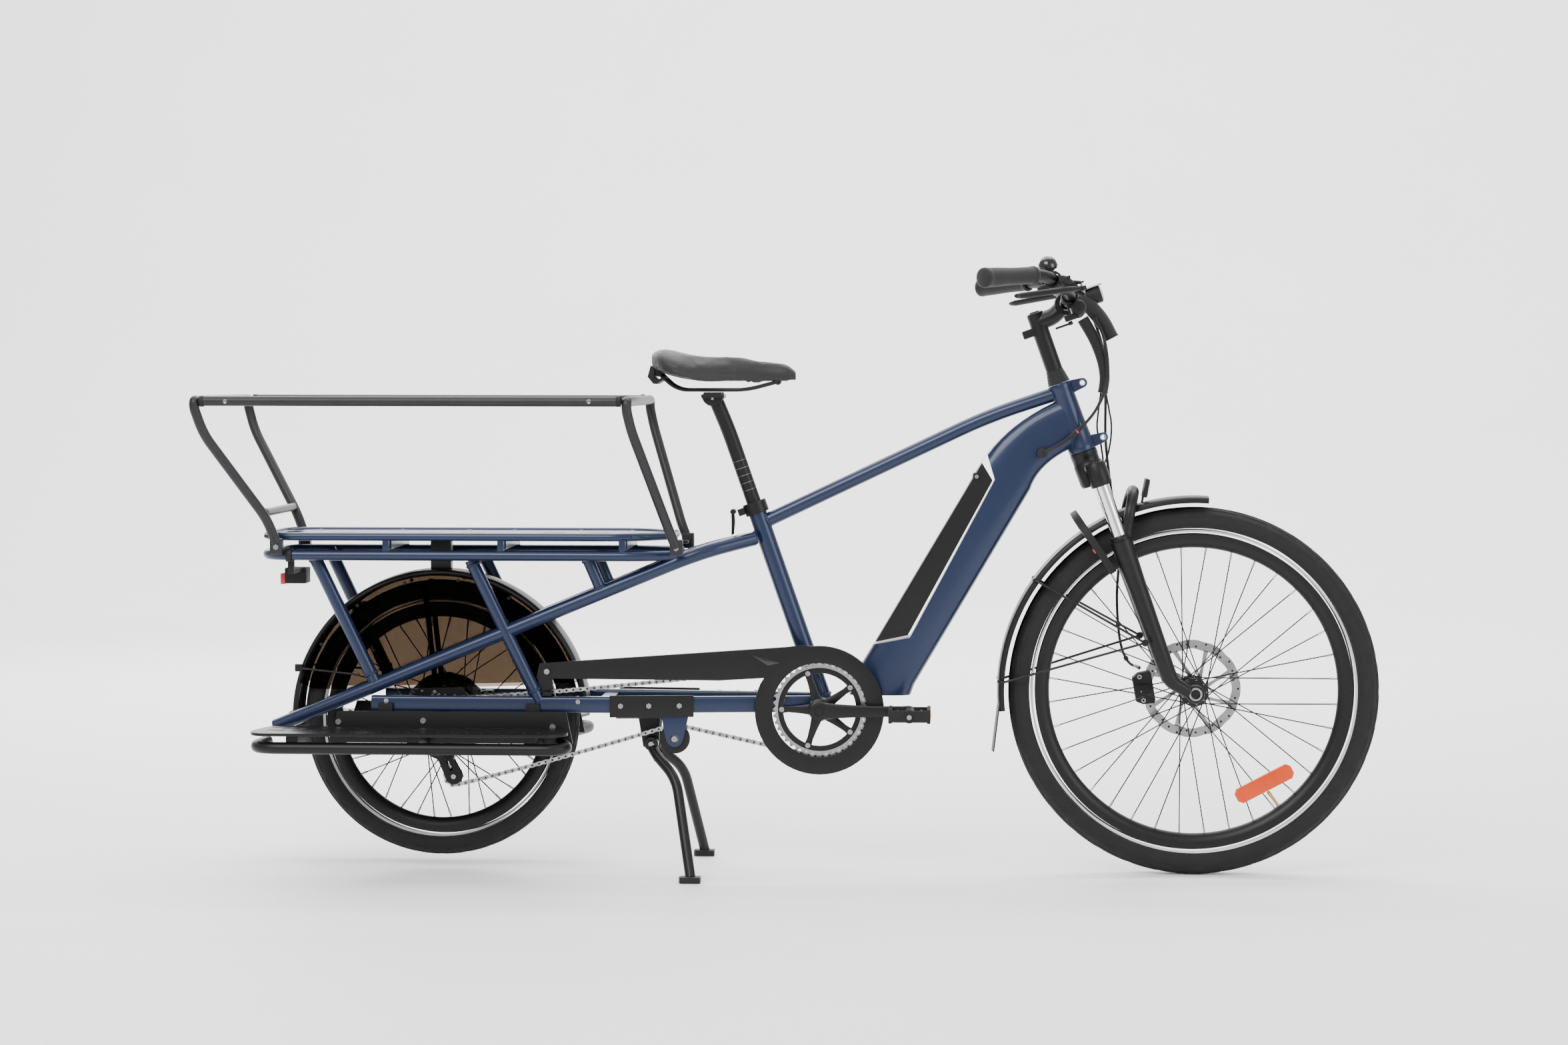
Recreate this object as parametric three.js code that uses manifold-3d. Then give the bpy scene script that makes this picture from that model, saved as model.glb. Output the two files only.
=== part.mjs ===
// A long-tail electric cargo bicycle standing on its two-leg kickstand, in millimetres, +Z up.
// X runs forward and Y to the bicycle's left; its right, chain side faces -Y.
// Places are first worked out from the rear axle; the last lines move the origin under the middle of the
// bicycle.
import * as THREE from "three";
import { mergeVertices } from "three/addons/utils/BufferGeometryUtils.js";
import Module from "manifold-3d";

const wasm = await Module();
wasm.setup();

// Driving dimensions: wheels and stance
const WHEELBASE = 1380;
const FRONT_TYRE_R = 336;
const FRONT_TYRE_W = 58;
const FRONT_RIM_R = 285;
const FRONT_RIM_INNER_R = 262;
const REAR_TYRE_R = 255;
const REAR_TYRE_W = 54;
const REAR_RIM_R = 210;
const REAR_RIM_INNER_R = 187;
const REAR_AXLE_Z = 279;

// Steering axis
const HEAD_LEAN_DEG = 19.5;
const HEAD_LEAN = THREE.MathUtils.degToRad(HEAD_LEAN_DEG);
const HEAD_BOTTOM_X = 1178;
const HEAD_BOTTOM_Z = 772.6;
const HEAD_LENGTH = 130;
const HEAD_LOW_R = 25;
const HEAD_TOP_R = 21;
const HEAD_BORE_R = 17;
const STANCHION_Y = 62;
const STANCHION_X = 10;

// Crank and drive
const BB_X = 701;
const BB_Z = 303;
const CRANK_LENGTH = 165;
// Pitch radii of the ring, the cog in use and the idler, in the chain's plane
const CHAIN_Y = -52;
const RING_R = 85;
const COG_R = 36.4;
const IDLER_R = 24.3;
const IDLER_X = 437;
const IDLER_Z = 249;

// Frame tubes and stays
const STAY_Y = 69;
const BEAM_Z = 311;
const RACK_HALF = 100;
const RACK_REAR_X = -312;
const LOWER_LOOP_Z = 584;
const UPPER_LOOP_Z = 618;
const RAIL_HALF = 205;
const RAIL_Z = 864;
const BOARD_Z = 268;

// Clear gap left between two pieces that touch
const GAP = 0.3;
// Facets thinner than this, left where shapes meet, are merged away
const SIMPLIFY_MM = 0.05;
// Share of the facets asked for that a round piece gets
const FACET_SHARE = 0.62;

// Colours and finishes
const finish = (color, roughness, metalness) => new THREE.MeshStandardMaterial({ color, roughness,
  metalness });
const FRAME_BLUE = finish(0x2c3f70, 0.42, 0.35);
const SATIN_BLACK = finish(0x17181a, 0.45, 0.4);
const RAIL_GREY = finish(0x3a3b3d, 0.45, 0.5);
const MATTE_BLACK = finish(0x1c1c1d, 0.7, 0.05);
const GLOSS_BLACK = finish(0x0e0e0f, 0.2, 0.1);
const RUBBER = finish(0x1b1b1c, 0.85, 0);
const STEEL = finish(0x9b9da0, 0.3, 0.95);
const VINYL = finish(0x313234, 0.6, 0);
const SMOKE = finish(0x2b2623, 0.2, 0);

const bike = new THREE.Group();
const vec = (x, y, z) => new THREE.Vector3(x, y, z);

// ---- solids: every shape is made closed, then joined or cut as a solid ----

function solid(geometry) {
  const g = geometry.index ? geometry.clone() : geometry;
  g.deleteAttribute("normal");
  g.deleteAttribute("uv");
  const merged = mergeVertices(g, 1e-3);
  const mesh = new wasm.Mesh({
    numProp: 3,
    vertProperties: new Float32Array(merged.attributes.position.array),
    triVerts: new Uint32Array(merged.index.array),
  });
  return new wasm.Manifold(mesh);
}

function join(...shapes) {
  return shapes.flat().reduce((a, b) => a.add(b));
}

function cut(shape, ...tools) {
  return tools.flat().reduce((a, b) => a.subtract(b), shape);
}

// The main piece of a shape, without the slivers that a cut leaves beside it.
function largest(shape) {
  return shape.decompose().sort((a, b) => b.volume() - a.volume())[0];
}

function moved(shape, x, y, z) {
  return shape.translate([x, y, z]);
}

function turned(shape, degX, degY, degZ) {
  return shape.rotate([degX, degY, degZ]);
}

// Mirror image of a shape on the other side of the bicycle's middle plane.
function mirrored(shape) {
  return shape.mirror([0, 1, 0]);
}

function add(parent, name, shape, material) {
  const m = shape.simplify(SIMPLIFY_MM).getMesh();
  const positions = new Float32Array(m.numVert * 3);
  for (let i = 0; i < m.numVert; i++) {
    positions.set(m.vertProperties.subarray(i * m.numProp, i * m.numProp + 3), i * 3);
  }
  const g = new THREE.BufferGeometry();
  g.setAttribute("position", new THREE.BufferAttribute(positions, 3));
  g.setIndex(new THREE.BufferAttribute(new Uint32Array(m.triVerts), 1));
  g.computeVertexNormals();
  const mesh = new THREE.Mesh(g, material);
  mesh.name = name;
  parent.add(mesh);
  return mesh;
}

function box(x0, x1, y0, y1, z0, z1) {
  const g = new THREE.BoxGeometry(x1 - x0, y1 - y0, z1 - z0);
  g.translate((x0 + x1) / 2, (y0 + y1) / 2, (z0 + z1) / 2);
  return solid(g);
}

// Straight round bar from a to b, with its own end radii.
function bar(a, b, r0, r1 = r0, sides = 12) {
  const span = b.clone().sub(a);
  const facets = Math.max(3, Math.round(sides * FACET_SHARE));
  const g = new THREE.CylinderGeometry(r1, r0, span.length(), facets);
  g.translate(0, span.length() / 2, 0);
  g.applyQuaternion(new THREE.Quaternion().setFromUnitVectors(vec(0, 1, 0), span.normalize()));
  g.translate(a.x, a.y, a.z);
  return solid(g);
}

// Round disc or pin along Y, between two side faces.
function disc(x, z, r, y0, y1, sides = 24) {
  return bar(vec(x, y0, z), vec(x, y1, z), r, r, sides);
}

// Section of an oval tube, as a closed shape.
function ovalShape(halfWide, halfDeep, sides) {
  const points = [];
  for (let i = 0; i < sides; i++) {
    const a = (i / sides) * Math.PI * 2;
    points.push(new THREE.Vector2(Math.cos(a) * halfWide, Math.sin(a) * halfDeep));
  }
  return new THREE.Shape(points);
}

// Tube along a curve.
function sweep(curve, r, steps, sides = 10) {
  const options = { steps, bevelEnabled: false, extrudePath: curve };
  return solid(new THREE.ExtrudeGeometry(ovalShape(r, r, sides), options));
}

// Curve through corner points, each corner rounded with its own radius.
function rounded(points, radius) {
  const path = new THREE.CurvePath();
  let start = points[0];
  for (let i = 1; i < points.length - 1; i++) {
    const corner = points[i];
    const back = points[i - 1].clone().sub(corner);
    const ahead = points[i + 1].clone().sub(corner);
    const room = Math.min(radius, back.length() * 0.48, ahead.length() * 0.48);
    const enter = corner.clone().add(back.setLength(room));
    const leave = corner.clone().add(ahead.setLength(room));
    path.add(new THREE.LineCurve3(start, enter));
    path.add(new THREE.QuadraticBezierCurve3(enter, corner, leave));
    start = leave;
  }
  path.add(new THREE.LineCurve3(start, points[points.length - 1]));
  return path;
}

// Bent round tube, with a section at each end of a straight run and a few along each bend.
function bentTube(points, r, radius, sides = 10, bendSteps = 4) {
  const path = rounded(points, radius);
  const stations = [];
  path.curves.forEach((c, i) => {
    const isLine = c.isLineCurve3;
    const n = isLine ? 1 : bendSteps;
    for (let k = i === 0 ? 0 : 1; k <= n; k++) {
      stations.push({ at: c.getPoint(k / n), along: c.getTangent(k / n) });
    }
  });
  return loft(stations, sides, () => r);
}

// Skin over round sections carried along stations without twist.
function loft(stations, sides, radiusAt, flat = 1) {
  const first = stations[0].along.clone().normalize();
  let side = Math.abs(first.y) > 0.9 ? vec(0, 0, 1) : vec(0, 1, 0);
  side.sub(first.clone().multiplyScalar(side.dot(first))).normalize();
  const positions = [];
  stations.forEach((s, i) => {
    const t = s.along.clone().normalize();
    side = side.clone().sub(t.clone().multiplyScalar(side.dot(t))).normalize();
    const up = t.clone().cross(side);
    const r = radiusAt(i, stations.length);
    for (let k = 0; k < sides; k++) {
      const a = (k / sides) * Math.PI * 2;
      const p = s.at.clone().addScaledVector(side, Math.cos(a) * r).addScaledVector(up,
        Math.sin(a) * r * flat);
      positions.push(p.x, p.y, p.z);
    }
  });
  const index = [];
  const rings = stations.length;
  for (let i = 0; i < rings - 1; i++) {
    for (let k = 0; k < sides; k++) {
      const a = i * sides + k;
      const b = i * sides + ((k + 1) % sides);
      index.push(a, b, b + sides, a, b + sides, a + sides);
    }
  }
  for (let k = 1; k < sides - 1; k++) {
    index.push(0, k + 1, k);
    const e = (rings - 1) * sides;
    index.push(e, e + k, e + k + 1);
  }
  const g = new THREE.BufferGeometry();
  g.setAttribute("position", new THREE.Float32BufferAttribute(positions, 3));
  g.setIndex(index);
  return solid(g);
}

// Flat plate: an outline in the X-Z plane given thickness between two Y faces.
function plate(outline, y0, y1, holes = []) {
  const shape = outline instanceof THREE.Shape ? outline : new THREE.Shape(outline);
  shape.holes.push(...holes);
  const g = new THREE.ExtrudeGeometry(shape, { depth: y1 - y0, bevelEnabled: false, curveSegments: 10 });
  g.rotateX(Math.PI / 2);
  g.translate(0, y1, 0);
  return solid(g);
}

// Turned ring about the Y axis: profile points are [radius, y].
function turnedRing(profile, segments) {
  const points = profile.map(([r, y]) => new THREE.Vector2(r, y));
  points.push(points[0].clone());
  return solid(new THREE.LatheGeometry(points, segments));
}

const p2 = (x, z) => new THREE.Vector2(x, z);

// ---- main frame ----

const headDir = vec(-Math.sin(HEAD_LEAN), 0, Math.cos(HEAD_LEAN));
const headPoint = (up) => vec(HEAD_BOTTOM_X, 0, HEAD_BOTTOM_Z).addScaledVector(headDir, up);
const SEAT_TOP = vec(583.6, 0, 661.7);
const SEAT_FOOT = vec(BB_X + 4, 0, BB_Z + 12);
const seatDir = SEAT_TOP.clone().sub(SEAT_FOOT).normalize();
const alongSeat = (from, up) => from.clone().addScaledVector(seatDir, up);
const SEAT_TUBE_R = 17;
const SEAT_BORE_R = 14.6;
const POST_R = 13.6;

const headBore = () => bar(headPoint(-1), headPoint(HEAD_LENGTH + 1), HEAD_BORE_R, HEAD_BORE_R, 28);

// Tapered head tube, with two lugs in front for a carrier's bolts.
function headTube() {
  const outer = bar(headPoint(0), headPoint(HEAD_LENGTH), HEAD_LOW_R, HEAD_TOP_R, 28);
  const lugs = [[12, 21], [118, 18]].map(([up, reach]) => {
    const at = headPoint(up);
    const lug = plate([p2(0, -9), p2(22 + reach, -7), p2(30 + reach, 0), p2(22 + reach, 7), p2(0, 9)], -5,
      5);
    const hole = disc(22 + reach, 0, 3, -8, 8, 12);
    return moved(turned(cut(lug, hole), 0, -HEAD_LEAN_DEG, 0), at.x, 0, at.z);
  });
  return cut(join(outer, lugs), headBore());
}

// Deep down tube from the head tube to the crank, and the recess for the battery in its upper side.
const DOWN_HALF = 33;
function downTube() {
  const outline = new THREE.Shape();
  outline.moveTo(1122, 866);
  outline.quadraticCurveTo(1062, 838, 1024, 790);
  outline.lineTo(994.7, 754.7);
  outline.lineTo(781, 392);
  outline.lineTo(756, 346);
  outline.lineTo(752, 326);
  outline.lineTo(866, 326);
  outline.lineTo(871, 342);
  outline.lineTo(1083, 703);
  outline.quadraticCurveTo(1098, 752, 1146, 786);
  const body = plate(outline, -DOWN_HALF, DOWN_HALF);
  const pocket = plate([p2(1002, 766), p2(1017.8, 720.8), p2(864.6, 433), p2(792, 419.5)], -40, 40);
  return { body, pocket };
}

// The part of a body inside a prism along a tube, whose section is half wide and deep with rounded corners.
function softened(body, from, to, half, deep) {
  const overrun = 200;
  const r = 22;
  const along = to.clone().sub(from);
  const options = { steps: 1, depth: along.length() + 2 * overrun, bevelEnabled: false, curveSegments: 5 };
  const s = new THREE.Shape();
  s.moveTo(-half + r, -deep);
  s.lineTo(half - r, -deep);
  s.quadraticCurveTo(half, -deep, half, -deep + r);
  s.lineTo(half, deep - r);
  s.quadraticCurveTo(half, deep, half - r, deep);
  s.lineTo(-half + r, deep);
  s.quadraticCurveTo(-half, deep, -half, deep - r);
  s.lineTo(-half, -deep + r);
  s.quadraticCurveTo(-half, -deep, -half + r, -deep);
  const g = new THREE.ExtrudeGeometry(s, options);
  g.translate(0, 0, -overrun);
  g.rotateZ(Math.PI / 2);
  g.applyQuaternion(new THREE.Quaternion().setFromUnitVectors(vec(0, 0, 1), along.normalize()));
  g.translate(from.x, from.y, from.z);
  return body.intersect(solid(g));
}

const FRAME_BODY = new THREE.Group();
bike.add(FRAME_BODY);

const headSpace = bar(headPoint(-3), headPoint(HEAD_LENGTH + 3), HEAD_LOW_R + GAP, HEAD_TOP_R + GAP, 28);

const BB_R = 21;
const BB_HALF = 34;
const bbBarrel = disc(BB_X, BB_Z, BB_R, -BB_HALF, BB_HALF, 24);
const seatBore = bar(alongSeat(SEAT_FOOT, 60), alongSeat(SEAT_TOP, 5), SEAT_BORE_R, SEAT_BORE_R, 20);
const seatTubeShape = cut(
  join(bar(SEAT_FOOT, SEAT_TOP, SEAT_TUBE_R, SEAT_TUBE_R, 20), bbBarrel),
  seatBore,
  disc(BB_X, BB_Z, 12, -40, 40, 16),
);
add(FRAME_BODY, "seat_tube", seatTubeShape, FRAME_BLUE);
const seatSpace = join(
  bar(SEAT_FOOT, alongSeat(SEAT_TOP, 3), SEAT_TUBE_R + GAP, SEAT_TUBE_R + GAP, 20),
  disc(BB_X, BB_Z, BB_R + GAP, -BB_HALF - GAP, BB_HALF + GAP, 24),
);

const down = downTube();
const downFoot = cut(down.body, down.pocket, headSpace, seatSpace);
const downAxisFrom = vec(812, 0, 335);
const downAxisTo = vec(1041, 0, 735);
const straightZone = softened(downFoot, downAxisFrom, downAxisTo, DOWN_HALF, 56);
const bendZone = plate([p2(960, 715), p2(1110, 660), p2(1250, 760), p2(1120, 900), p2(1010, 860)], -24, 24);
add(FRAME_BODY, "down_tube", largest(join(straightZone, downFoot.intersect(bendZone))), FRAME_BLUE);

const TOP_TUBE = [vec(560, 0, 625), vec(1005, 0, 836), vec(1130, 0, 878)];
const downSpace = plate([p2(1140, 875), p2(1062, 838.6), p2(1024, 790.6), p2(1080, 700), p2(1150, 780)],
  -DOWN_HALF - 1, DOWN_HALF + 1);
const topTube = largest(cut(bentTube(TOP_TUBE, 13, 160, 10, 5), headBore(), seatSpace, downSpace));
add(FRAME_BODY, "head_and_top_tube", largest(join(headTube(), topTube)), FRAME_BLUE);

// Battery block seated in the down tube's upper side.
const batterySpace = cut(down.pocket, headSpace);
const BATTERY_INSET = 2.6;
const BATTERY_HALF = 29;
function batteryShape() {
  const rim = BATTERY_INSET;
  const outline = [p2(994.7, 754.7 - rim), p2(1016.6 - rim, 719.5), p2(863.4 - rim, 434.3 + rim), p2(801,
    424.5)];
  return plate(outline, -BATTERY_HALF, BATTERY_HALF);
}
const battery = new THREE.Group();
bike.add(battery);
add(battery, "battery", batteryShape().intersect(batterySpace), MATTE_BLACK);

// Chainstay beams from the crank barrel to the dropouts, joined by a bridge ahead of the wheel.
function chainstays() {
  const halfTall = 15;
  const low = BEAM_Z - halfTall;
  const high = BEAM_Z + halfTall;
  const taper = [p2(320, -STAY_Y - 10), p2(BB_X - 60, -45), p2(BB_X + 4, -34), p2(BB_X + 4, -16),
    p2(BB_X - 70, -24),
    p2(320, -STAY_Y + 9)];
  const beam = join(box(-118, 320.5, -STAY_Y - 10, -STAY_Y + 9, low, high), plateXY(taper, low, high));
  const bridge = box(296, 322, -STAY_Y, STAY_Y, BEAM_Z - 10, BEAM_Z + 10);
  const dropoutOutline = [p2(-34, BEAM_Z - 10), p2(-24, REAR_AXLE_Z - 18), p2(0, REAR_AXLE_Z - 24),
    p2(24, REAR_AXLE_Z - 18), p2(40, BEAM_Z - 10)];
  const dropout = plate(dropoutOutline, -STAY_Y - 6, -STAY_Y);
  const slot = join(disc(0, REAR_AXLE_Z, 6.2, -STAY_Y - 12, -STAY_Y + 8, 16),
    box(-6.2, 6.2, -STAY_Y - 12, -STAY_Y + 8, REAR_AXLE_Z - 30, REAR_AXLE_Z));
  const side = cut(join(beam, dropout), slot);
  const pair = join(side, mirrored(side), bridge);
  return cut(pair, seatSpace, downSpaceLow, disc(BB_X, BB_Z, 24, -60, 60, 24));
}

function plateXY(outline, z0, z1) {
  const g = new THREE.ExtrudeGeometry(new THREE.Shape(outline), { depth: z1 - z0, bevelEnabled: false });
  g.translate(0, 0, z0);
  return solid(g);
}

const downSpaceLow = plate([p2(780.7, 396), p2(751, 346), p2(750, 324), p2(872, 324), p2(880, 345),
  p2(860, 420)],
  -DOWN_HALF - 1, DOWN_HALF + 1);
add(FRAME_BODY, "chainstays", chainstays(), FRAME_BLUE);
const beamSpace = join(
  box(-120, 330, -STAY_Y - 10 - GAP, -STAY_Y + 9 + GAP, BEAM_Z - 15 - GAP, BEAM_Z + 15 + GAP),
  box(-120, 330, STAY_Y - 9 - GAP, STAY_Y + 10 + GAP, BEAM_Z - 15 - GAP, BEAM_Z + 15 + GAP),
);

// Diagonal stays from the seat tube to the tail, with the uprights that carry the rack.
const STAY_TAIL = vec(-296, -STAY_Y, 268);
function diagonalStays() {
  const path = [vec(572, -20, 611), vec(480, -STAY_Y, 588), STAY_TAIL];
  const stay = bentTube(path, 13, 90, 8, 2);
  const upright = (top, foot, half) => {
    const a = vec(top[0], -STAY_Y - 4, top[1]);
    const b = vec(foot[0], -STAY_Y, foot[1]);
    return bar(a, b, half, half, 8);
  };
  const posts = [
    upright([-224, LOWER_LOOP_Z + 2], [-108, 340], 12),
    upright([66, LOWER_LOOP_Z - 8], [190, 316], 12),
    upright([280, LOWER_LOOP_Z - 6], [304, 520], 11),
  ];
  const side = join(stay, posts);
  const bridge = bar(vec(470, -STAY_Y, 584), vec(470, STAY_Y, 584), 9, 9, 10);
  return join(side, mirrored(side), bridge);
}
const loopTube = (halfWide, rearX, frontX, z, r, frontHalf) => {
  const points = [
    vec(frontX, -frontHalf, z), vec(frontX - 70, -halfWide, z), vec(rearX, -halfWide, z),
    vec(rearX, halfWide, z), vec(frontX - 70, halfWide, z), vec(frontX, frontHalf, z),
  ];
  return bentTube(points, r, 60, 8, 2);
};
const lowerLoop = loopTube(RACK_HALF, RACK_REAR_X, 440, LOWER_LOOP_Z, 9.5, STAY_Y + 2);
const lowerLoopSpace = loopTube(RACK_HALF, RACK_REAR_X, 440, LOWER_LOOP_Z, 9.5 + GAP, STAY_Y + 2);
add(FRAME_BODY, "diagonal_stays", largest(cut(diagonalStays(), seatSpace, beamSpace, lowerLoopSpace)),
  FRAME_BLUE);

// Rack: a lower loop, and an upper loop that carries the deck plate.
add(FRAME_BODY, "rack_lower_loop", lowerLoop, FRAME_BLUE);

const DECK_FRONT_X = 432;
const DECK_UNDER_Z = UPPER_LOOP_Z - 3;
const DECK_POSTS_X = [-85, 125, 346];
function rackDeck() {
  const loop = loopTube(RACK_HALF, RACK_REAR_X, DECK_FRONT_X, UPPER_LOOP_Z, 7.5, 34);
  const half = RACK_HALF - 1;
  const front = DECK_FRONT_X - 4;
  const outline = [p2(RACK_REAR_X, -half), p2(362, -half), p2(front, -36), p2(front, 36), p2(362, half),
    p2(RACK_REAR_X, half)];
  const handSlot = box(-292, -262, -28, 28, UPPER_LOOP_Z - 6, UPPER_LOOP_Z + 6);
  const deck = cut(plateXY(outline, DECK_UNDER_Z, UPPER_LOOP_Z + 3), handSlot);
  const nose = bar(vec(front + 3, -36, UPPER_LOOP_Z), vec(front + 3, 36, UPPER_LOOP_Z), 7, 7, 10);
  const posts = DECK_POSTS_X.flatMap((x) => [-1, 1].map((side) =>
    box(x - 6, x + 6, side * RACK_HALF - 4, side * RACK_HALF + 4, LOWER_LOOP_Z + 4, UPPER_LOOP_Z)));
  const tieHalf = RACK_HALF - 12;
  const ties = DECK_POSTS_X.map((x) => box(x - 8, x + 8, -tieHalf, tieHalf, LOWER_LOOP_Z + 10,
    UPPER_LOOP_Z));
  return cut(join(loop, deck, nose, posts, ties), lowerLoopSpace, staysSpace);
}
const staysSpace = join(
  bar(vec(300, -STAY_Y, 513.8), vec(488, -STAY_Y, 591.3), 13.6, 13.6, 12),
  bar(vec(300, STAY_Y, 513.8), vec(488, STAY_Y, 591.3), 13.6, 13.6, 12),
);
add(FRAME_BODY, "rack_deck", largest(rackDeck()), FRAME_BLUE);

// Passenger rail: two bolted hoops and two long bars.
const RAIL_R = 9;
const FOOT_Y = 121;
function hoop(points, footX, footZ) {
  const left = points.map((p) => vec(p.x, -p.y, p.z)).reverse();
  const tube = bentTube([...points, ...left], RAIL_R, 26, 8, 2);
  const foot = box(footX - 12, footX + 12, -128, -110.5, footZ - 14, footZ + 16);
  return join(tube, foot, mirrored(foot));
}
const rearHoopPoints = [vec(-281, -FOOT_Y, 604), vec(-297, -FOOT_Y - 3, 650), vec(-394, -196, 806),
  vec(-408, -RAIL_HALF, 852),
  vec(-408, -RAIL_HALF, RAIL_Z + 2)];
const frontHoopPoints = [vec(446, -FOOT_Y, 596), vec(434, -FOOT_Y - 2, 630), vec(374, -200, 812), vec(366,
  -RAIL_HALF, 848),
  vec(366, -RAIL_HALF, RAIL_Z)];
const rearHoop = join(
  hoop(rearHoopPoints, -281, 600),
  bar(vec(-303, -125, 662), vec(-303, 125, 662), 7.5, 7.5, 10),
);
const frontFoot = box(425, 450, -124, -82, 597, 603);
const frontHoopWhole = join(hoop(frontHoopPoints, 446, 600), frontFoot, mirrored(frontFoot));
const upperLoopSpace = loopTube(RACK_HALF, RACK_REAR_X, DECK_FRONT_X, UPPER_LOOP_Z, 7.5 + GAP, 34);
const deckNoseSpace = box(300, 434, -106, 106, 590, 630);
const frontHoop = largest(cut(frontHoopWhole, upperLoopSpace, lowerLoopSpace, deckNoseSpace));
add(FRAME_BODY, "rail_rear_hoop", rearHoop, RAIL_GREY);
add(FRAME_BODY, "rail_front_hoop", frontHoop, RAIL_GREY);
const hoopSpace = (x, z) => join(
  bar(vec(x, -RAIL_HALF - 12, z), vec(x, RAIL_HALF + 12, z), RAIL_R + 1.2, RAIL_R + 1.2, 16),
  box(x - RAIL_R - 1, x + RAIL_R + 1, -RAIL_HALF - 12, RAIL_HALF + 12, z - 60, z),
);
function longBar(side) {
  const y = side * RAIL_HALF;
  const rod = bar(vec(-408, y, RAIL_Z + 1), vec(366, y, RAIL_Z), RAIL_R, RAIL_R, 12);
  return largest(cut(rod, hoopSpace(-408, RAIL_Z + 2), hoopSpace(366, RAIL_Z)));
}
add(FRAME_BODY, "rail_bar_right", longBar(-1), RAIL_GREY);
add(FRAME_BODY, "rail_bar_left", longBar(1), RAIL_GREY);

// Points of an arc in the X-Z plane about a centre, in degrees from +X towards +Z.
function arcPoints(cx, cz, r, from, to, n) {
  return Array.from({ length: n + 1 }, (_, i) => {
    const a = THREE.MathUtils.degToRad(from + ((to - from) * i) / n);
    return p2(cx + r * Math.cos(a), cz + r * Math.sin(a));
  });
}

// Arched shell round a wheel with turned-down edges.
function fenderShell(cx, cz, r, half, lip, from, to, n) {
  const band = (inner, outer) => [...arcPoints(cx, cz, outer, from, to, n), ...arcPoints(cx, cz, inner,
    to, from, n)];
  const lipThick = 2.5;
  const top = plate(band(r - 3, r), -half, half);
  const sides = [-1, 1].map((s) => {
    const y0 = s > 0 ? half - lipThick : -half;
    return plate(band(r - lip, r - 1), y0, y0 + lipThick);
  });
  return join(top, sides);
}

const REAR_FENDER_R = 277;
function rearFender() {
  const shell = fenderShell(0, REAR_AXLE_Z, REAR_FENDER_R, 34, 14, 8, 184, 20);
  const skirtOutline = [...arcPoints(0, REAR_AXLE_Z, REAR_FENDER_R - 5, 163, 40, 14), p2(70, 345),
    p2(-235, 330)];
  const skirts = [-1, 1].map((s) => plate(skirtOutline, s > 0 ? 32 : -34.5, s > 0 ? 34.5 : -32));
  const hanger = box(-20, 20, -12, 12, REAR_AXLE_Z + REAR_FENDER_R - 2, DECK_UNDER_Z - GAP);
  return join(shell, skirts, hanger);
}
add(FRAME_BODY, "rear_fender", rearFender(), SMOKE);

// Footboards: a bent tube under a thin plate, hung from the beam by a side panel.
const BOARD_OUT = 205;
const BOARD_REAR_X = -314;
const BOARD_FRONT_X = 262;
function footboard(side) {
  const tubeR = 11;
  const z = BOARD_Z - 25;
  const y = -BOARD_OUT + tubeR;
  const tube = bentTube([vec(BOARD_FRONT_X - 30, -92, z), vec(BOARD_FRONT_X, y, z), vec(BOARD_REAR_X, y, z),
    vec(BOARD_REAR_X + 6, -92, z)], tubeR, 55, 6, 2);
  const outline = new THREE.Shape();
  outline.moveTo(BOARD_REAR_X + 14, -88);
  outline.lineTo(BOARD_REAR_X - 4, -180);
  outline.quadraticCurveTo(BOARD_REAR_X - 4, -BOARD_OUT, BOARD_REAR_X + 30, -BOARD_OUT);
  outline.lineTo(BOARD_FRONT_X - 52, -BOARD_OUT);
  outline.quadraticCurveTo(BOARD_FRONT_X - 2, -BOARD_OUT, BOARD_FRONT_X - 8, -150);
  outline.lineTo(BOARD_FRONT_X - 30, -88);
  const top = plateXYShape(outline, BOARD_Z - 3, BOARD_Z + 3);
  const panelOutline = [p2(-178, BEAM_Z - 12), p2(BOARD_FRONT_X - 20, BEAM_Z - 12), p2(BOARD_FRONT_X - 8,
    z - 2),
    p2(-196, z - 2)];
  const panel = plate(panelOutline, -91, -87);
  const posts = [-240, -20, 190].map((x) => box(x - 12, x + 12, -BOARD_OUT + 8, -88, z - 4, BOARD_Z - 2));
  const hangers = [-90, 180].map((x) => box(x - 14, x + 14, -90, -79.4, BEAM_Z - 14, BEAM_Z + 2));
  const whole = join(tube, top, panel, posts, hangers);
  return side < 0 ? whole : mirrored(whole);
}

function plateXYShape(shape, z0, z1) {
  const g = new THREE.ExtrudeGeometry(shape, { depth: z1 - z0, bevelEnabled: false, curveSegments: 6 });
  g.translate(0, 0, z0);
  return solid(g);
}
add(FRAME_BODY, "footboard_right", footboard(-1), SATIN_BLACK);
add(FRAME_BODY, "footboard_left", footboard(1), SATIN_BLACK);

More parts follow.
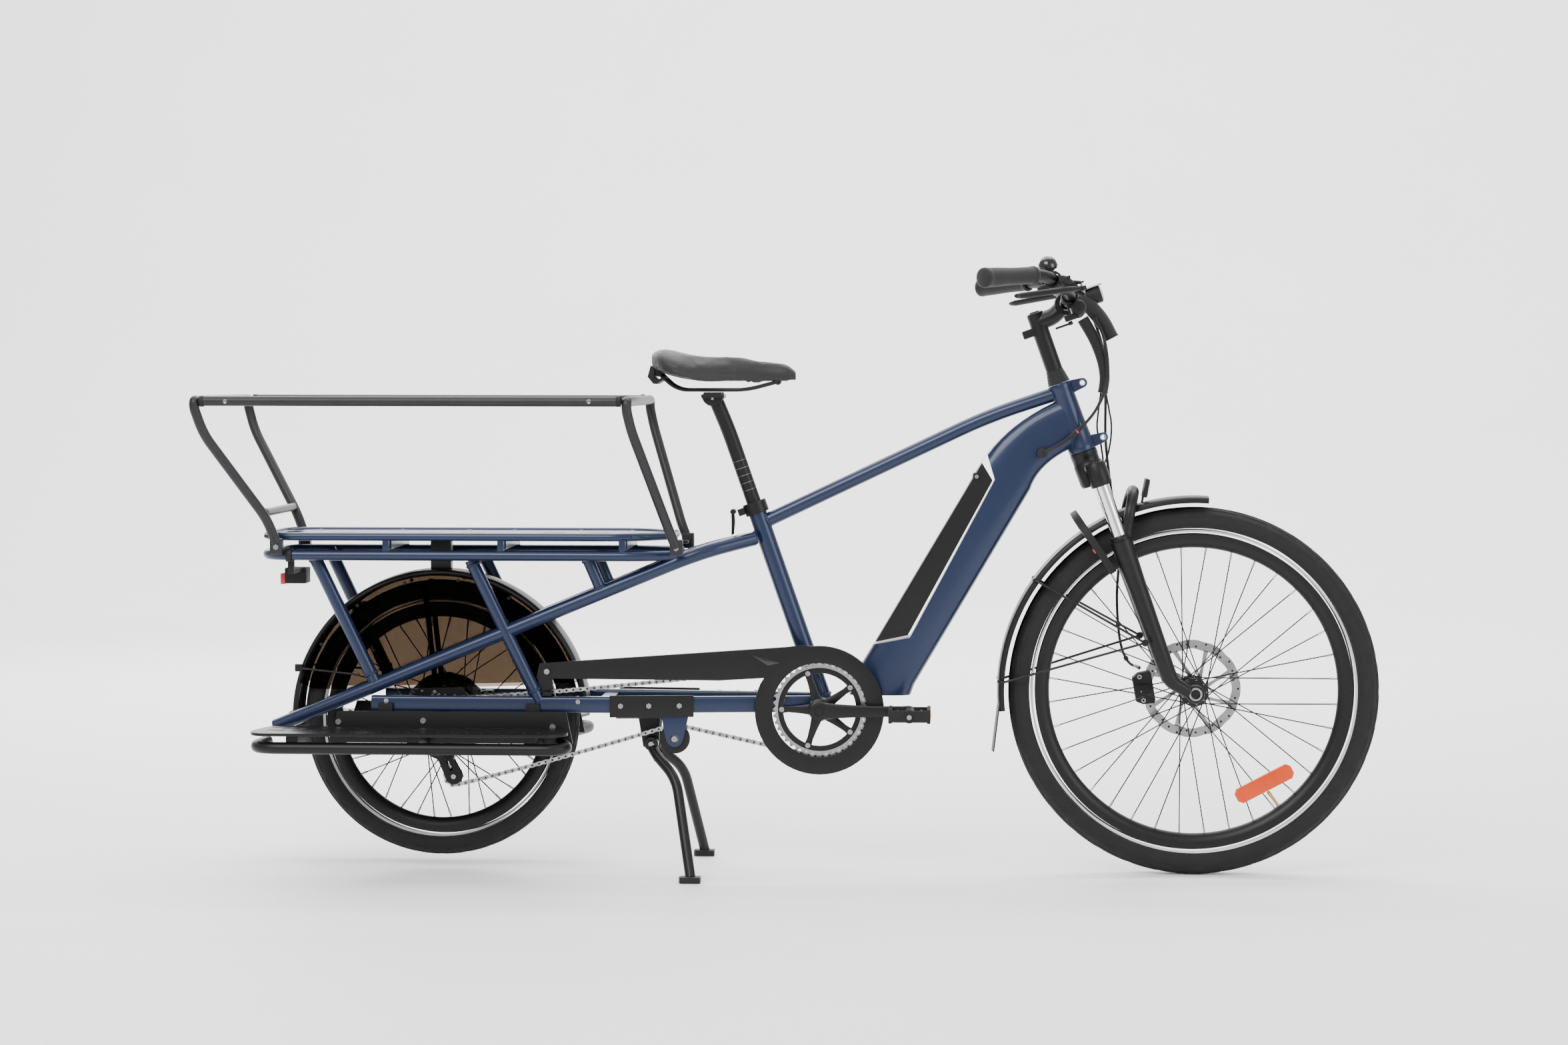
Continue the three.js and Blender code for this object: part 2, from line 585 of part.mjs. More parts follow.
// Chain guard: a slim bar that widens into a ring in front of the chainring teeth.
const GUARD_Y = -65;
function chainGuard() {
  const outline = new THREE.Shape();
  outline.moveTo(184, 357);
  outline.lineTo(190, 387);
  outline.lineTo(640, 419);
  outline.lineTo(684, 423);
  outline.lineTo(760, 395);
  outline.lineTo(640, 330);
  outline.lineTo(600, 362);
  outline.lineTo(520, 357);
  const ring = disc(BB_X, BB_Z, 118, GUARD_Y - 3, GUARD_Y + 3, 48);
  const hole = disc(BB_X, BB_Z, RING_R, GUARD_Y - 9, GUARD_Y + 9, 36);
  const arm = plate(outline, GUARD_Y - 3, GUARD_Y + 3);
  const recess = plate([p2(576, 405), p2(600, 401), p2(636, 389), p2(608, 383)], GUARD_Y - 3, GUARD_Y - 1);
  const tab = box(186, 214, GUARD_Y - 3, GUARD_Y + 3, 330, 372);
  const bolt = disc(204, 371, 6, GUARD_Y - 7, GUARD_Y, 12);
  const foot = box(196, 214, -79, GUARD_Y - 1, BEAM_Z + 15.5, BEAM_Z + 24);
  return join(cut(join(arm, ring), hole, recess), tab, bolt, foot);
}
const uprightSpace = bar(vec(66, -STAY_Y - 4, 576), vec(190, -STAY_Y, 316), 12.8, 12.8, 8);
add(FRAME_BODY, "chain_guard", largest(cut(chainGuard(), uprightSpace)), SATIN_BLACK);

// Kickstand mount: cheek covers over the beams, a plate under them and two pivot ears.
const KICK_X = 391;
const KICK_Z = 236;
function kickstandMount() {
  const slopeOut = (x) => -STAY_Y - 10 + ((x - 320) * 34) / 321;
  const outer = [p2(318, slopeOut(320) - 4), p2(474, slopeOut(474) - 4)];
  const inner = [p2(474, slopeOut(474) - 0.6), p2(318, slopeOut(320) - 0.6)];
  const cheek = plateXY([...outer, ...inner], 288, 330);
  const base = plateXY([p2(330, -70), p2(420, -62), p2(420, 62), p2(330, 70)], 285, 295.4);
  const shelf = plateXY([p2(326, slopeOut(326) - 3), p2(418, slopeOut(418) - 3), p2(418, -40), p2(326,
    -40)], 288, 295.4);
  const earOutline = [p2(KICK_X - 26, 290), p2(KICK_X - 16, KICK_Z - 8), p2(KICK_X + 12, KICK_Z - 14),
    p2(KICK_X + 16, 290)];
  const ear = (y) => plate(earOutline, y, y + 6);
  const pin = disc(KICK_X, KICK_Z, 6, -39, 39, 14);
  return join(cheek, mirrored(cheek), shelf, mirrored(shelf), base, ear(-20), ear(14), pin);
}
add(FRAME_BODY, "kickstand_mount", kickstandMount(), SATIN_BLACK);

// Tail light on a bracket under the rack, its lens facing back.
function tailLight() {
  const body = box(-290, -248, -20, 20, 526, 556);
  const wedge = plate([p2(-296, 524), p2(-286, 524), p2(-290, 546), p2(-298, 546)], -18, 18);
  const bracket = box(-268, -256, -86, -14, 548, 556);
  const hook = box(-268, -256, -92, -80, 548, LOWER_LOOP_Z - 12);
  return join(body, wedge, bracket, hook);
}
add(FRAME_BODY, "tail_light", cut(tailLight(), lowerLoopSpace, box(-262, -200, -200, -55, 540, 590)),
  MATTE_BLACK);

// Seat clamp collar round the top of the seat tube.
const CLAMP_AT = alongSeat(SEAT_TOP, -4);
function seatClamp() {
  const seatLeanDeg = THREE.MathUtils.radToDeg(Math.atan2(-seatDir.x, seatDir.z));
  const high = alongSeat(CLAMP_AT, 22);
  const ears = moved(turned(box(-34, -18, -8, 8, 5, 19), 0, -seatLeanDeg, 0), CLAMP_AT.x, 0, CLAMP_AT.z);
  const collar = bar(CLAMP_AT, high, 22, 22, 24);
  const lip = bar(alongSeat(SEAT_TOP, 1.2), alongSeat(high, 2), SEAT_BORE_R, SEAT_BORE_R, 20);
  const seat = bar(alongSeat(SEAT_TOP, -30), alongSeat(SEAT_TOP, 1.2), SEAT_TUBE_R + 1, SEAT_TUBE_R + 1,
    20);
  return cut(join(collar, ears), seat, lip);
}
add(FRAME_BODY, "seat_clamp", seatClamp(), SATIN_BLACK);

// Rear brake caliper over the rotor, on the left dropout.
const REAR_ROTOR_Y = 44;
const CALIPER_HALF = 12.6;
function caliper(slotY, halfLong, tall) {
  const block = box(-halfLong, halfLong, slotY - CALIPER_HALF, slotY + CALIPER_HALF, 0, tall);
  const slot = box(-halfLong - 5, halfLong + 5, slotY - 3, slotY + 3, -5, tall - 10);
  return cut(block, slot);
}
const rearCaliper = join(
  moved(turned(caliper(REAR_ROTOR_Y, 26, 34), 0, 62, 0), 66, 0, REAR_AXLE_Z + 14),
  box(84, 110, 36, 59.5, REAR_AXLE_Z + 6, REAR_AXLE_Z + 16),
);
add(FRAME_BODY, "rear_caliper", rearCaliper, MATTE_BLACK);

// ---- drive ----

// Straight runs of the chain and the wraps between them, as one slim band in the chain's plane.
const CHAIN_HALF = 4.2;
const TENSION = { x: 30, z: 176, r: 17 };
const GUIDE = { x: 12, z: 214, r: 17 };

// The chain's loop as joined convex runs, from the ring's top round the cog, the two jockey wheels and the
// idler.
function chainRun(a, b, bulge = 0) {
  const mid = p2((a.x + b.x) / 2, (a.y + b.y) / 2 - bulge);
  const half = CHAIN_HALF;
  const run = (p, q) => {
    const n = p2(-(q.y - p.y), q.x - p.x).normalize().multiplyScalar(half);
    const corners = [p.clone().add(n), q.clone().add(n), q.clone().sub(n), p.clone().sub(n)];
    return plate(corners, CHAIN_Y - 3, CHAIN_Y + 3);
  };
  return join(run(a, mid), run(mid, b));
}

function chainWrap(c, r, from, to, n) {
  const outer = arcPoints(c.x, c.z, r + CHAIN_HALF, from, to, n);
  const inner = arcPoints(c.x, c.z, r - CHAIN_HALF, to, from, n);
  return plate([...outer, ...inner], CHAIN_Y - 3, CHAIN_Y + 3);
}

const RING = { x: BB_X, z: BB_Z, r: RING_R };
const COG = { x: 0, z: REAR_AXLE_Z, r: COG_R };
const IDLER = { x: IDLER_X, z: IDLER_Z, r: IDLER_R };

// Angle of a point about a circle's centre, in degrees.
const angleAt = (c, p) => THREE.MathUtils.radToDeg(Math.atan2(p.y - c.z, p.x - c.x));

// Outer tangent between two circles, on the upper (side 1) or lower (side -1) side.
function outerTangent(a, b, side) {
  const d = Math.hypot(b.x - a.x, b.z - a.z);
  const base = Math.atan2(b.z - a.z, b.x - a.x);
  const t = base + side * Math.acos((a.r - b.r) / d);
  return [p2(a.x + a.r * Math.cos(t), a.z + a.r * Math.sin(t)), p2(b.x + b.r * Math.cos(t),
    b.z + b.r * Math.sin(t))];
}

// Crossing tangent: it leaves a on the given side and meets b on the other.
function crossTangent(a, b, side) {
  const d = Math.hypot(b.x - a.x, b.z - a.z);
  const base = Math.atan2(b.z - a.z, b.x - a.x);
  const t = base + side * Math.acos((a.r + b.r) / d);
  return [p2(a.x + a.r * Math.cos(t), a.z + a.r * Math.sin(t)), p2(b.x - b.r * Math.cos(t),
    b.z - b.r * Math.sin(t))];
}

function chainLoop() {
  const top = outerTangent(COG, RING, 1);
  const ringToIdler = crossTangent(RING, IDLER, 1);
  const idlerToTension = crossTangent(IDLER, TENSION, -1);
  const tensionToGuide = crossTangent(TENSION, GUIDE, 1);
  const guideToCog = crossTangent(GUIDE, COG, -1);
  const span = (c, p, q) => {
    let to = angleAt(c, q);
    const from = angleAt(c, p);
    while (to > from) {
      to -= 360;
    }
    return [from, to];
  };
  // The chain is followed forwards over the cog and the ring, clockwise as seen from the right side.
  const ringArc = span(RING, top[1], ringToIdler[0]);
  const idlerArc = span(IDLER, idlerToTension[0], ringToIdler[1]);
  const tensionArc = span(TENSION, idlerToTension[1], tensionToGuide[0]);
  const guideArc = span(GUIDE, guideToCog[0], tensionToGuide[1]);
  const cogArc = span(COG, guideToCog[1], top[0]);
  return join(
    chainRun(top[0], top[1], 6),
    chainWrap(RING, RING.r, ...ringArc, 22),
    chainRun(ringToIdler[0], ringToIdler[1]),
    chainWrap(IDLER, IDLER.r, ...idlerArc, 5),
    chainRun(idlerToTension[0], idlerToTension[1], 3),
    chainWrap(TENSION, TENSION.r, ...tensionArc, 8),
    chainRun(tensionToGuide[0], tensionToGuide[1]),
    chainWrap(GUIDE, GUIDE.r, ...guideArc, 6),
    chainRun(guideToCog[0], guideToCog[1]),
    chainWrap(COG, COG.r, ...cogArc, 10),
  );
}
add(FRAME_BODY, "chain", chainLoop(), STEEL);

// Derailleur: hanger link, body, and a cage of two plates round its two jockey wheels.
function derailleur() {
  const waist = [p2(TENSION.x - 13, TENSION.z), p2(TENSION.x + 13, TENSION.z), p2(GUIDE.x + 11, GUIDE.z),
    p2(GUIDE.x - 11, GUIDE.z)];
  const capsule = (y0, y1) => join(
    disc(TENSION.x, TENSION.z, 15, y0, y1, 16),
    disc(GUIDE.x, GUIDE.z, 13, y0, y1, 16),
    plate(waist, y0, y1),
  );
  const jockeys = [TENSION, GUIDE].map((j) => disc(j.x, j.z, 12, -60, -44, 16));
  const link = bar(vec(GUIDE.x, -66, GUIDE.z), vec(-18, -81, 226), 8, 5, 8);
  const arm = bar(vec(-18, -81, 226), vec(16, -81, 263), 5, 5, 8);
  const hanger = disc(16, 263, 8, -85, -75.4, 12);
  const knuckle = disc(GUIDE.x, GUIDE.z, 8, -70, -58, 12);
  return join(capsule(-61, -58.5), capsule(-46, -44), jockeys, knuckle, link, arm, hanger);
}
add(FRAME_BODY, "derailleur", derailleur(), MATTE_BLACK);

// ---- wheels ----

const SPOKES = 12;
const TYRE_SIDES = 32;

function tyre(outerR, rimR, width) {
  const half = width / 2;
  const tall = outerR - rimR;
  const profile = [[rimR + 1, half * 0.42], [rimR + tall * 0.3, half * 0.92], [rimR + tall * 0.62, half],
    [outerR - 9, half * 0.8],
    [outerR, half * 0.32], [outerR, -half * 0.32], [outerR - 9, -half * 0.8], [rimR + tall * 0.62, -half],
    [rimR + tall * 0.3, -half * 0.92], [rimR + 1, -half * 0.42]];
  return turnedRing(profile.reverse(), TYRE_SIDES);
}

// Rim, crossed spokes from both hub flanges and hub shell as one wheel; the axis runs along Y.
function wheel(rimR, rimInnerR, rimHalf, flangeR, flangeY, hubR, spokes) {
  const rim = turnedRing([[rimR, rimHalf], [rimInnerR + 4, rimHalf * 0.8], [rimInnerR, 0], [rimInnerR + 4,
    -rimHalf * 0.8],
    [rimR, -rimHalf]], TYRE_SIDES);
  const flanges = [-1, 1].map((s) => disc(0, 0, flangeR + 4, s * flangeY - 1.6, s * flangeY + 1.6, 20));
  const hub = disc(0, 0, hubR, -flangeY, flangeY, 20);
  const ring = Array.from({ length: spokes }, (_, i) => {
    const side = i % 2 === 0 ? 1 : -1;
    const hand = i % 4 < 2 ? 1 : -1;
    const rimA = ((i + 0.5) / spokes) * Math.PI * 2;
    const hubA = rimA + hand * (hubR > 40 ? 0.55 : 1.15);
    const a = vec(Math.cos(hubA) * (flangeR - 1), side * flangeY, Math.sin(hubA) * (flangeR - 1));
    const b = vec(Math.cos(rimA) * (rimInnerR + 2), side * 2, Math.sin(rimA) * (rimInnerR + 2));
    return bar(a, b, 1.3, 1.3, 3);
  });
  return join(rim, hub, flanges, ring);
}

function placed(x, z) {
  const g = new THREE.Group();
  g.position.set(x, 0, z);
  return g;
}

// The hub motor's axle is held still by the dropouts.
const AXLE_R = 5.8;
add(FRAME_BODY, "rear_axle", disc(0, REAR_AXLE_Z, AXLE_R, -STAY_Y - 9, STAY_Y + 9, 24), STEEL);

const rearWheel = placed(0, REAR_AXLE_Z);
bike.add(rearWheel);
add(rearWheel, "rear_tyre", tyre(REAR_TYRE_R, REAR_RIM_R, REAR_TYRE_W), RUBBER);
function rearWheelShape() {
  const rotor = cut(
    disc(0, 0, 80, REAR_ROTOR_Y - 1, REAR_ROTOR_Y + 1, 36),
    disc(0, 0, 62, REAR_ROTOR_Y - 5, REAR_ROTOR_Y + 5, 24),
  );
  const arms = [0, 60, 120].map((a) => turned(box(-66, 66, REAR_ROTOR_Y - 1, REAR_ROTOR_Y + 1, -5, 5), 0,
    a, 0));
  const carrier = disc(0, 0, 22, 20, REAR_ROTOR_Y + 3, 20);
  const drum = wheel(REAR_RIM_R, REAR_RIM_INNER_R, 14, 64, 24, 60, SPOKES);
  return cut(join(drum, rotor, arms, carrier), disc(0, 0, AXLE_R + 2, -80, 80, 16));
}
add(rearWheel, "rear_wheel", rearWheelShape(), MATTE_BLACK);

const cassette = placed(0, REAR_AXLE_Z);
bike.add(cassette);
const cogs = join(disc(0, 0, 48, -46, -40, 32), disc(0, 0, COG_R - 5, -57, -46, 24));
const freehub = disc(0, 0, 20, -59.4, -27.5, 20);
add(cassette, "cassette", cut(join(cogs, freehub), disc(0, 0, AXLE_R + 2, -70, -20, 16)), STEEL);

const idler = placed(IDLER_X, IDLER_Z);
bike.add(idler);
add(idler, "idler_pulley", join(disc(0, 0, 28, -60, -57, 28), disc(0, 0, 19.4, -57, -46, 20)), MATTE_BLACK);

// ---- cranks and pedals ----

const cranks = placed(BB_X, BB_Z);
bike.add(cranks);
const PEDAL_Y = 128;
function crankArm(side, length) {
  const inner = 76;
  const outer = 84;
  const axleEnd = PEDAL_Y + 48;
  const reach = Math.sign(length);
  const blade = plate([p2(-reach * 4, -15), p2(length, -9.5), p2(length, 9.5), p2(-reach * 4, 15)], inner,
    outer);
  const hub = disc(0, 0, 17, inner, outer, 20);
  const eye = disc(length, 0, 11, inner, outer, 16);
  const arm = join(blade, hub, eye, disc(length, 0, 4.5, inner, axleEnd, 10));
  return side > 0 ? arm : mirrored(arm);
}
function crankset() {
  const ring = cut(disc(0, 0, RING_R - 5, CHAIN_Y - 2.5, CHAIN_Y + 2.5, 36), disc(0, 0, 66, CHAIN_Y - 9,
    CHAIN_Y + 9, 24));
  const arm = box(0, 70, CHAIN_Y - 2.5, CHAIN_Y + 3, -7, 7);
  const arms = [36, 108, 180, 252, 324].map((a) => turned(arm, 0, a, 0));
  const boss = disc(0, 0, 22, -57, -46, 20);
  const shoulder = disc(0, 0, 14, -84, -40, 18);
  const spindle = disc(0, 0, 9, -60, -GAP, 14);
  return join(ring, arms, boss, shoulder, spindle, crankArm(-1, CRANK_LENGTH));
}
add(cranks, "crankset_right", crankset(), SATIN_BLACK);
const crankLeft = join(disc(0, 0, 14, 40, 84, 18), disc(0, 0, 9, 0.3, 60, 14), crankArm(1, -CRANK_LENGTH));
add(cranks, "crank_left", crankLeft, SATIN_BLACK);

// Cage pedal: two side plates and a middle barrel round its own axle.
function pedal(side) {
  const y0 = PEDAL_Y - 36;
  const y1 = PEDAL_Y + 36;
  const outer = box(-38, 38, y0, y1, -13, 13);
  const inner = [box(-30, -13, y0 + 8, y1 - 8, -30, 30), box(13, 30, y0 + 8, y1 - 8, -30, 30)];
  const whole = cut(outer, inner, disc(0, 0, 5.2, y0 - 5, y1 + 20, 12));
  return side > 0 ? whole : mirrored(whole);
}
const pedalRight = placed(BB_X + CRANK_LENGTH, BB_Z);
const pedalLeft = placed(BB_X - CRANK_LENGTH, BB_Z);
bike.add(pedalRight, pedalLeft);
add(pedalRight, "pedal_right", pedal(-1), MATTE_BLACK);
add(pedalLeft, "pedal_left", pedal(1), MATTE_BLACK);

// ---- kickstand ----

const KICK_FOOT = vec(474, -155, 0);
function kickstand() {
  const leg = bentTube([vec(KICK_X + 3, -32, KICK_Z - 8), vec(403, -44, 214), vec(441, -78, 178),
    vec(KICK_FOOT.x, KICK_FOOT.y, 8)], 9.5, 30, 8, 1);
  const foot = box(KICK_FOOT.x - 22, KICK_FOOT.x + 20, KICK_FOOT.y - 13, KICK_FOOT.y + 13, 0, 12);
  const hub = disc(KICK_X, KICK_Z, 13, -37, -20.5, 20);
  const half = join(leg, foot, hub);
  const bridge = disc(KICK_X + 10, KICK_Z - 28, 6, -36, 36, 12);
  return cut(join(half, mirrored(half), bridge), disc(KICK_X, KICK_Z, 6.4, -50, 50, 16));
}
const kick = new THREE.Group();
bike.add(kick);
add(kick, "kickstand", kickstand(), SATIN_BLACK);

// ---- seatpost and saddle ----

const seatGroup = new THREE.Group();
bike.add(seatGroup);
const POST_LOW = alongSeat(SEAT_TOP, -170);
const SADDLE_CLAMP = vec(503, 0, 872);
function seatpost() {
  const straightTop = alongSeat(SEAT_TOP, 158);
  const post = bentTube([POST_LOW, straightTop, vec(SADDLE_CLAMP.x + 4, 0, SADDLE_CLAMP.z - 4)], POST_R,
    26, 16, 4);
  const cradle = box(SADDLE_CLAMP.x - 20, SADDLE_CLAMP.x + 22, -28, 28, SADDLE_CLAMP.z - 9,
    SADDLE_CLAMP.z + 8);
  const grooves = [-1, 1].map((s) => bar(vec(440, s * 22, 884), vec(570, s * 22, 884), 5, 5, 8));
  return cut(join(post, cradle), grooves);
}
add(seatGroup, "seatpost", seatpost(), SATIN_BLACK);

// Saddle base shell with its two rails.
const SADDLE_REAR = 388;
const SADDLE_NOSE = 658;
function saddleWidth(x) {
  const t = (x - SADDLE_REAR) / (SADDLE_NOSE - SADDLE_REAR);
  const rear = 88 * Math.pow(Math.sin(Math.min(1, (t + 0.12) / 0.34) * Math.PI * 0.5), 0.8);
  const waist = t < 0.22 ? 1 : 0.24 + 0.76 * Math.pow(1 - Math.min(1, (t - 0.22) / 0.62), 1.6);
  return rear * waist;
}
function saddleBody(scale, crown, keel) {
  // Cross-sections along X: a half-round crown over a flatter keel.
  const n = 12;
  const sides = 12;
  const positions = [];
  const index = [];
  for (let i = 0; i <= n; i++) {
    const t = i / n;
    const x = SADDLE_REAR + 4 + t * (SADDLE_NOSE - SADDLE_REAR - 8);
    const half = saddleWidth(x) * scale * (i === 0 ? 0.75 : 1) * (i === n ? 0.6 : 1);
    const line = 925 + 26 * Math.pow(1 - Math.min(1, t / 0.45), 2) - 12 * Math.max(0, t - 0.6) / 0.4;
    for (let k = 0; k < sides; k++) {
      const a = (k / sides) * Math.PI * 2;
      const up = Math.sin(a);
      const z = line + up * (up > 0 ? crown : keel) * (i === 0 || i === n ? 0.45 : 1);
      positions.push(x, Math.cos(a) * half, z);
    }
  }
  for (let i = 0; i < n; i++) {
    for (let k = 0; k < sides; k++) {
      const a = i * sides + k;
      const b = i * sides + ((k + 1) % sides);
      index.push(a, b, b + sides, a, b + sides, a + sides);
    }
  }
  for (let k = 1; k < sides - 1; k++) {
    index.push(0, k + 1, k);
    index.push(n * sides, n * sides + k, n * sides + k + 1);
  }
  const g = new THREE.BufferGeometry();
  g.setAttribute("position", new THREE.Float32BufferAttribute(positions, 3));
  g.setIndex(index);
  return solid(g);
}
const cushion = cut(saddleBody(1, 19, 24), box(300, 800, -200, 200, 800, 906));
function saddleBase() {
  const pan = box(420, 630, -24, 24, 893, 903);
  const rear = box(392, 440, -62, 62, 893, 903);
  const rails = [-1, 1].map((s) => bentTube([vec(412, s * 26, 899), vec(440, s * 22, 884), vec(566,
    s * 22, 884),
    vec(622, s * 14, 899)], 3.5, 18, 8, 2));
  const bumper = box(385, 397, -34, 34, 896, 903);
  return join(pan, rear, rails, bumper);
}
add(seatGroup, "saddle_base", saddleBase(), MATTE_BLACK);
add(seatGroup, "saddle", largest(cushion.subtract(box(300, 800, -200, 200, 800, 903.4))), VINYL);

// Quick-release lever of the seat clamp, turning about its own pin across the collar's ears.
const clampPin = CLAMP_AT.clone().add(vec(-30, 0, 3));
const clampLever = new THREE.Group();
bike.add(clampLever);

// ---- steering: everything that turns with the fork, in a frame whose Z is the steering axis ----

const steering = new THREE.Group();
steering.position.set(HEAD_BOTTOM_X, 0, HEAD_BOTTOM_Z);
steering.rotation.y = -HEAD_LEAN;
bike.add(steering);

// Local place of a point given in the bicycle's own frame.
const cosLean = Math.cos(HEAD_LEAN);
const sinLean = Math.sin(HEAD_LEAN);
const local = (x, y, z) => vec(
  (x - HEAD_BOTTOM_X) * cosLean + (z - HEAD_BOTTOM_Z) * sinLean, y,
  -(x - HEAD_BOTTOM_X) * sinLean + (z - HEAD_BOTTOM_Z) * cosLean,
);

const STANCHION_R = 13;
const CROWN_Z = -30;
const LOWERS_TOP = -164;
function forkCrown() {
  const block = join(
    disc2(0, 0, 26, CROWN_Z - 36, -22, 24),
    box(-20, 30, -STANCHION_Y, STANCHION_Y, CROWN_Z - 34, CROWN_Z - 4),
    disc2(STANCHION_X, -STANCHION_Y, 20, CROWN_Z - 38, CROWN_Z + 6, 20),
    disc2(STANCHION_X, STANCHION_Y, 20, CROWN_Z - 38, CROWN_Z + 6, 20),
  );
  const race = disc2(0, 0, 24.5, -22, -0.3, 24);
  const steerer = disc2(0, 0, 14, -30, HEAD_LENGTH + 60, 20);
  const legs = [-1, 1].map((s) => disc2(STANCHION_X, s * STANCHION_Y, STANCHION_R, -300, CROWN_Z, 18));
  return join(block, race, steerer, legs);
}
// Disc or post along local Z.
function disc2(x, y, r, z0, z1, sides) {
  return bar(vec(x, y, z0), vec(x, y, z1), r, r, sides);
}
add(steering, "fork_crown", forkCrown(), SATIN_BLACK);

function stem() {
  const boot = bar(vec(0, 0, HEAD_LENGTH + 0.4), vec(0, 0, HEAD_LENGTH + 26), 20, 16, 20);
  const post = disc2(0, 0, 15.5, HEAD_LENGTH + 20, HEAD_LENGTH + 138, 20);
  const clampAt = local(1146, 0, 1040);
  const neck = bar(vec(0, 0, HEAD_LENGTH + 118), vec(clampAt.x, 0, clampAt.z), 16, 15, 16);
  const clamp = bar(vec(clampAt.x, -24, clampAt.z), vec(clampAt.x, 24, clampAt.z), 21, 21, 20);
  const bore = bar(vec(clampAt.x, -40, clampAt.z), vec(clampAt.x, 40, clampAt.z), 13.3, 13.3, 16);
  const knob = box(-34, -8, -14, 14, HEAD_LENGTH + 96, HEAD_LENGTH + 112);
  return cut(join(boot, post, neck, clamp, knob), bore, disc2(0, 0, 14.3, HEAD_LENGTH - 5,
    HEAD_LENGTH + 62, 20));
}
add(steering, "stem", stem(), SATIN_BLACK);

// Swept-back handlebar.
const BAR_R = 11;
const BAR_BORE_R = 12.1;
const barStart = (side) => local(1146, side * 40, 1040);
const barRise = (side) => local(1152, side * 104, 1058);
const barBend = (side) => local(1104, side * 193, 1087);
const barEnd = (side) => local(994, side * 300, 1078.5);
const barPoints = (side) => [local(1146, 0, 1040), barStart(side), barRise(side), barBend(side),
  barEnd(side)];
function handlebar() {
  const right = barPoints(-1).reverse();
  const left = barPoints(1).slice(1);
  const middle = bar(local(1146, -40, 1040), local(1146, 40, 1040), 13, 13, 16);
  return join(bentTube([...right, ...left], BAR_R, 26, 8, 2), middle);
}
add(steering, "handlebar", handlebar(), SATIN_BLACK);

const along = (a, b, t) => a.clone().lerp(b, t);
const gripAxis = (side) => [along(barBend(side), barEnd(side), 0.19), along(barBend(side), barEnd(side),
  1.02)];
function grip(side) {
  const [inner, outer] = gripAxis(side);
  const sleeve = bar(inner, outer, 15, 16.5, 16);
  return cut(sleeve, bar(along(inner, outer, -0.1), along(inner, outer, 0.985), BAR_BORE_R, BAR_BORE_R,
    16));
}
add(steering, "grip_right", grip(-1), RUBBER);
add(steering, "grip_left", grip(1), RUBBER);

// Brake master cylinders on the bar, each with a clevis for its lever.
const masterAt = (side) => along(barRise(side), barBend(side), 0.7);
const barAlong = (side) => barBend(side).sub(barRise(side)).normalize();
const leverPin = (side) => masterAt(side).add(vec(0.86, 0, -0.5).multiplyScalar(43))
  .addScaledVector(barAlong(side), -22);
function brakeMaster(side) {
  const at = masterAt(side);
  const d = barAlong(side);
  const ahead = vec(0.86, 0, -0.5);
  const pin = leverPin(side);
  const front = at.clone().addScaledVector(ahead, 25);
  const band = bar(at.clone().addScaledVector(d, -4), at.clone().addScaledVector(d, 5), 16, 16, 16);
  const body = bar(front.clone().addScaledVector(d, -30), front.clone().addScaledVector(d, 20), 8, 8, 12);
  const neck = bar(at, front, 8, 8, 10);
  const bore = bar(at.clone().addScaledVector(d, -30), at.clone().addScaledVector(d, 30), BAR_BORE_R,
    BAR_BORE_R, 16);
  const arm = (z) => join(
    bar(front.clone().addScaledVector(d, -24).add(vec(0, 0, z)), vec(pin.x, pin.y, pin.z + z), 3.4, 2.6, 8),
    disc2(pin.x, pin.y, 6, pin.z + z - 1.4, pin.z + z + 1.4, 12),
  );
  return cut(join(band, neck, body, arm(11), arm(-11), disc2(pin.x, pin.y, 2.4, pin.z - 11, pin.z + 11,
    10)), bore);
}
add(steering, "brake_master_right", brakeMaster(-1), MATTE_BLACK);
add(steering, "brake_master_left", brakeMaster(1), MATTE_BLACK);

// Trigger shifter under the bar on the right, its window towards the rider.
const shifterAt = along(barStart(-1), barRise(-1), 0.58);
function shifter() {
  const d = barRise(-1).sub(barStart(-1)).normalize();
  const bore = bar(shifterAt.clone().addScaledVector(d, -30), shifterAt.clone().addScaledVector(d, 30),
    BAR_BORE_R,
    BAR_BORE_R, 16);
  const band = bar(shifterAt.clone().addScaledVector(d, -7), shifterAt.clone().addScaledVector(d, 7), 15,
    15, 16);
  const low = shifterAt.clone().add(vec(8, 0, -24));
  const body = bar(low.clone().addScaledVector(d, -16), low.clone().addScaledVector(d, 16), 15, 13, 12);
  return cut(join(band, body), bore);
}
add(steering, "shifter", shifter(), MATTE_BLACK);

// Bell above the bar, display at its middle and headlight ahead of the stem.
const bellAt = along(barRise(-1), barBend(-1), 0.3);
const BELL_BACK = 14;
const BELL_LIFT = 18;
function bell() {
  const band = bar(bellAt.clone().addScaledVector(barAlong(-1), -4),
    bellAt.clone().addScaledVector(barAlong(-1), 4), 13.8, 13.8, 20);
  const bore = bar(bellAt.clone().addScaledVector(barAlong(-1), -20), bellAt.clone()
    .addScaledVector(barAlong(-1), 20),
    BAR_BORE_R, BAR_BORE_R, 16);
  const x = bellAt.x - BELL_BACK;
  const z = bellAt.z + BELL_LIFT;
  const cup = new THREE.LatheGeometry([p2(0, 21), p2(17.5, 21), p2(17, 33), p2(10, 42), p2(0, 45)], 16);
  cup.rotateX(Math.PI / 2);
  cup.translate(x, bellAt.y, z);
  return cut(join(band, solid(cup), disc2(x, bellAt.y, 7, bellAt.z + 6, z + 24, 12)), bore);
}
add(steering, "bell", bell(), GLOSS_BLACK);

const displayAt = local(1128, 78, 1056);
const displayShape = moved(box(-26, 14, -22, 26, 15, 27), displayAt.x, displayAt.y, displayAt.z);
add(steering, "display", displayShape, GLOSS_BLACK);

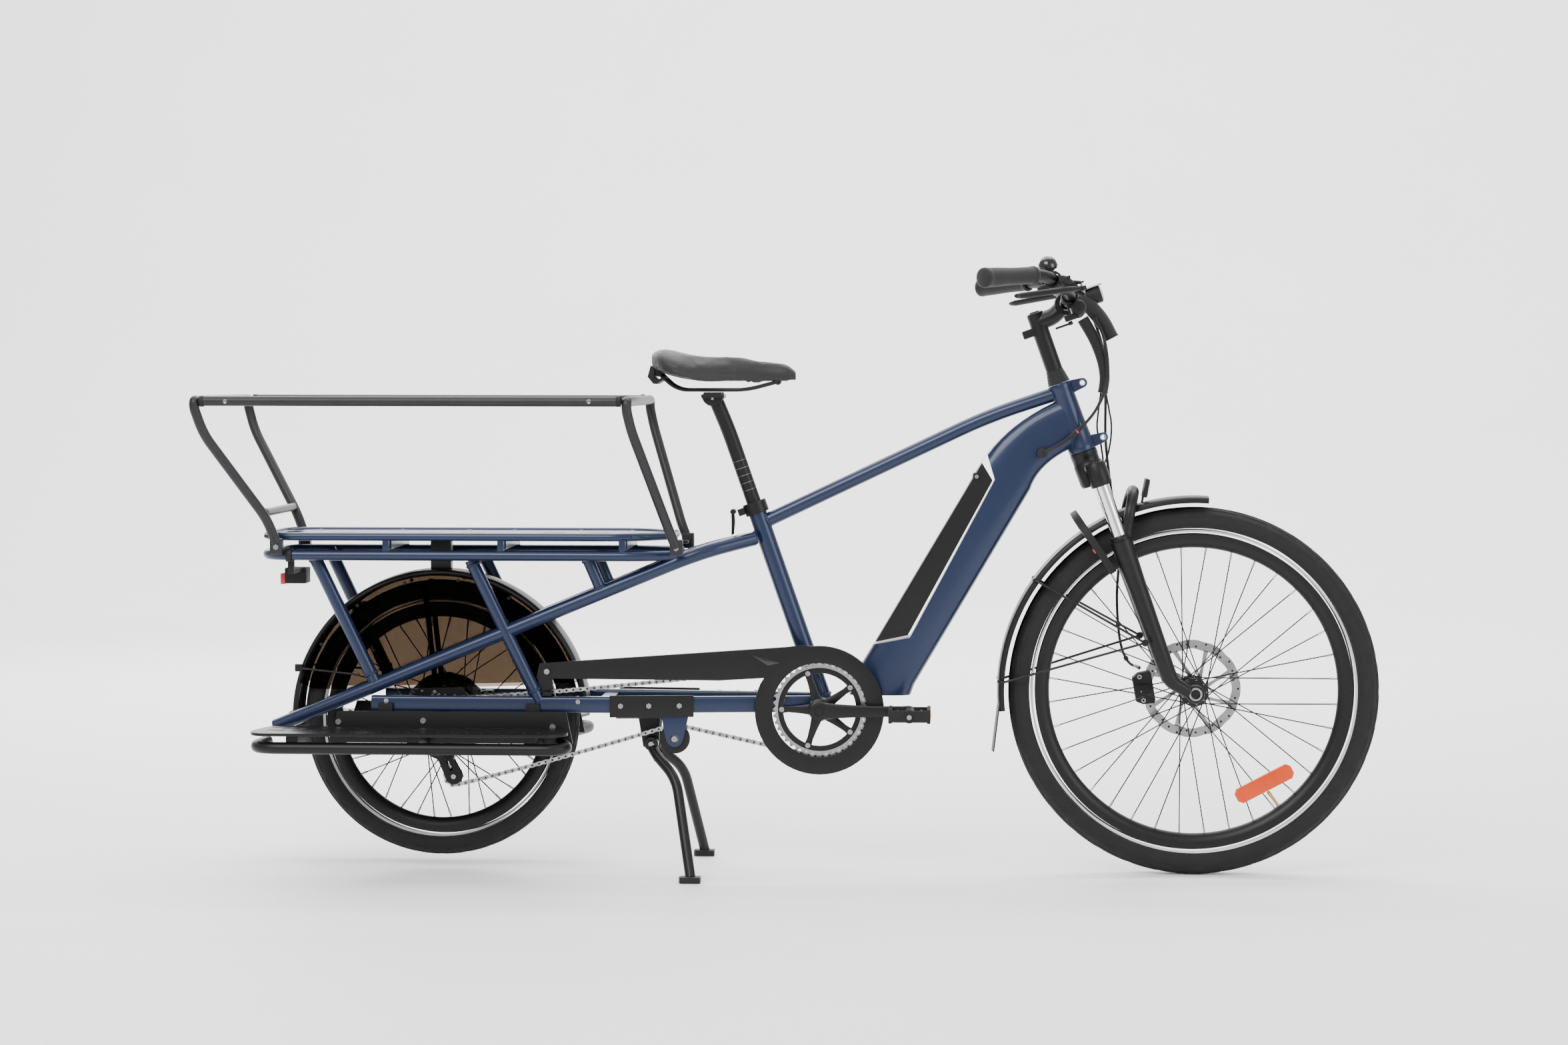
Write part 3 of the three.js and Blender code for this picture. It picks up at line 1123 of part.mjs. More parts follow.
const headlightAt = local(1186, 0, 1052);
const lampBack = headlightAt.clone().add(vec(-18, 0, 0));
const lampFront = headlightAt.clone().add(vec(28, 0, 0));
add(steering, "headlight", bar(lampBack, lampFront, 13, 17, 16), MATTE_BLACK);

// Brake levers, each on the pin of its master's clevis.
function brakeLever(side) {
  const pivot = leverPin(side);
  const tip = local(1046, side * 289, 1046);
  const elbow = pivot.clone().lerp(tip, 0.22).add(vec(6, 0, 0));
  const blade = bentTube([pivot, elbow, tip], 4.4, 30, 8, 3);
  const eye = disc2(pivot.x, pivot.y, 7, pivot.z - 4, pivot.z + 4, 14);
  return cut(join(blade, eye), disc2(pivot.x, pivot.y, 3.8, pivot.z - 20, pivot.z + 20, 12));
}
const leverRight = new THREE.Group();
const leverLeft = new THREE.Group();
steering.add(leverRight, leverLeft);
add(leverRight, "brake_lever_right", brakeLever(-1), SATIN_BLACK);
add(leverLeft, "brake_lever_left", brakeLever(1), SATIN_BLACK);

// ---- fork lowers and what rides on them, sliding on the stanchions ----

const lowers = new THREE.Group();
steering.add(lowers);
const AXLE = local(WHEELBASE, 0, FRONT_TYRE_R);
const FRONT_FENDER_R = 357;
function forkLowers() {
  const leg = (s) => {
    const y = s * STANCHION_Y;
    const shaft = bar(vec(STANCHION_X, y, -440), vec(STANCHION_X, y, LOWERS_TOP), 15, 20, 18);
    const foot = join(
      bar(vec(STANCHION_X, y, -440), vec(AXLE.x - 10, s * 59, AXLE.z + 4), 15, 12, 12),
      bar(vec(AXLE.x, s * 52, AXLE.z), vec(AXLE.x, s * 66, AXLE.z), 17, 17, 16),
    );
    return join(shaft, foot);
  };
  const archPath = [vec(STANCHION_X + 6, -STANCHION_Y, LOWERS_TOP - 12), vec(46, -STANCHION_Y + 2,
    LOWERS_TOP + 42),
    vec(62, -34, LOWERS_TOP + 66), vec(62, 34, LOWERS_TOP + 66), vec(46, STANCHION_Y - 2, LOWERS_TOP + 42),
    vec(STANCHION_X + 6, STANCHION_Y, LOWERS_TOP - 12)];
  const arch = bentTube(archPath, 10, 22, 8, 2);
  const bores = [-1, 1].map((s) => disc2(STANCHION_X, s * STANCHION_Y, STANCHION_R + 0.35, -430,
    LOWERS_TOP + 60, 18));
  const axleHoles = bar(vec(AXLE.x, -80, AXLE.z), vec(AXLE.x, 80, AXLE.z), 8.4, 8.4, 16);
  return cut(join(leg(-1), leg(1), arch), bores, axleHoles);
}
add(lowers, "fork_lowers", forkLowers(), SATIN_BLACK);

// Pieces that ride on the lowers but are placed round the front axle, in the bicycle's own frame.
const axlePieces = new THREE.Group();
bike.add(axlePieces);
function frontFender() {
  const cx = WHEELBASE;
  const cz = FRONT_TYRE_R;
  const shell = fenderShell(cx, cz, FRONT_FENDER_R, 36, 14, 86, 186, 18);
  const flap = plate([p2(cx - 357, cz - 20), p2(cx - 352, cz - 22), p2(cx - 362, cz - 112), p2(cx - 367,
    cz - 110)], -35, 35);
  const stay = (s, a, reach) => {
    const t = THREE.MathUtils.degToRad(a);
    return bar(vec(cx + Math.cos(t) * reach, s * 34.6, cz + Math.sin(t) * reach), vec(1288, s * 81, 430),
      2.4, 2.4, 8);
  };
  const boss = (s) => bar(vec(1288, s * 84, 430), vec(1288, s * 77, 430), 6, 6, 10);
  const stays = [-1, 1].flatMap((s) => [stay(s, 145, 352), stay(s, 177, 352), boss(s)]);
  return join(shell, flap, stays);
}
add(axlePieces, "front_fender", frontFender(), SATIN_BLACK);

// Front wheel
const frontWheel = placed(WHEELBASE, FRONT_TYRE_R);
bike.add(frontWheel);
const FRONT_ROTOR_Y = 38;
add(frontWheel, "front_tyre", tyre(FRONT_TYRE_R, FRONT_RIM_R, FRONT_TYRE_W), RUBBER);
const frontHub = wheel(FRONT_RIM_R, FRONT_RIM_INNER_R, 15, 24, 30, 18, SPOKES);
add(frontWheel, "front_wheel", join(frontHub, disc(0, 0, 7, -64, 64, 14)), MATTE_BLACK);
function frontRotor() {
  const band = cut(disc(0, 0, 90, FRONT_ROTOR_Y - 1, FRONT_ROTOR_Y + 1, 36), disc(0, 0, 72, 20, 60, 24));
  const arms = [0, 45, 90, 135].map((a) => turned(box(-75, 75, FRONT_ROTOR_Y - 1, FRONT_ROTOR_Y + 1, -4,
    4), 0, a, 0));
  return cut(join(band, arms, disc(0, 0, 24, FRONT_ROTOR_Y - 2, FRONT_ROTOR_Y + 2, 20)), disc(0, 0, 18.4,
    20, 60, 20));
}
add(frontWheel, "front_rotor", frontRotor(), STEEL);

// Front brake caliper behind the left leg
const frontCaliper = moved(turned(caliper(0, 30, 36), 0, -100, 0), WHEELBASE - 70, FRONT_ROTOR_Y,
  FRONT_TYRE_R + 4);
add(axlePieces, "front_caliper", frontCaliper, MATTE_BLACK);

// Ring lock: an open horseshoe round the front tyre and fender, in a plane through the front axle.
const LOCK_ANGLE = THREE.MathUtils.degToRad(124);
const LOCK_REACH = 330;
const LOCK_OUTER = 64;
const LOCK_INNER = 50.5;
const LOCK_LEG = 66;
function ringLock() {
  const outline = new THREE.Shape();
  outline.absarc(0, 0, LOCK_OUTER, 0, Math.PI, false);
  outline.lineTo(-LOCK_OUTER, -LOCK_LEG);
  outline.lineTo(-LOCK_INNER, -LOCK_LEG);
  outline.lineTo(-LOCK_INNER, 0);
  outline.absarc(0, 0, LOCK_INNER, Math.PI, 0, true);
  outline.lineTo(LOCK_INNER, -LOCK_LEG);
  outline.lineTo(LOCK_OUTER, -LOCK_LEG);
  const g = new THREE.ExtrudeGeometry(outline, { depth: 14, bevelEnabled: false, curveSegments: 8 });
  g.translate(0, 0, -7);
  const radial = vec(Math.cos(LOCK_ANGLE), 0, Math.sin(LOCK_ANGLE));
  const across = vec(0, 1, 0);
  const basis = new THREE.Matrix4().makeBasis(across, radial, across.clone().cross(radial));
  basis.setPosition(radial.clone().multiplyScalar(LOCK_REACH).add(vec(WHEELBASE, 0, FRONT_TYRE_R)));
  return solid(g.applyMatrix4(basis));
}
add(axlePieces, "ring_lock", ringLock(), MATTE_BLACK);

// Striker of the bell, trigger of the shifter and lever of the seat clamp
const striker = new THREE.Group();
const trigger = new THREE.Group();
steering.add(striker, trigger);
const strikerAt = vec(bellAt.x - BELL_BACK, bellAt.y + 22, bellAt.z + BELL_LIFT + 24);
const strikerShape = join(disc2(0, 0, 3, -5, 8, 10), box(-22, 0, -2, 2, 3, 7));
add(striker, "bell_striker", moved(strikerShape, strikerAt.x, strikerAt.y, strikerAt.z), GLOSS_BLACK);
const triggerAt = shifterAt.clone().add(vec(-16, 0, -26));
const triggerShape = join(disc2(3, 0, 4, -22, -15, 12), box(-26, 4, -6, 6, -21, -17));
add(trigger, "shift_lever", moved(triggerShape, triggerAt.x, triggerAt.y, triggerAt.z), MATTE_BLACK);
const clampLeverShape = join(disc(-15, 0, 5, -14, 14, 12), box(-20, -14, 9, 15, -44, 4));
add(clampLever, "clamp_lever", moved(clampLeverShape, clampPin.x, 0, clampPin.z), SATIN_BLACK);

// ---- cables that the bicycle holds from end to end ----

function cable(points, r, steps) {
  return sweep(new THREE.CatmullRomCurve3(points), r, steps, 6);
}
const FRAME_CABLE = [vec(1196, -22, 1016), vec(1214, -24, 975), vec(1220, -28, 900), vec(1196, -36, 842),
  vec(1150, -40, 796),
  vec(1108, -37, 772)];
const BRAKE_HOSE = [vec(1196, 22, 1016), vec(1214, 26, 960), vec(1220, 34, 880), vec(1222, 56, 790),
  vec(1234, 88, 700),
  vec(1250, 93, 600), vec(1246, 94, 500), vec(1252, 92, 420), vec(1266, 76, 382), vec(1286, 52, 372)];
add(FRAME_BODY, "frame_cables", cable(FRAME_CABLE, 4, 16), RUBBER);
add(axlePieces, "front_brake_hose", cable(BRAKE_HOSE, 2.6, 26), RUBBER);

// The origin stands on the ground under the middle of the bicycle's length.
const REAR_END = -416.8;
const FRONT_END = WHEELBASE + FRONT_TYRE_R;
const part = new THREE.Group();
bike.position.set(-(REAR_END + FRONT_END) / 2, 0, 0);
part.add(bike);

export default part;
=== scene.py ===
"""A long-tail cargo bicycle on its kickstand.

Places are worked out in millimetres from the rear axle, as in the CAD model, and turned into the frame's
metres by place(). +X is forward, +Y the bicycle's left, +Z up."""
import math

import bmesh
import bpy
from mathutils import Matrix, Vector


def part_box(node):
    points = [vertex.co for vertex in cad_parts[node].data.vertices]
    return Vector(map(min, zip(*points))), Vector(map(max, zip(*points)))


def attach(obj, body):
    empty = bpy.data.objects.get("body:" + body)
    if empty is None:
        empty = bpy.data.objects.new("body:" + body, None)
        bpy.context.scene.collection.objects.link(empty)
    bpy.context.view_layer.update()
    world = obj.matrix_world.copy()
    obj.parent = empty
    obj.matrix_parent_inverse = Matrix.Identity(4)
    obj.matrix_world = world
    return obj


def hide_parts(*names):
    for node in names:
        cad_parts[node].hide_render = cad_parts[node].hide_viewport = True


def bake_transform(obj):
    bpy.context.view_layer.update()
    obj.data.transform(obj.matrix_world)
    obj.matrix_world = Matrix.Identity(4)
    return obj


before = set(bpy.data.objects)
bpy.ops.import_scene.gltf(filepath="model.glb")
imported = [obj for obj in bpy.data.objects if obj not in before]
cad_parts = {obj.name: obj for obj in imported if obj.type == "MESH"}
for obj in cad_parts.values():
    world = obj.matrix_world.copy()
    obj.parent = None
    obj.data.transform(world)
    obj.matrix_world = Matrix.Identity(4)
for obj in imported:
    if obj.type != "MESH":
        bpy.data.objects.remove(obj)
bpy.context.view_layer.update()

# Driving dimensions, in millimetres from the rear axle
MID_X = 649.6
WHEELBASE = 1380.0
FRONT_R = 336.0
REAR_R = 255.0
REAR_Z = 279.0
HEAD = Vector((1178.0, 0.0, 772.6))
LEAN = math.radians(19.5)
HEAD_LENGTH = 130.0
BB = Vector((701.0, 0.0, 303.0))
CRANK = 165.0
STAY_Y = 69.0
BEAM_Z = 311.0
RACK_HALF = 100.0
RACK_REAR = -312.0
LOOP_Z = 584.0
DECK_Z = 618.0
RAIL_Y = 205.0
RAIL_Z = 864.0
BOARD_Z = 268.0
CHAIN_Y = -52.0
SEAT_TOP = Vector((583.6, 0.0, 661.7))
SEAT_FOOT = Vector((705.0, 0.0, 315.0))
SEAT_DIR = (SEAT_TOP - SEAT_FOOT).normalized()


def V(x, y, z):
    return Vector((x, y, z))


AHEAD = V(1, 0, 0)
ACROSS = V(0, 1, 0)
UP = V(0, 0, 1)


def place(p):
    """A design point in millimetres, in the frame's metres."""
    return Vector(((p[0] - MID_X) / 1000, p[1] / 1000, p[2] / 1000))


def steer(x, y, z):
    """A point given along the steering axis (z) and ahead of it (x), as a design point."""
    c, s = math.cos(LEAN), math.sin(LEAN)
    return HEAD + V(x * c - z * s, y, x * s + z * c)


# ---- materials ----

SHINE = 0.3
COAT_ROUGH = 0.12
GRAIN_DEPTH = 0.0004

def node(tree, kind, **inputs):
    n = tree.nodes.new(kind)
    for key, value in inputs.items():
        n.inputs[key.replace("_", " ")].default_value = value
    return n


def material(name, colour, rough, metal=0.0, grain=(900, 0.04), vary=0.12, coat=0.0, mottle=30,
             scratch=0.06, transmission=0.0, sheen=0.0, ior=1.5):
    """A finish whose colour, roughness and fine grain all vary a little over the surface."""
    m = bpy.data.materials.new(name)
    m.use_nodes = True
    t = m.node_tree
    shader = t.nodes["Principled BSDF"]
    link = t.links.new
    where = t.nodes.new("ShaderNodeTexCoord").outputs["Object"]
    broad = node(t, "ShaderNodeTexNoise", Scale=mottle, Detail=5.0, Roughness=0.6)
    fine = node(t, "ShaderNodeTexNoise", Scale=float(grain[0]), Detail=3.0, Roughness=0.6)
    link(where, broad.inputs["Vector"])
    link(where, fine.inputs["Vector"])
    ramp = t.nodes.new("ShaderNodeValToRGB")
    ramp.color_ramp.elements[0].position = 0.25
    ramp.color_ramp.elements[1].position = 0.8
    ramp.color_ramp.elements[0].color = (*[c * (1 - vary) for c in colour], 1)
    ramp.color_ramp.elements[1].color = (*[min(1, c * (1 + vary)) for c in colour], 1)
    link(broad.outputs["Fac"], ramp.inputs["Fac"])
    link(ramp.outputs["Color"], shader.inputs["Base Color"])
    spread = t.nodes.new("ShaderNodeMapRange")
    spread.inputs["To Min"].default_value = max(0.02, rough - scratch)
    spread.inputs["To Max"].default_value = min(1.0, rough + scratch)
    link(fine.outputs["Fac"], spread.inputs["Value"])
    link(spread.outputs["Result"], shader.inputs["Roughness"])
    bump = node(t, "ShaderNodeBump", Strength=grain[1] * 4, Distance=GRAIN_DEPTH)
    link(fine.outputs["Fac"], bump.inputs["Height"])
    link(bump.outputs["Normal"], shader.inputs["Normal"])
    shader.inputs["Metallic"].default_value = metal
    shader.inputs["Coat Weight"].default_value = coat
    shader.inputs["Coat Roughness"].default_value = COAT_ROUGH
    shader.inputs["Transmission Weight"].default_value = transmission
    shader.inputs["Sheen Weight"].default_value = sheen
    shader.inputs["IOR"].default_value = ior
    shader.inputs["Specular IOR Level"].default_value = SHINE
    return m


def tune_blue(m):
    """Fine bright flakes under the clear coat of the frame's paint."""
    t = m.node_tree
    flakes = node(t, "ShaderNodeTexVoronoi", Scale=2600.0)
    coord = next(n for n in t.nodes if n.type == "TEX_COORD")
    t.links.new(coord.outputs["Object"], flakes.inputs["Vector"])
    ramp = next(n for n in t.nodes if n.type == "VALTORGB")
    mix = t.nodes.new("ShaderNodeMix")
    mix.data_type = "RGBA"
    mix.blend_type = "ADD"
    sparkle = t.nodes.new("ShaderNodeMapRange")
    sparkle.inputs["From Min"].default_value = 0.72
    sparkle.inputs["To Max"].default_value = 0.35
    t.links.new(flakes.outputs["Color"], sparkle.inputs["Value"])
    t.links.new(sparkle.outputs["Result"], mix.inputs["Factor"])
    t.links.new(ramp.outputs["Color"], mix.inputs["A"])
    mix.inputs["B"].default_value = (0.015, 0.028, 0.06, 1)
    t.links.new(mix.outputs["Result"], t.nodes["Principled BSDF"].inputs["Base Color"])


BLUE = material("frame_blue", (0.00651, 0.01426, 0.04526), 0.36, 0.3, grain=(1400, 0.012), vary=0.05,
                coat=0.3, mottle=6)
tune_blue(BLUE)
SATIN = material("satin_black", (0.0027, 0.0027, 0.002925), 0.4, 0.1, grain=(1500, 0.05))
RAIL = material("rail_grey", (0.024, 0.024, 0.026), 0.42, 0.45, grain=(1600, 0.06))
MATTE = material("matte_black", (0.00315, 0.00315, 0.003285), 0.6, 0.0, grain=(1100, 0.12))
GLOSS = material("gloss_black", (0.004, 0.004, 0.0045), 0.16, 0.0, grain=(600, 0.01), coat=0.6,
                 scratch=0.04)
RUBBER = material("rubber", (0.0056, 0.0056, 0.00595), 0.7, 0.0, grain=(1300, 0.15), sheen=0.15)
TYRE = material("tyre", (0.007, 0.007, 0.0073), 0.78, 0.0, grain=(800, 0.2), vary=0.25, scratch=0.1)
CHROME = material("chrome", (0.82, 0.83, 0.85), 0.07, 1.0, grain=(300, 0.004), vary=0.03, scratch=0.03)
STEEL = material("steel", (0.3, 0.3, 0.31), 0.3, 1.0, grain=(1200, 0.06), vary=0.15)
ALLOY = material("aluminium", (0.5, 0.5, 0.51), 0.34, 0.95, grain=(1200, 0.05))
VINYL = material("vinyl", (0.011, 0.01125, 0.012), 0.46, 0.0, grain=(650, 0.22), sheen=0.1)
SMOKE = material("smoke", (0.2, 0.162, 0.128), 0.06, 0.0, grain=(60, 0.002), vary=0.04, scratch=0.02,
                 transmission=1.0, ior=1.04)
REFLECT = material("reflective", (0.62, 0.63, 0.65), 0.34, 0.3, grain=(2400, 0.08))
AMBER = material("amber", (0.6, 0.05, 0.0), 0.2, 0.0, grain=(900, 0.2), coat=0.15, vary=0.12)
RED = material("red_lens", (0.5, 0.012, 0.016), 0.15, 0.0, grain=(700, 0.2), coat=0.6)
CLEAR = material("clear", (0.8, 0.83, 0.86), 0.08, 0.0, grain=(500, 0.1), transmission=0.5, coat=0.4)
BRASS = material("brass", (0.5, 0.3, 0.12), 0.3, 0.9, grain=(900, 0.05))
SPOKE = material("spoke_black", (0.008, 0.008, 0.0085), 0.35, 0.4, grain=(1200, 0.03))


# ---- mesh building ----

def new_object(name, data):
    """An object of the scene that shows the given mesh, light or camera."""
    o = bpy.data.objects.new(name, data)
    bpy.context.scene.collection.objects.link(o)
    return o


def placed_mesh(bm, name):
    """Mesh in the frame's metres from a bmesh in design millimetres, which is used up."""
    bmesh.ops.recalc_face_normals(bm, faces=bm.faces)
    for v in bm.verts:
        v.co = place(v.co)
    mesh = bpy.data.meshes.new(name)
    bm.to_mesh(mesh)
    bm.free()
    return mesh


def smooth_faces(mesh, sharp=None):
    """Smooth shading, with edges past an angle in degrees kept sharp."""
    mesh.polygons.foreach_set("use_smooth", [True] * len(mesh.polygons))
    if sharp is not None:
        mesh.set_sharp_from_angle(angle=math.radians(sharp))


def span(side, near, far):
    """From near to far on one side of the middle, the lower end first."""
    return sorted((side * near, side * far))


def squarish(value, power):
    """A cosine or sine pushed out towards a square section."""
    return math.copysign(abs(value) ** power, value)


class Build:
    """Collects shapes, each with its material, into one object."""

    def __init__(self):
        self.bm = bmesh.new()
        self.mats = []

    def index(self, mat):
        if mat not in self.mats:
            self.mats.append(mat)
        return self.mats.index(mat)

    def take(self, other, mat):
        """Copy the faces of another bmesh in."""
        i = self.index(mat)
        made = {v: self.bm.verts.new(v.co) for v in other.verts}
        for f in other.faces:
            g = self.bm.faces.new([made[v] for v in f.verts])
            g.material_index = i
        other.free()
        return self

    def tube(self, points, r, mat, bend=0.0, sides=20, steps=8):
        """Round tube through points, its corners rounded by bend; r is a number or a function of 0 to 1."""
        return self.take(skin(rounded(points, bend, steps), r, sides), mat)

    def rod(self, a, b, r, mat, r_end=None, sides=20, chamfer=0.0):
        r_end = r if r_end is None else r_end
        if chamfer:
            d = (b - a).normalized() * chamfer
            line = [a, a + d, b - d, b]
            radii = [r - chamfer, r, r_end, r_end - chamfer]
        else:
            line = [a, b]
            radii = [r, r_end]
        return self.take(skin([(p, b - a) for p in line], radii, sides), mat)

    def slab(self, outline, low, high, mat, bevel=0.8, axis="y", holes=()):
        """Plate: an outline with a thickness; its points are (x, z) for axis y, and (x, y) for axis z."""
        return self.take(plate(outline, low, high, bevel, axis, holes), mat)

    def block(self, x0, x1, y0, y1, z0, z1, mat, bevel=1.0):
        return self.slab([(x0, z0), (x1, z0), (x1, z1), (x0, z1)], y0, y1, mat, bevel)

    def lathe(self, profile, at, axis, mat, segments=48):
        """Turned shape: profile is (radius, distance along axis)."""
        return self.take(turned(profile, at, axis, segments), mat)

    def moved(self, matrix):
        self.bm.transform(matrix)
        return self

    def make(self, name, body, slot, replaces=(), sharp=35):
        mesh = placed_mesh(self.bm, name)
        for m in self.mats:
            mesh.materials.append(m)
        smooth_faces(mesh, sharp)
        o = new_object(name, mesh)
        if body:
            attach(o, body)
        if replaces:
            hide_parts(*replaces)
        return o


def rounded(points, bend, steps):
    """(point, direction) stations along straight runs and quadratic corners."""
    pts = [Vector(p) for p in points]
    n = len(pts)
    out = []
    for i in range(n):
        p = pts[i]
        if i in (0, n - 1):
            out.append((p, pts[1] - p if i == 0 else p - pts[-2]))
            continue
        back = pts[i - 1] - p
        ahead = pts[i + 1] - p
        room = min(bend, back.length * 0.48, ahead.length * 0.48)
        a = p + back.normalized() * room
        b = p + ahead.normalized() * room
        if bend <= 0:
            out.append((p, ahead.normalized() - back.normalized()))
            continue
        for k in range(steps + 1):
            t = k / steps
            at = a * (1 - t) ** 2 + p * (2 * t * (1 - t)) + b * t * t
            out.append((at, (p - a) * (2 * (1 - t)) + (b - p) * (2 * t)))
    return out


def skin(line, r, sides):
    """Surface of round sections along stations, carried without twist."""
    bm = bmesh.new()
    first = line[0][1].normalized()
    side = UP if abs(first.y) > 0.9 else ACROSS
    side = (side - first * side.dot(first)).normalized()
    rings = []
    count = len(line)
    for i, (at, along) in enumerate(line):
        t = along.normalized()
        side = (side - t * side.dot(t)).normalized()
        up = t.cross(side)
        if callable(r):
            radius = r(i / max(1, count - 1))
        else:
            radius = r[i] if isinstance(r, (list, tuple)) else r
        ring = []
        for k in range(sides):
            a = math.tau * k / sides
            ring.append(bm.verts.new(at + side * (math.cos(a) * radius) + up * (math.sin(a) * radius)))
        rings.append(ring)
    for lo, hi in zip(rings, rings[1:]):
        for k in range(sides):
            bm.faces.new((lo[k], lo[(k + 1) % sides], hi[(k + 1) % sides], hi[k]))
    bm.faces.new(rings[0][::-1])
    bm.faces.new(rings[-1])
    return bm


def plate(outline, low, high, bevel, axis, holes):
    """Flat plate with holes and bevelled edges."""
    bm = bmesh.new()

    def point(p, h):
        return V(p[0], h, p[1]) if axis == "y" else V(p[0], p[1], h)

    loops = [outline, *holes]
    edges = []
    for loop in loops:
        ring = [bm.verts.new(point(p, low)) for p in loop]
        edges += [bm.edges.new((ring[i], ring[(i + 1) % len(ring)])) for i in range(len(ring))]
    bmesh.ops.triangle_fill(bm, use_beauty=True, edges=edges)
    faces = list(bm.faces)
    grown = bmesh.ops.extrude_face_region(bm, geom=faces)
    shift = point((0, 0), high - low)
    bmesh.ops.translate(bm, vec=shift, verts=[g for g in grown["geom"]
                                              if isinstance(g, bmesh.types.BMVert)])
    bmesh.ops.recalc_face_normals(bm, faces=bm.faces)
    if bevel:
        sharp = [e for e in bm.edges if len(e.link_faces) == 2 and e.calc_face_angle(0) > 1.0]
        bmesh.ops.bevel(bm, geom=sharp, offset=bevel, segments=2, profile=0.7, affect="EDGES",
                        clamp_overlap=True)
    return bm


def turned(profile, at, axis, segments):
    """Profile of (radius, distance) points turned round an axis."""
    bm = bmesh.new()
    axis = Vector(axis).normalized()
    side = UP if abs(axis.y) > 0.9 else ACROSS
    side = (side - axis * side.dot(axis)).normalized()
    up = axis.cross(side)
    rings = []
    for radius, along in profile:
        if radius < 1e-6:
            rings.append([bm.verts.new(at + axis * along)])
            continue
        ring = []
        for k in range(segments):
            a = math.tau * k / segments
            ring.append(bm.verts.new(at + axis * along + (side * math.cos(a) + up * math.sin(a)) * radius))
        rings.append(ring)
    for lo, hi in zip(rings, rings[1:]):
        for k in range(segments):
            m = (k + 1) % segments
            if len(lo) == 1 and len(hi) == 1:
                continue
            if len(lo) == 1:
                bm.faces.new((lo[0], hi[m], hi[k]))
            elif len(hi) == 1:
                bm.faces.new((lo[k], lo[m], hi[0]))
            else:
                bm.faces.new((lo[k], lo[m], hi[m], hi[k]))
    return bm


def arc(cx, cz, r, start, end, n):
    """Points of an arc, in degrees from +X towards +Z."""
    out = []
    for i in range(n + 1):
        a = math.radians(start + (end - start) * i / n)
        out.append((cx + r * math.cos(a), cz + r * math.sin(a)))
    return out


def weld(build, at, axis, r, mat, bead=1.7, wave=26):
    """Rippled weld bead round a tube's end: a thin ring whose thickness beats along its length."""
    bm = bmesh.new()
    axis = axis.normalized()
    side = UP if abs(axis.y) > 0.9 else ACROSS
    side = (side - axis * side.dot(axis)).normalized()
    up = axis.cross(side)
    count = wave * 3
    rings = []
    for k in range(count):
        a = math.tau * k / count
        out = side * math.cos(a) + up * math.sin(a)
        swell = bead * (1 + 0.16 * math.cos(a * wave))
        ring = []
        for j in range(8):
            b = math.tau * j / 8
            ring.append(bm.verts.new(at + out * (r + math.cos(b) * swell)
                                     + axis * (math.sin(b) * swell * 1.4)))
        rings.append(ring)
    for i in range(count):
        lo, hi = rings[i], rings[(i + 1) % count]
        for j in range(8):
            m = (j + 1) % 8
            bm.faces.new((lo[j], hi[j], hi[m], lo[m]))
    build.take(bm, mat)


# ---- camera, lights and floor ----

def studio():
    cam_data = bpy.data.cameras.new("camera")
    cam_data.lens = 69.08
    cam_data.sensor_width = 36.0
    cam = new_object("camera", cam_data)
    cam.location = (0.3044, -5.5, 0.914)
    aim = Vector((-0.0166, 0.0, 0.641)) - cam.location
    cam.rotation_euler = aim.to_track_quat("-Z", "Y").to_euler()
    bpy.context.scene.camera = cam

    def area(name, at, target, size, power, colour=(1, 1, 1)):
        data = bpy.data.lights.new(name, "AREA")
        data.shape = "RECTANGLE"
        data.size, data.size_y = size
        data.energy = power
        data.color = colour
        o = new_object(name, data)
        o.location = at
        o.rotation_euler = (Vector(target) - Vector(at)).to_track_quat("-Z", "Y").to_euler()

    area("key", (-1.4, -3.6, 3.6), (0, 0, 0.5), (3.2, 2.2), 230, (1.0, 0.99, 0.975))
    area("fill", (3.4, -2.6, 1.8), (0, 0, 0.6), (2.4, 2.4), 80, (0.97, 0.985, 1.0))
    area("top", (0.0, 0.6, 4.2), (0, 0, 0.3), (4.0, 2.6), 120)
    area("back", (-1.8, 3.8, 2.6), (0, 0, 0.6), (3.0, 2.0), 110)
    area("wash", (0.0, 3.4, 6.5), (0.0, 8.5, 1.0), (12.0, 2.0), 1500)

    mesh = bpy.data.meshes.new("floor")
    bm = bmesh.new()
    reach, rise, bend = 10.0, 9.0, 5.0
    rows = [(-reach, 0.0), (reach - bend, 0.0)]
    rows += [(reach - bend + bend * math.sin(a), bend - bend * math.cos(a))
             for a in [math.pi / 2 * k / 12 for k in range(1, 13)]]
    rows.append((reach, rise))
    lines = [[bm.verts.new((x, y, z)) for y, z in rows] for x in (-12.0, 12.0)]
    for k in range(len(rows) - 1):
        bm.faces.new((lines[0][k], lines[1][k], lines[1][k + 1], lines[0][k + 1])).smooth = True
    bm.to_mesh(mesh)
    bm.free()
    floor = new_object("floor", mesh)
    mesh.materials.append(material("floor_pale", (0.88, 0.88, 0.878), 0.6, grain=(60, 0.02), vary=0.02,
                                   mottle=1.5))
    world = bpy.data.worlds.new("studio")
    world.use_nodes = True
    world.node_tree.nodes["Background"].inputs["Color"].default_value = (0.95, 0.955, 0.96, 1)
    world.node_tree.nodes["Background"].inputs["Strength"].default_value = 0.95
    bpy.context.scene.world = world


studio()


# ---- wheels ----

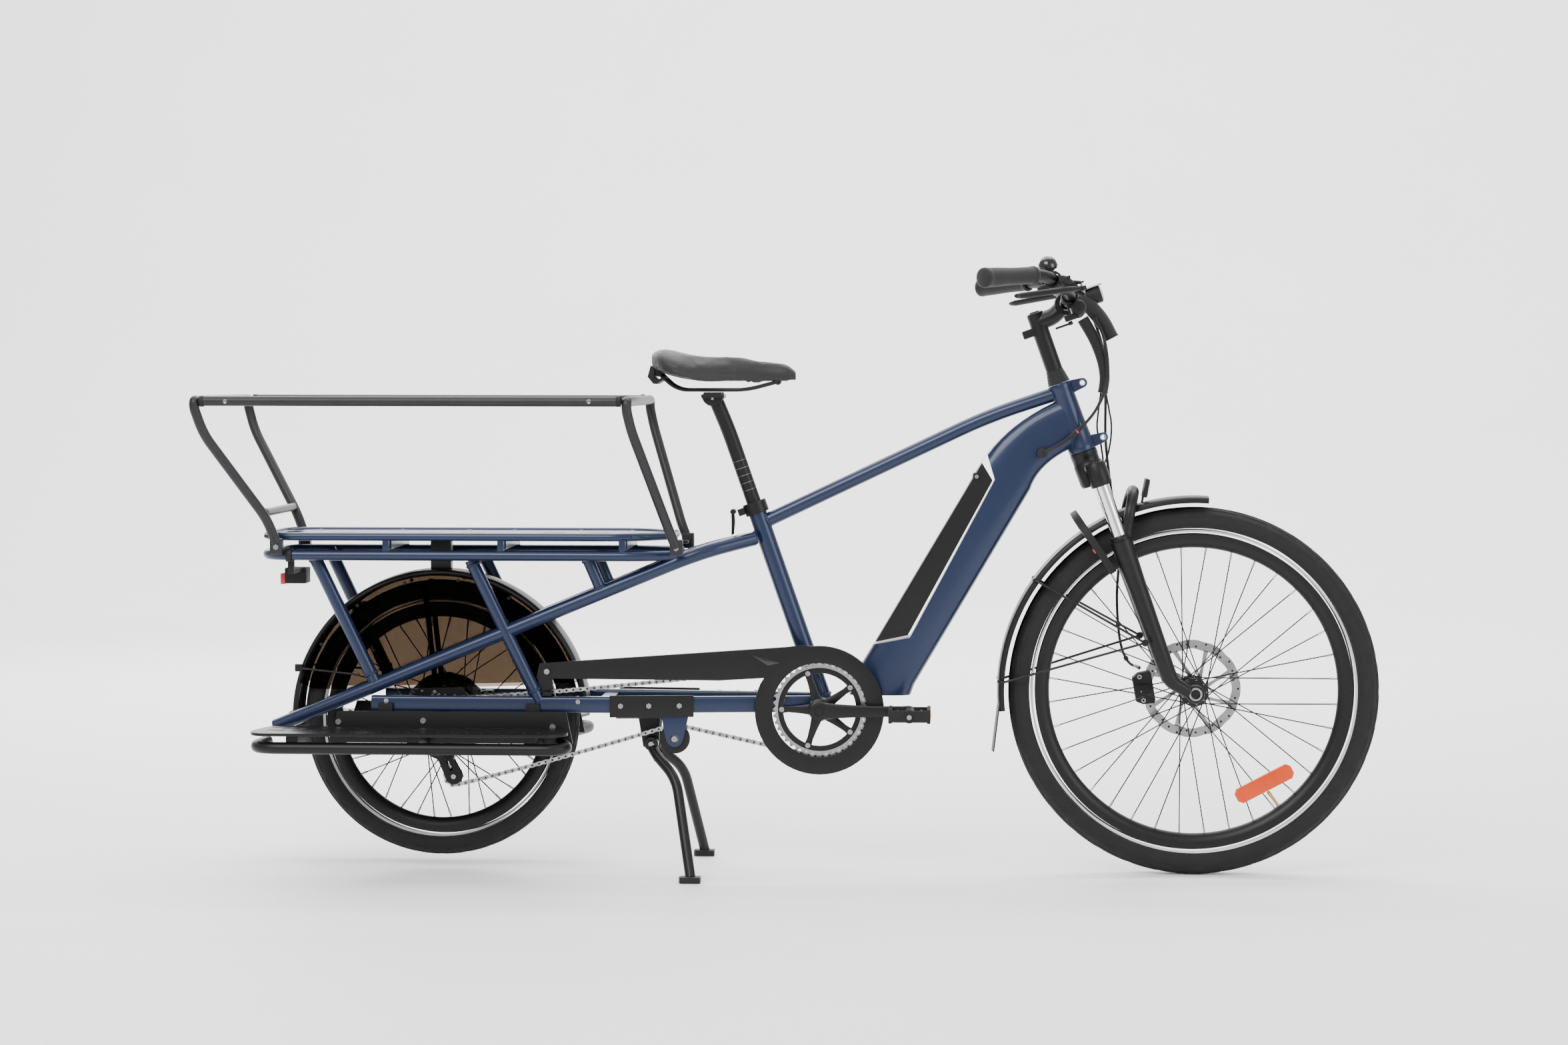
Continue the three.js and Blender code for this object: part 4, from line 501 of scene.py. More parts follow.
def ring_surface(build, section, mat, centre, segments, ripple=None):
    """A closed section of (radius, y) swept round the Y axis at centre; ripple may move its points."""
    bm = bmesh.new()
    rings = []
    for k in range(segments):
        a = math.tau * k / segments
        ring = []
        for r, y in section:
            if ripple:
                r, y = ripple(r, y, k)
            ring.append(bm.verts.new(centre + V(math.cos(a) * r, y, math.sin(a) * r)))
        rings.append(ring)
    n = len(section)
    for k in range(segments):
        lo, hi = rings[k], rings[(k + 1) % segments]
        for j in range(n):
            m = (j + 1) % n
            bm.faces.new((lo[j], hi[j], hi[m], lo[m]))
    build.take(bm, mat)


def make_tyre(name, body, node_name, centre, outer, rim, width, stripe_r):
    """Tyre with tread blocks and a thin reflective line on each wall."""
    b = Build()
    half = width / 2
    depth = 1.7
    base = outer - depth
    mid, reach = (base + rim) / 2, (base - rim) / 2
    section = []
    count, open_angle = 56, 118
    for i in range(count):
        a = math.radians(-open_angle + 2 * open_angle * i / (count - 1))
        section.append((mid + math.cos(a) * (base - rim) / 2, math.sin(a) * half))
    segments = 288
    pitch = 8
    line_half, line_proud, line_deep = 1.8, 0.45, 0.8

    def tread(r, y, k):
        """Blocks stand proud: a centre rib cut by slots, and slanted blocks on each shoulder."""
        across = abs(y) / half
        if r < mid + 4:
            return r, y
        lift = 0.0
        phase = (k + (3 if y > 0 else 0)) % pitch
        if across < 0.2:
            lift = depth if phase != 0 else 0.5
        elif 0.27 < across < 0.55:
            slant = (phase + int(across * 8)) % pitch
            lift = depth if slant > 1 else 0.0
        elif 0.62 < across < 0.86:
            slant = (phase + 4) % pitch
            lift = depth * 0.8 if slant > 2 else 0.0
        if not lift:
            return r, y
        size = math.hypot(r - mid, y)
        return r + (r - mid) / size * lift, y + y / size * lift

    ring_surface(b, section, TYRE, centre, segments, tread)
    for side in (-1, 1):
        band = []
        for r, lift in ((stripe_r - line_half, line_proud), (stripe_r + line_half, line_proud),
                        (stripe_r + line_half, -line_deep), (stripe_r - line_half, -line_deep)):
            a = math.acos(max(-1, min(1, (r - mid) / reach)))
            band.append((r, side * (math.sin(a) * half + lift)))
        ring_surface(b, band, REFLECT, centre, 200)
    return b.make(name, body, "tyre", (node_name,), sharp=28)


def make_rim(b, centre, outer, inner, half):
    """Double-wall rim with hooked flanges and a rounded inner bed."""
    section = [(outer + 2.2, half), (outer + 2.6, half - 1.6), (outer - 3, half - 2.4),
               (outer - 8, half * 0.45),
               (outer - 9, 0), (outer - 8, -half * 0.45), (outer - 3, -half + 2.4),
               (outer + 2.6, -half + 1.6),
               (outer + 2.2, -half), (outer - 6, -half), (outer - 13, -half * 0.92),
               (inner + 3, -half * 0.55),
               (inner, -half * 0.3), (inner - 0.6, 0), (inner, half * 0.3), (inner + 3, half * 0.55),
               (outer - 13, half * 0.92), (outer - 6, half)]
    ring_surface(b, section, SATIN, centre, 160)


def make_spokes(b, centre, inner, flange_r, flange_y, count, lean):
    """Crossed spokes from both flanges, each with its head and nipple."""
    for i in range(count):
        side = 1 if i % 2 == 0 else -1
        hand = 1 if i % 4 < 2 else -1
        rim_a = (i + 0.5) / count * math.tau
        hub_a = rim_a + hand * lean
        a = centre + V(math.cos(hub_a) * flange_r, side * (flange_y + hand * 1.9),
                       math.sin(hub_a) * flange_r)
        c = centre + V(math.cos(rim_a) * (inner + 2), side * 2.2, math.sin(rim_a) * (inner + 2))
        d = (c - a).normalized()
        b.rod(a, c, SPOKE_R, SPOKE, sides=6)
        b.rod(c - d * 15, c, 2.1, STEEL, r_end=1.7, sides=8)
        b.lathe([(0, -1.3), (2.1, -1.1), (2.3, 0), (1.4, 0.9), (0, 1)], a, V(0, hand * side, 0), STEEL, 8)


def make_rotor(b, centre, y, outer, inner, hub_r, arms, bolt_r):
    """Brake disc: a scalloped band whose drillings are filled with matte black discs as painted shade, on
    slanted arms that are bolted on.
    """
    holes = 30
    thick = 0.95
    steps = 180
    bm = bmesh.new()
    rows = [[], [], [], []]
    for k in range(steps):
        a = math.tau * k / steps
        scallop = 1.5 * math.cos(a * 12)
        for row, (r, side) in enumerate(((outer + min(0, scallop), 1), (outer + min(0, scallop), -1),
                                         (inner + scallop * 0.6, -1), (inner + scallop * 0.6, 1))):
            rows[row].append(bm.verts.new(centre + V(math.cos(a) * r, y + side * thick, math.sin(a) * r)))
    for row in range(4):
        lo, hi = rows[row], rows[(row + 1) % 4]
        for k in range(steps):
            m = (k + 1) % steps
            bm.faces.new((lo[k], lo[m], hi[m], hi[k]))
    b.take(bm, STEEL)
    mid = (outer + inner) / 2
    # Painted shade: the drillings are not cut through; matte black discs a hair thicker than the disc fill
    # them so they read as dark holes.
    for k in range(holes):
        a = math.tau * k / holes
        r = mid + (3.6 if k % 3 == 0 else (-3.6 if k % 3 == 1 else 0))
        at = centre + V(math.cos(a) * r, y, math.sin(a) * r)
        b.lathe([(0, -thick - 0.12), (2.1, -thick - 0.12), (2.1, thick + 0.12), (0, thick + 0.12)], at,
                ACROSS, MATTE, 10)
    for k in range(arms):
        a = math.tau * k / arms
        start = centre + V(math.cos(a) * hub_r, y, math.sin(a) * hub_r)
        end_a = a + 0.42
        end = centre + V(math.cos(end_a) * (inner + 1), y, math.sin(end_a) * (inner + 1))
        d = (end - start).normalized()
        n = V(-d.z, 0, d.x)
        bm = bmesh.new()
        ring = []
        for p, wide in ((start, 4.2), ((start + end) / 2, 2.6), (end, 4.4)):
            ring.append([bm.verts.new(p + n * wide + V(0, thick * s, 0)) for s in (-1, 1)] +
                        [bm.verts.new(p - n * wide + V(0, thick * s, 0)) for s in (1, -1)])
        for lo, hi in zip(ring, ring[1:]):
            for j in range(4):
                m = (j + 1) % 4
                bm.faces.new((lo[j], lo[m], hi[m], hi[j]))
        bm.faces.new(ring[0][::-1])
        bm.faces.new(ring[-1])
        b.take(bm, STEEL)
        bolt = centre + V(math.cos(a) * bolt_r, y, math.sin(a) * bolt_r)
        b.lathe([(0, 3.2), (1.5, 3.2), (1.7, 2.4), (3.3, 2.4), (3.6, 1.6), (3.6, 0)], bolt, ACROSS, SATIN,
                12)


SPOKE_R = 1.2
REAR_AXLE = V(0, 0, REAR_Z)
FRONT_AXLE = V(WHEELBASE, 0, FRONT_R)
FRONT_RIM, FRONT_BED = 285, 262
REAR_RIM, REAR_BED = 210, 187


def wheels():
    make_tyre("front_tyre_skin", "front_wheel", "front_tyre", FRONT_AXLE, FRONT_R, FRONT_RIM, 58,
              FRONT_RIM + 8)
    make_tyre("rear_tyre_skin", "rear_wheel", "rear_tyre", REAR_AXLE, REAR_R, REAR_RIM, 54, REAR_RIM + 7)

    b = Build()
    make_rim(b, FRONT_AXLE, FRONT_RIM, FRONT_BED, 15)
    make_spokes(b, FRONT_AXLE, FRONT_BED, 22, 30, 36, 1.15)
    b.lathe([(0, -64), (7, -64), (7.4, -52), (9, -50), (10, -38), (15, -36), (15.5, -34), (26, -32),
             (26, -28),
             (17, -26), (12, -12), (11.4, 0), (12, 12), (17, 26), (26, 28), (26, 32), (16, 33), (16, 36),
             (10, 37), (10, 48), (7.4, 50), (7, 64), (0, 64)], FRONT_AXLE, ACROSS, SATIN, 40)
    # Valve, with its brass stem and cap
    valve_a = -0.93
    at = FRONT_AXLE + V(math.cos(valve_a) * FRONT_BED, 0, math.sin(valve_a) * FRONT_BED)
    inward = (FRONT_AXLE - at).normalized()
    b.lathe([(0, 0), (4, 0), (4, 2), (2.9, 3), (2.7, 22), (3.4, 23), (3.4, 31), (2.4, 33), (0, 33)], at,
            inward, BRASS, 14)
    # Spoke reflector, clipped flat between the spokes
    centre = V(1508.7, -17, 169)
    tilt = Matrix.Rotation(math.radians(-28), 4, "Y")
    r = Build()
    r.slab([(-50, -14.5), (50, -14.5), (57, -7), (57, 7), (50, 14.5), (-50, 14.5), (-57, 7), (-57, -7)], -5,
           5, AMBER, 2.2)
    for i in range(13):
        x = -45 + i * 7.5
        r.block(x - 0.5, x + 0.5, -5.7, -4.8, -11.5, 11.5, AMBER, 0)
    r.block(-12, 12, 3, 12, -7, 7, MATTE, 1.2)
    r.moved(Matrix.Translation(centre) @ tilt)
    b.make("front_wheel_detail", "front_wheel", "matte_black", ("front_wheel",))
    r.make("spoke_reflector", "front_wheel", "amber")

    b = Build()
    make_rotor(b, FRONT_AXLE, 38, 90, 73, 20, 8, 21)
    b.lathe([(18.6, -1.6), (24, -1.6), (24, 1.6), (18.6, 1.6), (18.6, -1.6)], FRONT_AXLE + V(0, 38, 0),
            ACROSS, SATIN, 36)
    b.make("front_rotor_detail", "front_wheel", "steel", ("front_rotor",))

    b = Build()
    make_rim(b, REAR_AXLE, REAR_RIM, REAR_BED, 14)
    make_spokes(b, REAR_AXLE, REAR_BED, 61, 24, 36, 0.5)
    # Hub motor: a finned drum between two spoke flanges
    b.lathe([(8, -26.8), (20, -26.9), (46, -26.6), (58, -25.6), (68, -25.6), (68, -22.4), (60.5, -22),
             (59.5, -19),
             (59.5, 19), (60.5, 22), (68, 22.4), (68, 25.6), (58, 25.6), (54, 27), (30, 28.5), (22, 29),
             (22, 46.5), (12, 47), (8, 47), (8, -26.8)], REAR_AXLE, ACROSS, SATIN, 64)
    for k in range(9):
        y = -16 + k * 4
        b.lathe([(59, y - 0.6), (60.3, y - 0.5), (60.3, y + 0.5), (59, y + 0.6), (59, y - 0.6)], REAR_AXLE,
                ACROSS, SATIN, 64)
    for k in range(8):
        a = math.tau * k / 8 + 0.2
        for y, s in ((-26.6, -1), (27, 1)):
            at = REAR_AXLE + V(math.cos(a) * 50, y, math.sin(a) * 50)
            b.lathe([(0, 1.8), (1.6, 1.8), (1.8, 1), (3.4, 1), (3.4, 0), (0, 0)], at, V(0, s, 0), STEEL, 12)
    make_rotor(b, REAR_AXLE, 44, 80, 63, 20, 6, 21)
    b.make("rear_wheel_detail", "rear_wheel", "matte_black", ("rear_wheel",))


# ---- frame ----

def frame_tubes():
    # Head tube, with its end rings and two lugs in front
    b = Build()
    top, low = steer(0, 0, HEAD_LENGTH), steer(0, 0, 0)
    axis = (top - low).normalized()
    b.lathe([(17.2, 0), (25, 0), (25.4, 1.5), (25.4, 9), (24.6, 11), (22.4, 60), (21.4, 118), (22, 120),
             (22, 128.5), (21.4, 130), (17.2, 130), (17.2, 0)], low, axis, BLUE, 56)
    for up, reach in ((12, 21), (118, 18)):
        outline = [(19, -12)] + arc(22 + reach, 0, 9, -80, 80, 10) + [(19, 12)]
        hole = arc(22 + reach, 0, 4, 0, 340, 14)
        lug = Build()
        lug.slab(outline, -5, 5, BLUE, 1.0, holes=(hole,))
        for s in (-1, 1):
            lug.lathe([(4.1, 0), (4.1, 0.5), (6, 0.5), (6.4, 0), (4.1, 0)], V(22 + reach, s * 5, 0),
                      V(0, s, 0), STEEL, 24)
        copy_in(b, lug.moved(Matrix.Translation(steer(0, 0, up)) @ Matrix.Rotation(-LEAN, 4, "Y")))
    b.make("head_tube_skin", "frame", "frame_blue", ("head_and_top_tube",))

    # Seat tube and crank barrel
    b = Build()
    b.take(skin([(SEAT_FOOT, SEAT_DIR), (SEAT_TOP, SEAT_DIR)], 17, 40), BLUE)
    b.lathe([(12, -34), (19.6, -34), (21, -32.6), (21, 32.6), (19.6, 34), (12, 34), (12, -34)], BB, ACROSS,
            BLUE, 48)
    weld(b, SEAT_FOOT + SEAT_DIR * 8, SEAT_DIR, 17.2, BLUE)
    b.make("seat_tube_skin", "frame", "frame_blue", ("seat_tube",))

    # Top tube, leaving the seat tube low and bending up to the head
    b = Build()
    path = [V(594, 0, 641), V(1005, 0, 836), V(1124, 0, 876)]
    b.tube(path, 13, BLUE, bend=160, sides=32, steps=14)
    weld(b, V(603.5, 0, 646), (path[1] - path[0]), 13.2, BLUE)
    b.make("top_tube_skin", "frame", "frame_blue")


def copy_in(build, other):
    """Copy another Build in, with its own materials."""
    lookup = [build.index(m) for m in other.mats]
    made = {v: build.bm.verts.new(v.co) for v in other.bm.verts}
    for f in other.bm.faces:
        g = build.bm.faces.new([made[v] for v in f.verts])
        g.material_index = lookup[f.material_index]
    other.bm.free()


def quad(a, c, b, t):
    """Point of a quadratic curve in the X-Z plane."""
    return Vector(a) * (1 - t) ** 2 + Vector(c) * (2 * t * (1 - t)) + Vector(b) * t * t


def oblong_ring(bm, low, top, half, sides, square):
    """Section between a lower and an upper point: an ellipse pushed out towards a rounded square."""
    mid = (low + top) / 2
    deep = (top - low) / 2
    ring = []
    for k in range(sides):
        a = math.tau * k / sides
        c, s = math.cos(a), math.sin(a)
        y = squarish(c, square) * half
        h = squarish(s, square)
        ring.append(bm.verts.new((mid.x + deep.x * h, y, mid.y + deep.y * h)))
    return ring


def bridge(bm, rings):
    """Joins rings of equal length into a closed skin."""
    n = len(rings[0])
    for lo, hi in zip(rings, rings[1:]):
        for k in range(n):
            bm.faces.new((lo[k], lo[(k + 1) % n], hi[(k + 1) % n], hi[k]))
    bm.faces.new(rings[0][::-1])
    bm.faces.new(rings[-1])


def cut_away(o, tool):
    """Cut a Build's shape out of a finished object, for good."""
    cutter = new_object("tool", placed_mesh(tool.bm, "tool"))
    mod = o.modifiers.new("cut", "BOOLEAN")
    mod.operation = "DIFFERENCE"
    mod.solver = "EXACT"
    mod.object = cutter
    bake_modifiers(o)
    bpy.data.objects.remove(cutter)
    smooth_faces(o.data, 30)


BATTERY = [V(994.7, 0, 754.7), V(1016.6, 0, 720.8), V(863.4, 0, 434.3), V(798.9, 0, 421.7)]


def down_tube():
    """Deep formed tube, wide beside the crank and narrower at the head, with the battery's recess."""
    foot_steps, run_steps, bend_steps = 4, 10, 10
    pairs = []
    for k in range(foot_steps):
        t = k / foot_steps
        pairs.append((Vector((866, 327)).lerp(Vector((873, 346)), t),
                      Vector((753, 327)).lerp(Vector((776, 384)), t)))
    for k in range(run_steps):
        t = k / run_steps
        pairs.append((Vector((873, 346)).lerp(Vector((1083, 703)), t),
                      Vector((776, 384)).lerp(Vector((994.7, 754.7)), t)))
    for k in range(bend_steps + 1):
        t = k / bend_steps
        pairs.append((quad((1083, 703), (1098, 752), (1166, 782), t),
                      quad((994.7, 754.7), (1040, 826), (1140, 868), t)))
    b = Build()
    bm = bmesh.new()
    rings = []
    last = len(pairs) - 1
    for i, (low, top) in enumerate(pairs):
        t = i / last
        half = 32.8 - 11.5 * min(1.0, max(0.0, (t - 0.5) / 0.34))
        rings.append(oblong_ring(bm, low, top, half, 48, 0.6))
    bridge(bm, rings)
    b.take(bm, BLUE)
    o = b.make("down_tube_skin", "frame", "frame_blue", ("down_tube",), sharp=40)
    pocket = Build()
    pocket.slab([(1004, 768), (1018, 720.6), (864.6, 433), (790, 418)], -40, 40, BLUE, 0)
    cut_away(o, pocket)
    bore = Build()
    bore.rod(SEAT_FOOT, SEAT_TOP, 17.3, BLUE, sides=32)
    cut_away(o, bore)
    steerer = Build()
    steerer.rod(steer(0, 0, -20), steer(0, 0, 150), 18.4, BLUE, sides=40)
    cut_away(o, steerer)
    barrel = Build()
    barrel.lathe([(0, -45), (21.3, -45), (21.3, 45), (0, 45)], BB, ACROSS, BLUE, 40)
    cut_away(o, barrel)


def battery():
    """Battery in the frame: a case with a raised panel and a round lock on each side."""
    b = Build()
    inset = 2.6
    middle = Vector((925, 590))
    outline = [(BATTERY[0].x - 0.4, BATTERY[0].z - inset), (BATTERY[1].x - inset, BATTERY[1].z - 1.4),
               (BATTERY[2].x - inset, BATTERY[2].z + inset), (BATTERY[3].x + 2.0, BATTERY[3].z + 2.6)]
    b.slab(outline, -29, 29, SATIN, 3)
    # Side panels, a hair proud, following the case's slant
    mid_line = [Vector(p).lerp(middle, 0.07) for p in outline]
    for s in (-1, 1):
        lo, hi = span(s, 28.2, 29.9)
        b.slab([(p.x, p.y) for p in mid_line], lo, hi, SATIN, 0.8)
        b.lathe([(0, 0.9), (6.5, 0.9), (7, 0), (0, 0)], V(985, s * 29.8, 727), V(0, s, 0), SATIN, 28)
        b.lathe([(0, 1.6), (3.6, 1.6), (3.8, 0.6), (0, 0.6)], V(985, s * 29.8, 727), V(0, s, 0), STEEL, 20)
    return b.make("battery_case", "battery", "matte_black", ("battery",))


def tapered_beam(side):
    """Chainstay beam: a rounded oblong bar that bends in to the crank barrel."""
    xs = [(-118, -69, 9.6), (-112, -69, 9.9), (320, -69, 9.9), (360, -65.5, 9.4), (500, -50.5, 8.6),
          (600, -40, 8.4), (660, -33, 8.2), (690, -28, 8)]
    bm = bmesh.new()
    rings = []
    for x, y, half in xs:
        ring = []
        for k in range(28):
            a = math.tau * k / 28
            c, s = math.cos(a), math.sin(a)
            ring.append(bm.verts.new((x, side * -y + squarish(c, 0.45) * half,
                                      BEAM_Z + squarish(s, 0.45) * 14.9)))
        rings.append(ring)
    bridge(bm, rings)
    return bm


def chainstays():
    b = Build()
    for side in (-1, 1):
        b.take(tapered_beam(side), BLUE)
        outline = [(-34, BEAM_Z - 6), (-27, REAR_Z - 14)]
        outline += arc(0, REAR_Z, 25, 212, 328, 14)
        outline += [(27, REAR_Z - 14), (40, BEAM_Z - 6)]
        slot = [(-6.4, REAR_Z - 20), (-6.4, REAR_Z)] + arc(0, REAR_Z, 6.4, 180, 0,
                                                           12)[1:] + [(6.4, REAR_Z - 20)]
        y0 = side * STAY_Y if side > 0 else -STAY_Y - 6
        b.slab(outline, y0, y0 + 6, BLUE, 0.9, holes=(slot[::-1],))
        out = side * (STAY_Y + 6)
        b.lathe([(4, 3.4), (7.4, 3.4), (8, 2.6), (8, 0), (4, 0), (4, 3.4)], V(0, out, REAR_Z),
                V(0, side, 0), STEEL, 6)
        b.lathe([(0, 7.2), (4.6, 6.6), (5.4, 5.4), (5.4, 3.0), (0, 3.0)], V(0, out, REAR_Z), V(0, side, 0),
                STEEL, 24)
        b.lathe([(5, 0.9), (11, 0.9), (11, 0), (5, 0), (5, 0.9)], V(0, out, REAR_Z), V(0, side, 0), STEEL,
                30)
        for x in (-90, 262):
            b.lathe([(0, 2.4), (2, 2.4), (2.2, 1.2), (4.2, 1.2), (4.6, 0)], V(x, side * 79, BEAM_Z + 6),
                    V(0, side, 0), STEEL, 16)
    b.block(296, 322, -60, 60, BEAM_Z - 9.6, BEAM_Z + 9.6, BLUE, 3.5)
    b.make("chainstays_skin", "frame", "frame_blue", ("chainstays",))


def stays():
    b = Build()
    for s in (-1, 1):
        path = [V(579, s * 17, 612), V(480, s * STAY_Y, 588), V(-296, s * STAY_Y, 268)]
        b.tube(path, 12.9, BLUE, bend=90, sides=28, steps=12)
        for top, foot, r in (((-224, 585), (-108, 341), 11.8), ((66, 575), (190, 317), 11.8),
                             ((280, 577), (304, 520), 10.8)):
            a, c = V(top[0], s * (STAY_Y + 4), top[1]), V(foot[0], s * STAY_Y, foot[1])
            b.rod(a, c, r, BLUE, sides=28)
            weld(b, a.lerp(c, 0.035), c - a, r, BLUE)
            weld(b, c.lerp(a, 0.075 if foot[1] < 330 else 0.1), c - a, r + 0.4, BLUE)
        # Closed end of the stay, over the tail of the beam
        b.lathe([(12.9, 0), (12.4, 2.2), (10.5, 4), (7, 5.2), (0, 5.8)], V(-296, s * STAY_Y, 268),
                V(-0.924, 0, -0.381), BLUE, 28)
    b.rod(V(470, -STAY_Y, 584), V(470, STAY_Y, 584), 9, BLUE, sides=24)
    b.make("stays_skin", "frame", "frame_blue", ("diagonal_stays",))


def loop(b, half, rear, front, z, r, front_half, sides=24):
    """Rack loop: a bent tube that narrows at the front."""
    shoulder = front - 70
    points = [V(front, -front_half, z), V(shoulder, -half, z), V(rear, -half, z), V(rear, half, z),
              V(shoulder, half, z), V(front, front_half, z)]
    b.tube(points, r, BLUE, bend=60, sides=sides, steps=12)


def rack():
    b = Build()
    loop(b, RACK_HALF, RACK_REAR, 440, LOOP_Z, 9.4, STAY_Y + 2)
    b.make("rack_loop_skin", "frame", "frame_blue", ("rack_lower_loop",))

    b = Build()
    loop(b, RACK_HALF, RACK_REAR, 432, DECK_Z, 7.5, 34, 20)
    b.rod(V(431, -36, DECK_Z), V(431, 36, DECK_Z), 7, BLUE, sides=20)
    half = RACK_HALF - 1
    outline = [(-300, -half), (362, -half), (428, -36), (428, 36), (362, half), (-300, half),
               (-RACK_HALF - 211, half - 10), (-RACK_HALF - 211, -half + 10)]
    holes = [[(-262, -28), (-292, -28), (-292, 28), (-262, 28)]]
    for x in (-180, -20, 60, 210, 290):
        holes.append([(x + 17 + 6 * math.cos(t), 6 * math.sin(t)) for t in
                      [-math.pi / 2 + math.pi * i / 8 for i in range(9)]] +
                     [(x - 17 + 6 * math.cos(t), 6 * math.sin(t)) for t in
                      [math.pi / 2 + math.pi * i / 8 for i in range(9)]])
    b.slab(outline, DECK_Z - 2.9, DECK_Z + 2.9, SATIN, 0.8, axis="z", holes=holes)
    for x in (-85, 125, 346):
        for s in (-1, 1):
            y = s * RACK_HALF
            b.block(x - 6, x + 6, y - 4, y + 4, LOOP_Z + 7, DECK_Z - 4, BLUE, 1.2)
        b.block(x - 8, x + 8, -RACK_HALF + 12, RACK_HALF - 12, LOOP_Z + 11, DECK_Z - 3, BLUE, 1.2)
    for x in (-240, -85, 40, 125, 250, 346):
        for y in (-72, 72):
            b.lathe([(0, 1.6), (1.6, 1.6), (1.8, 0.7), (4, 1.3), (4.6, 0)], V(x, y, DECK_Z + 2.9), UP,
                    STEEL, 18)
    b.make("rack_deck_skin", "frame", "frame_blue", ("rack_deck",))


# ---- passenger rail ----

def rail_hoop(points, foot):
    """One bent hoop with its bolted feet."""
    b = Build()
    left = [V(p.x, -p.y, p.z) for p in reversed(points)]
    b.tube(points + left, 9, RAIL, bend=34, sides=26, steps=12)
    for s in (-1, 1):
        x, z = foot
        y0, y1 = span(s, 110.6, 127)
        b.block(x - 11.5, x + 11.5, y0, y1, z - 13.5, z + 15.5, RAIL, 3)
        b.lathe([(0, 0.9), (2.2, 0.9), (2.4, -0.6), (5.2, -0.6), (5.4, -2), (0, -2)], V(x, s * 128, z),
                V(0, s, 0), STEEL, 6)
    return b


def rails():
    rear = [V(-281, -121, 606), V(-297, -124, 650), V(-394, -196, 806), V(-408, -RAIL_Y, 852),
            V(-408, -RAIL_Y, 866)]
    b = rail_hoop(rear, (-281, 600))
    b.rod(V(-303, -125, 662), V(-303, 125, 662), 7.4, RAIL, sides=22)
    for s in (-1, 1):
        weld(b, V(-303, s * 119, 662), ACROSS, 7.4, RAIL, 1.2, 16)
    b.make("rail_rear_skin", "frame", "rail_grey", ("rail_rear_hoop",))
    front = [V(446, -121, 600), V(434, -123, 630), V(374, -200, 812), V(366, -RAIL_Y, 848),
             V(366, -RAIL_Y, 864)]
    b = rail_hoop(front, (446, 600))
    for s in (-1, 1):
        y0, y1 = span(s, 82, 112)
        b.block(435, 449, y0, y1, 597, 603, RAIL, 1.2)
    b.make("rail_front_skin", "frame", "rail_grey", ("rail_front_hoop",))
    for s, tag in ((-1, "right"), (1, "left")):
        b = Build()
        y = s * RAIL_Y
        b.rod(V(-397, y, RAIL_Z + 1), V(355, y, RAIL_Z), 8.9, RAIL, sides=26)
        for x in (-394, 352):
            b.lathe([(9.2, -4), (9.8, -3.4), (9.8, 3.4), (9.2, 4)], V(x, y, RAIL_Z + 0.6), AHEAD, MATTE, 28)
        for x in (-350, 300):
            b.lathe([(0, 0.8), (1.8, 0.8), (2, -0.2), (3.8, 0.4), (4.2, -1.5), (0, -1.5)],
                    V(x, y + s * 8.8, RAIL_Z + 0.5), V(0, s, 0), STEEL, 18)
        b.make("rail_bar_skin_" + tag, "frame", "rail_grey", ("rail_bar_" + tag,))


# ---- fenders ----

def fender_skin(b, centre, r, half, start, end, mat):
    """Crowned shell with turned-in edges, as a thin closed sheet."""
    steps, lip = 72, 13
    profile = []
    for i in range(17):
        t = -1 + 2 * i / 16
        y = t * half
        profile.append((y, 3.0 * t * t))
    profile = [(-half, lip), (-half + 0.2, lip * 0.55), (-half + 1.4, 4.5)] + profile[1:-1] + \
              [(half - 1.4, 4.5), (half - 0.2, lip * 0.55), (half, lip)]
    bm = bmesh.new()
    thick, lip_start = 2.0, 8
    squeeze = (half - thick) / half
    rows = []
    for k in range(steps + 1):
        a = math.radians(start + (end - start) * k / steps)
        up = [bm.verts.new(centre + V(math.cos(a) * (r - d), y, math.sin(a) * (r - d))) for y, d in profile]
        down = []
        for y, d in reversed(profile):
            under = r - max(d, thick) - (0 if d > lip_start else thick)
            down.append(bm.verts.new(centre + V(math.cos(a) * under, y * squeeze, math.sin(a) * under)))
        rows.append(up + down)
    bridge(bm, rows)
    b.take(bm, mat)


def rear_fender():
    b = Build()
    fender_skin(b, REAR_AXLE, 276.8, 33.6, 8, 184, SATIN)
    b.block(-19, 19, -11, 11, REAR_Z + 275, DECK_Z - 3.5, SATIN, 1.5)
    # Wire stay to the fender's tail, in its clip
    for s in (-1, 1):
        b.tube([V(-258, s * 34.2, 372), V(-250, s * 40, 371), V(-143, s * 58, 362)], 1.9, SATIN, bend=12,
               sides=10)
        b.block(-268, -254, s * 35 - 2.4, s * 35 + 2.4, 365, 379, SATIN, 1.5)
    b.make("rear_fender_skin", "frame", "smoke", ("rear_fender",))
    # Smoked side skirts with small rivets
    b = Build()
    for s in (-1, 1):
        y0 = 32 if s > 0 else -34.4
        outline = arc(0, REAR_Z, 268, 166, 15, 60) + [(150, 341), (-20, 336), (-120, 333), (-236, 333)]
        b.slab(outline, y0, y0 + 2.4, SMOKE, 0.7)
        # Where the front and rear halves of the skirt lap over each other
        out = 34.4 if s > 0 else -35.4
        b.slab([(-12, 345), (-2, 345), (-22, 534), (-32, 532)], out, out + 1, SMOKE, 0.3)
        for a in (60, 82, 104, 126, 148):
            t = math.radians(a)
            b.lathe([(0, 1.2), (2.2, 1.0), (3.4, 0)],
                    V(math.cos(t) * 258, s * 34.4, REAR_Z + math.sin(t) * 258), V(0, s, 0), SATIN, 14)
    b.make("skirt_panels", "frame", "smoke")


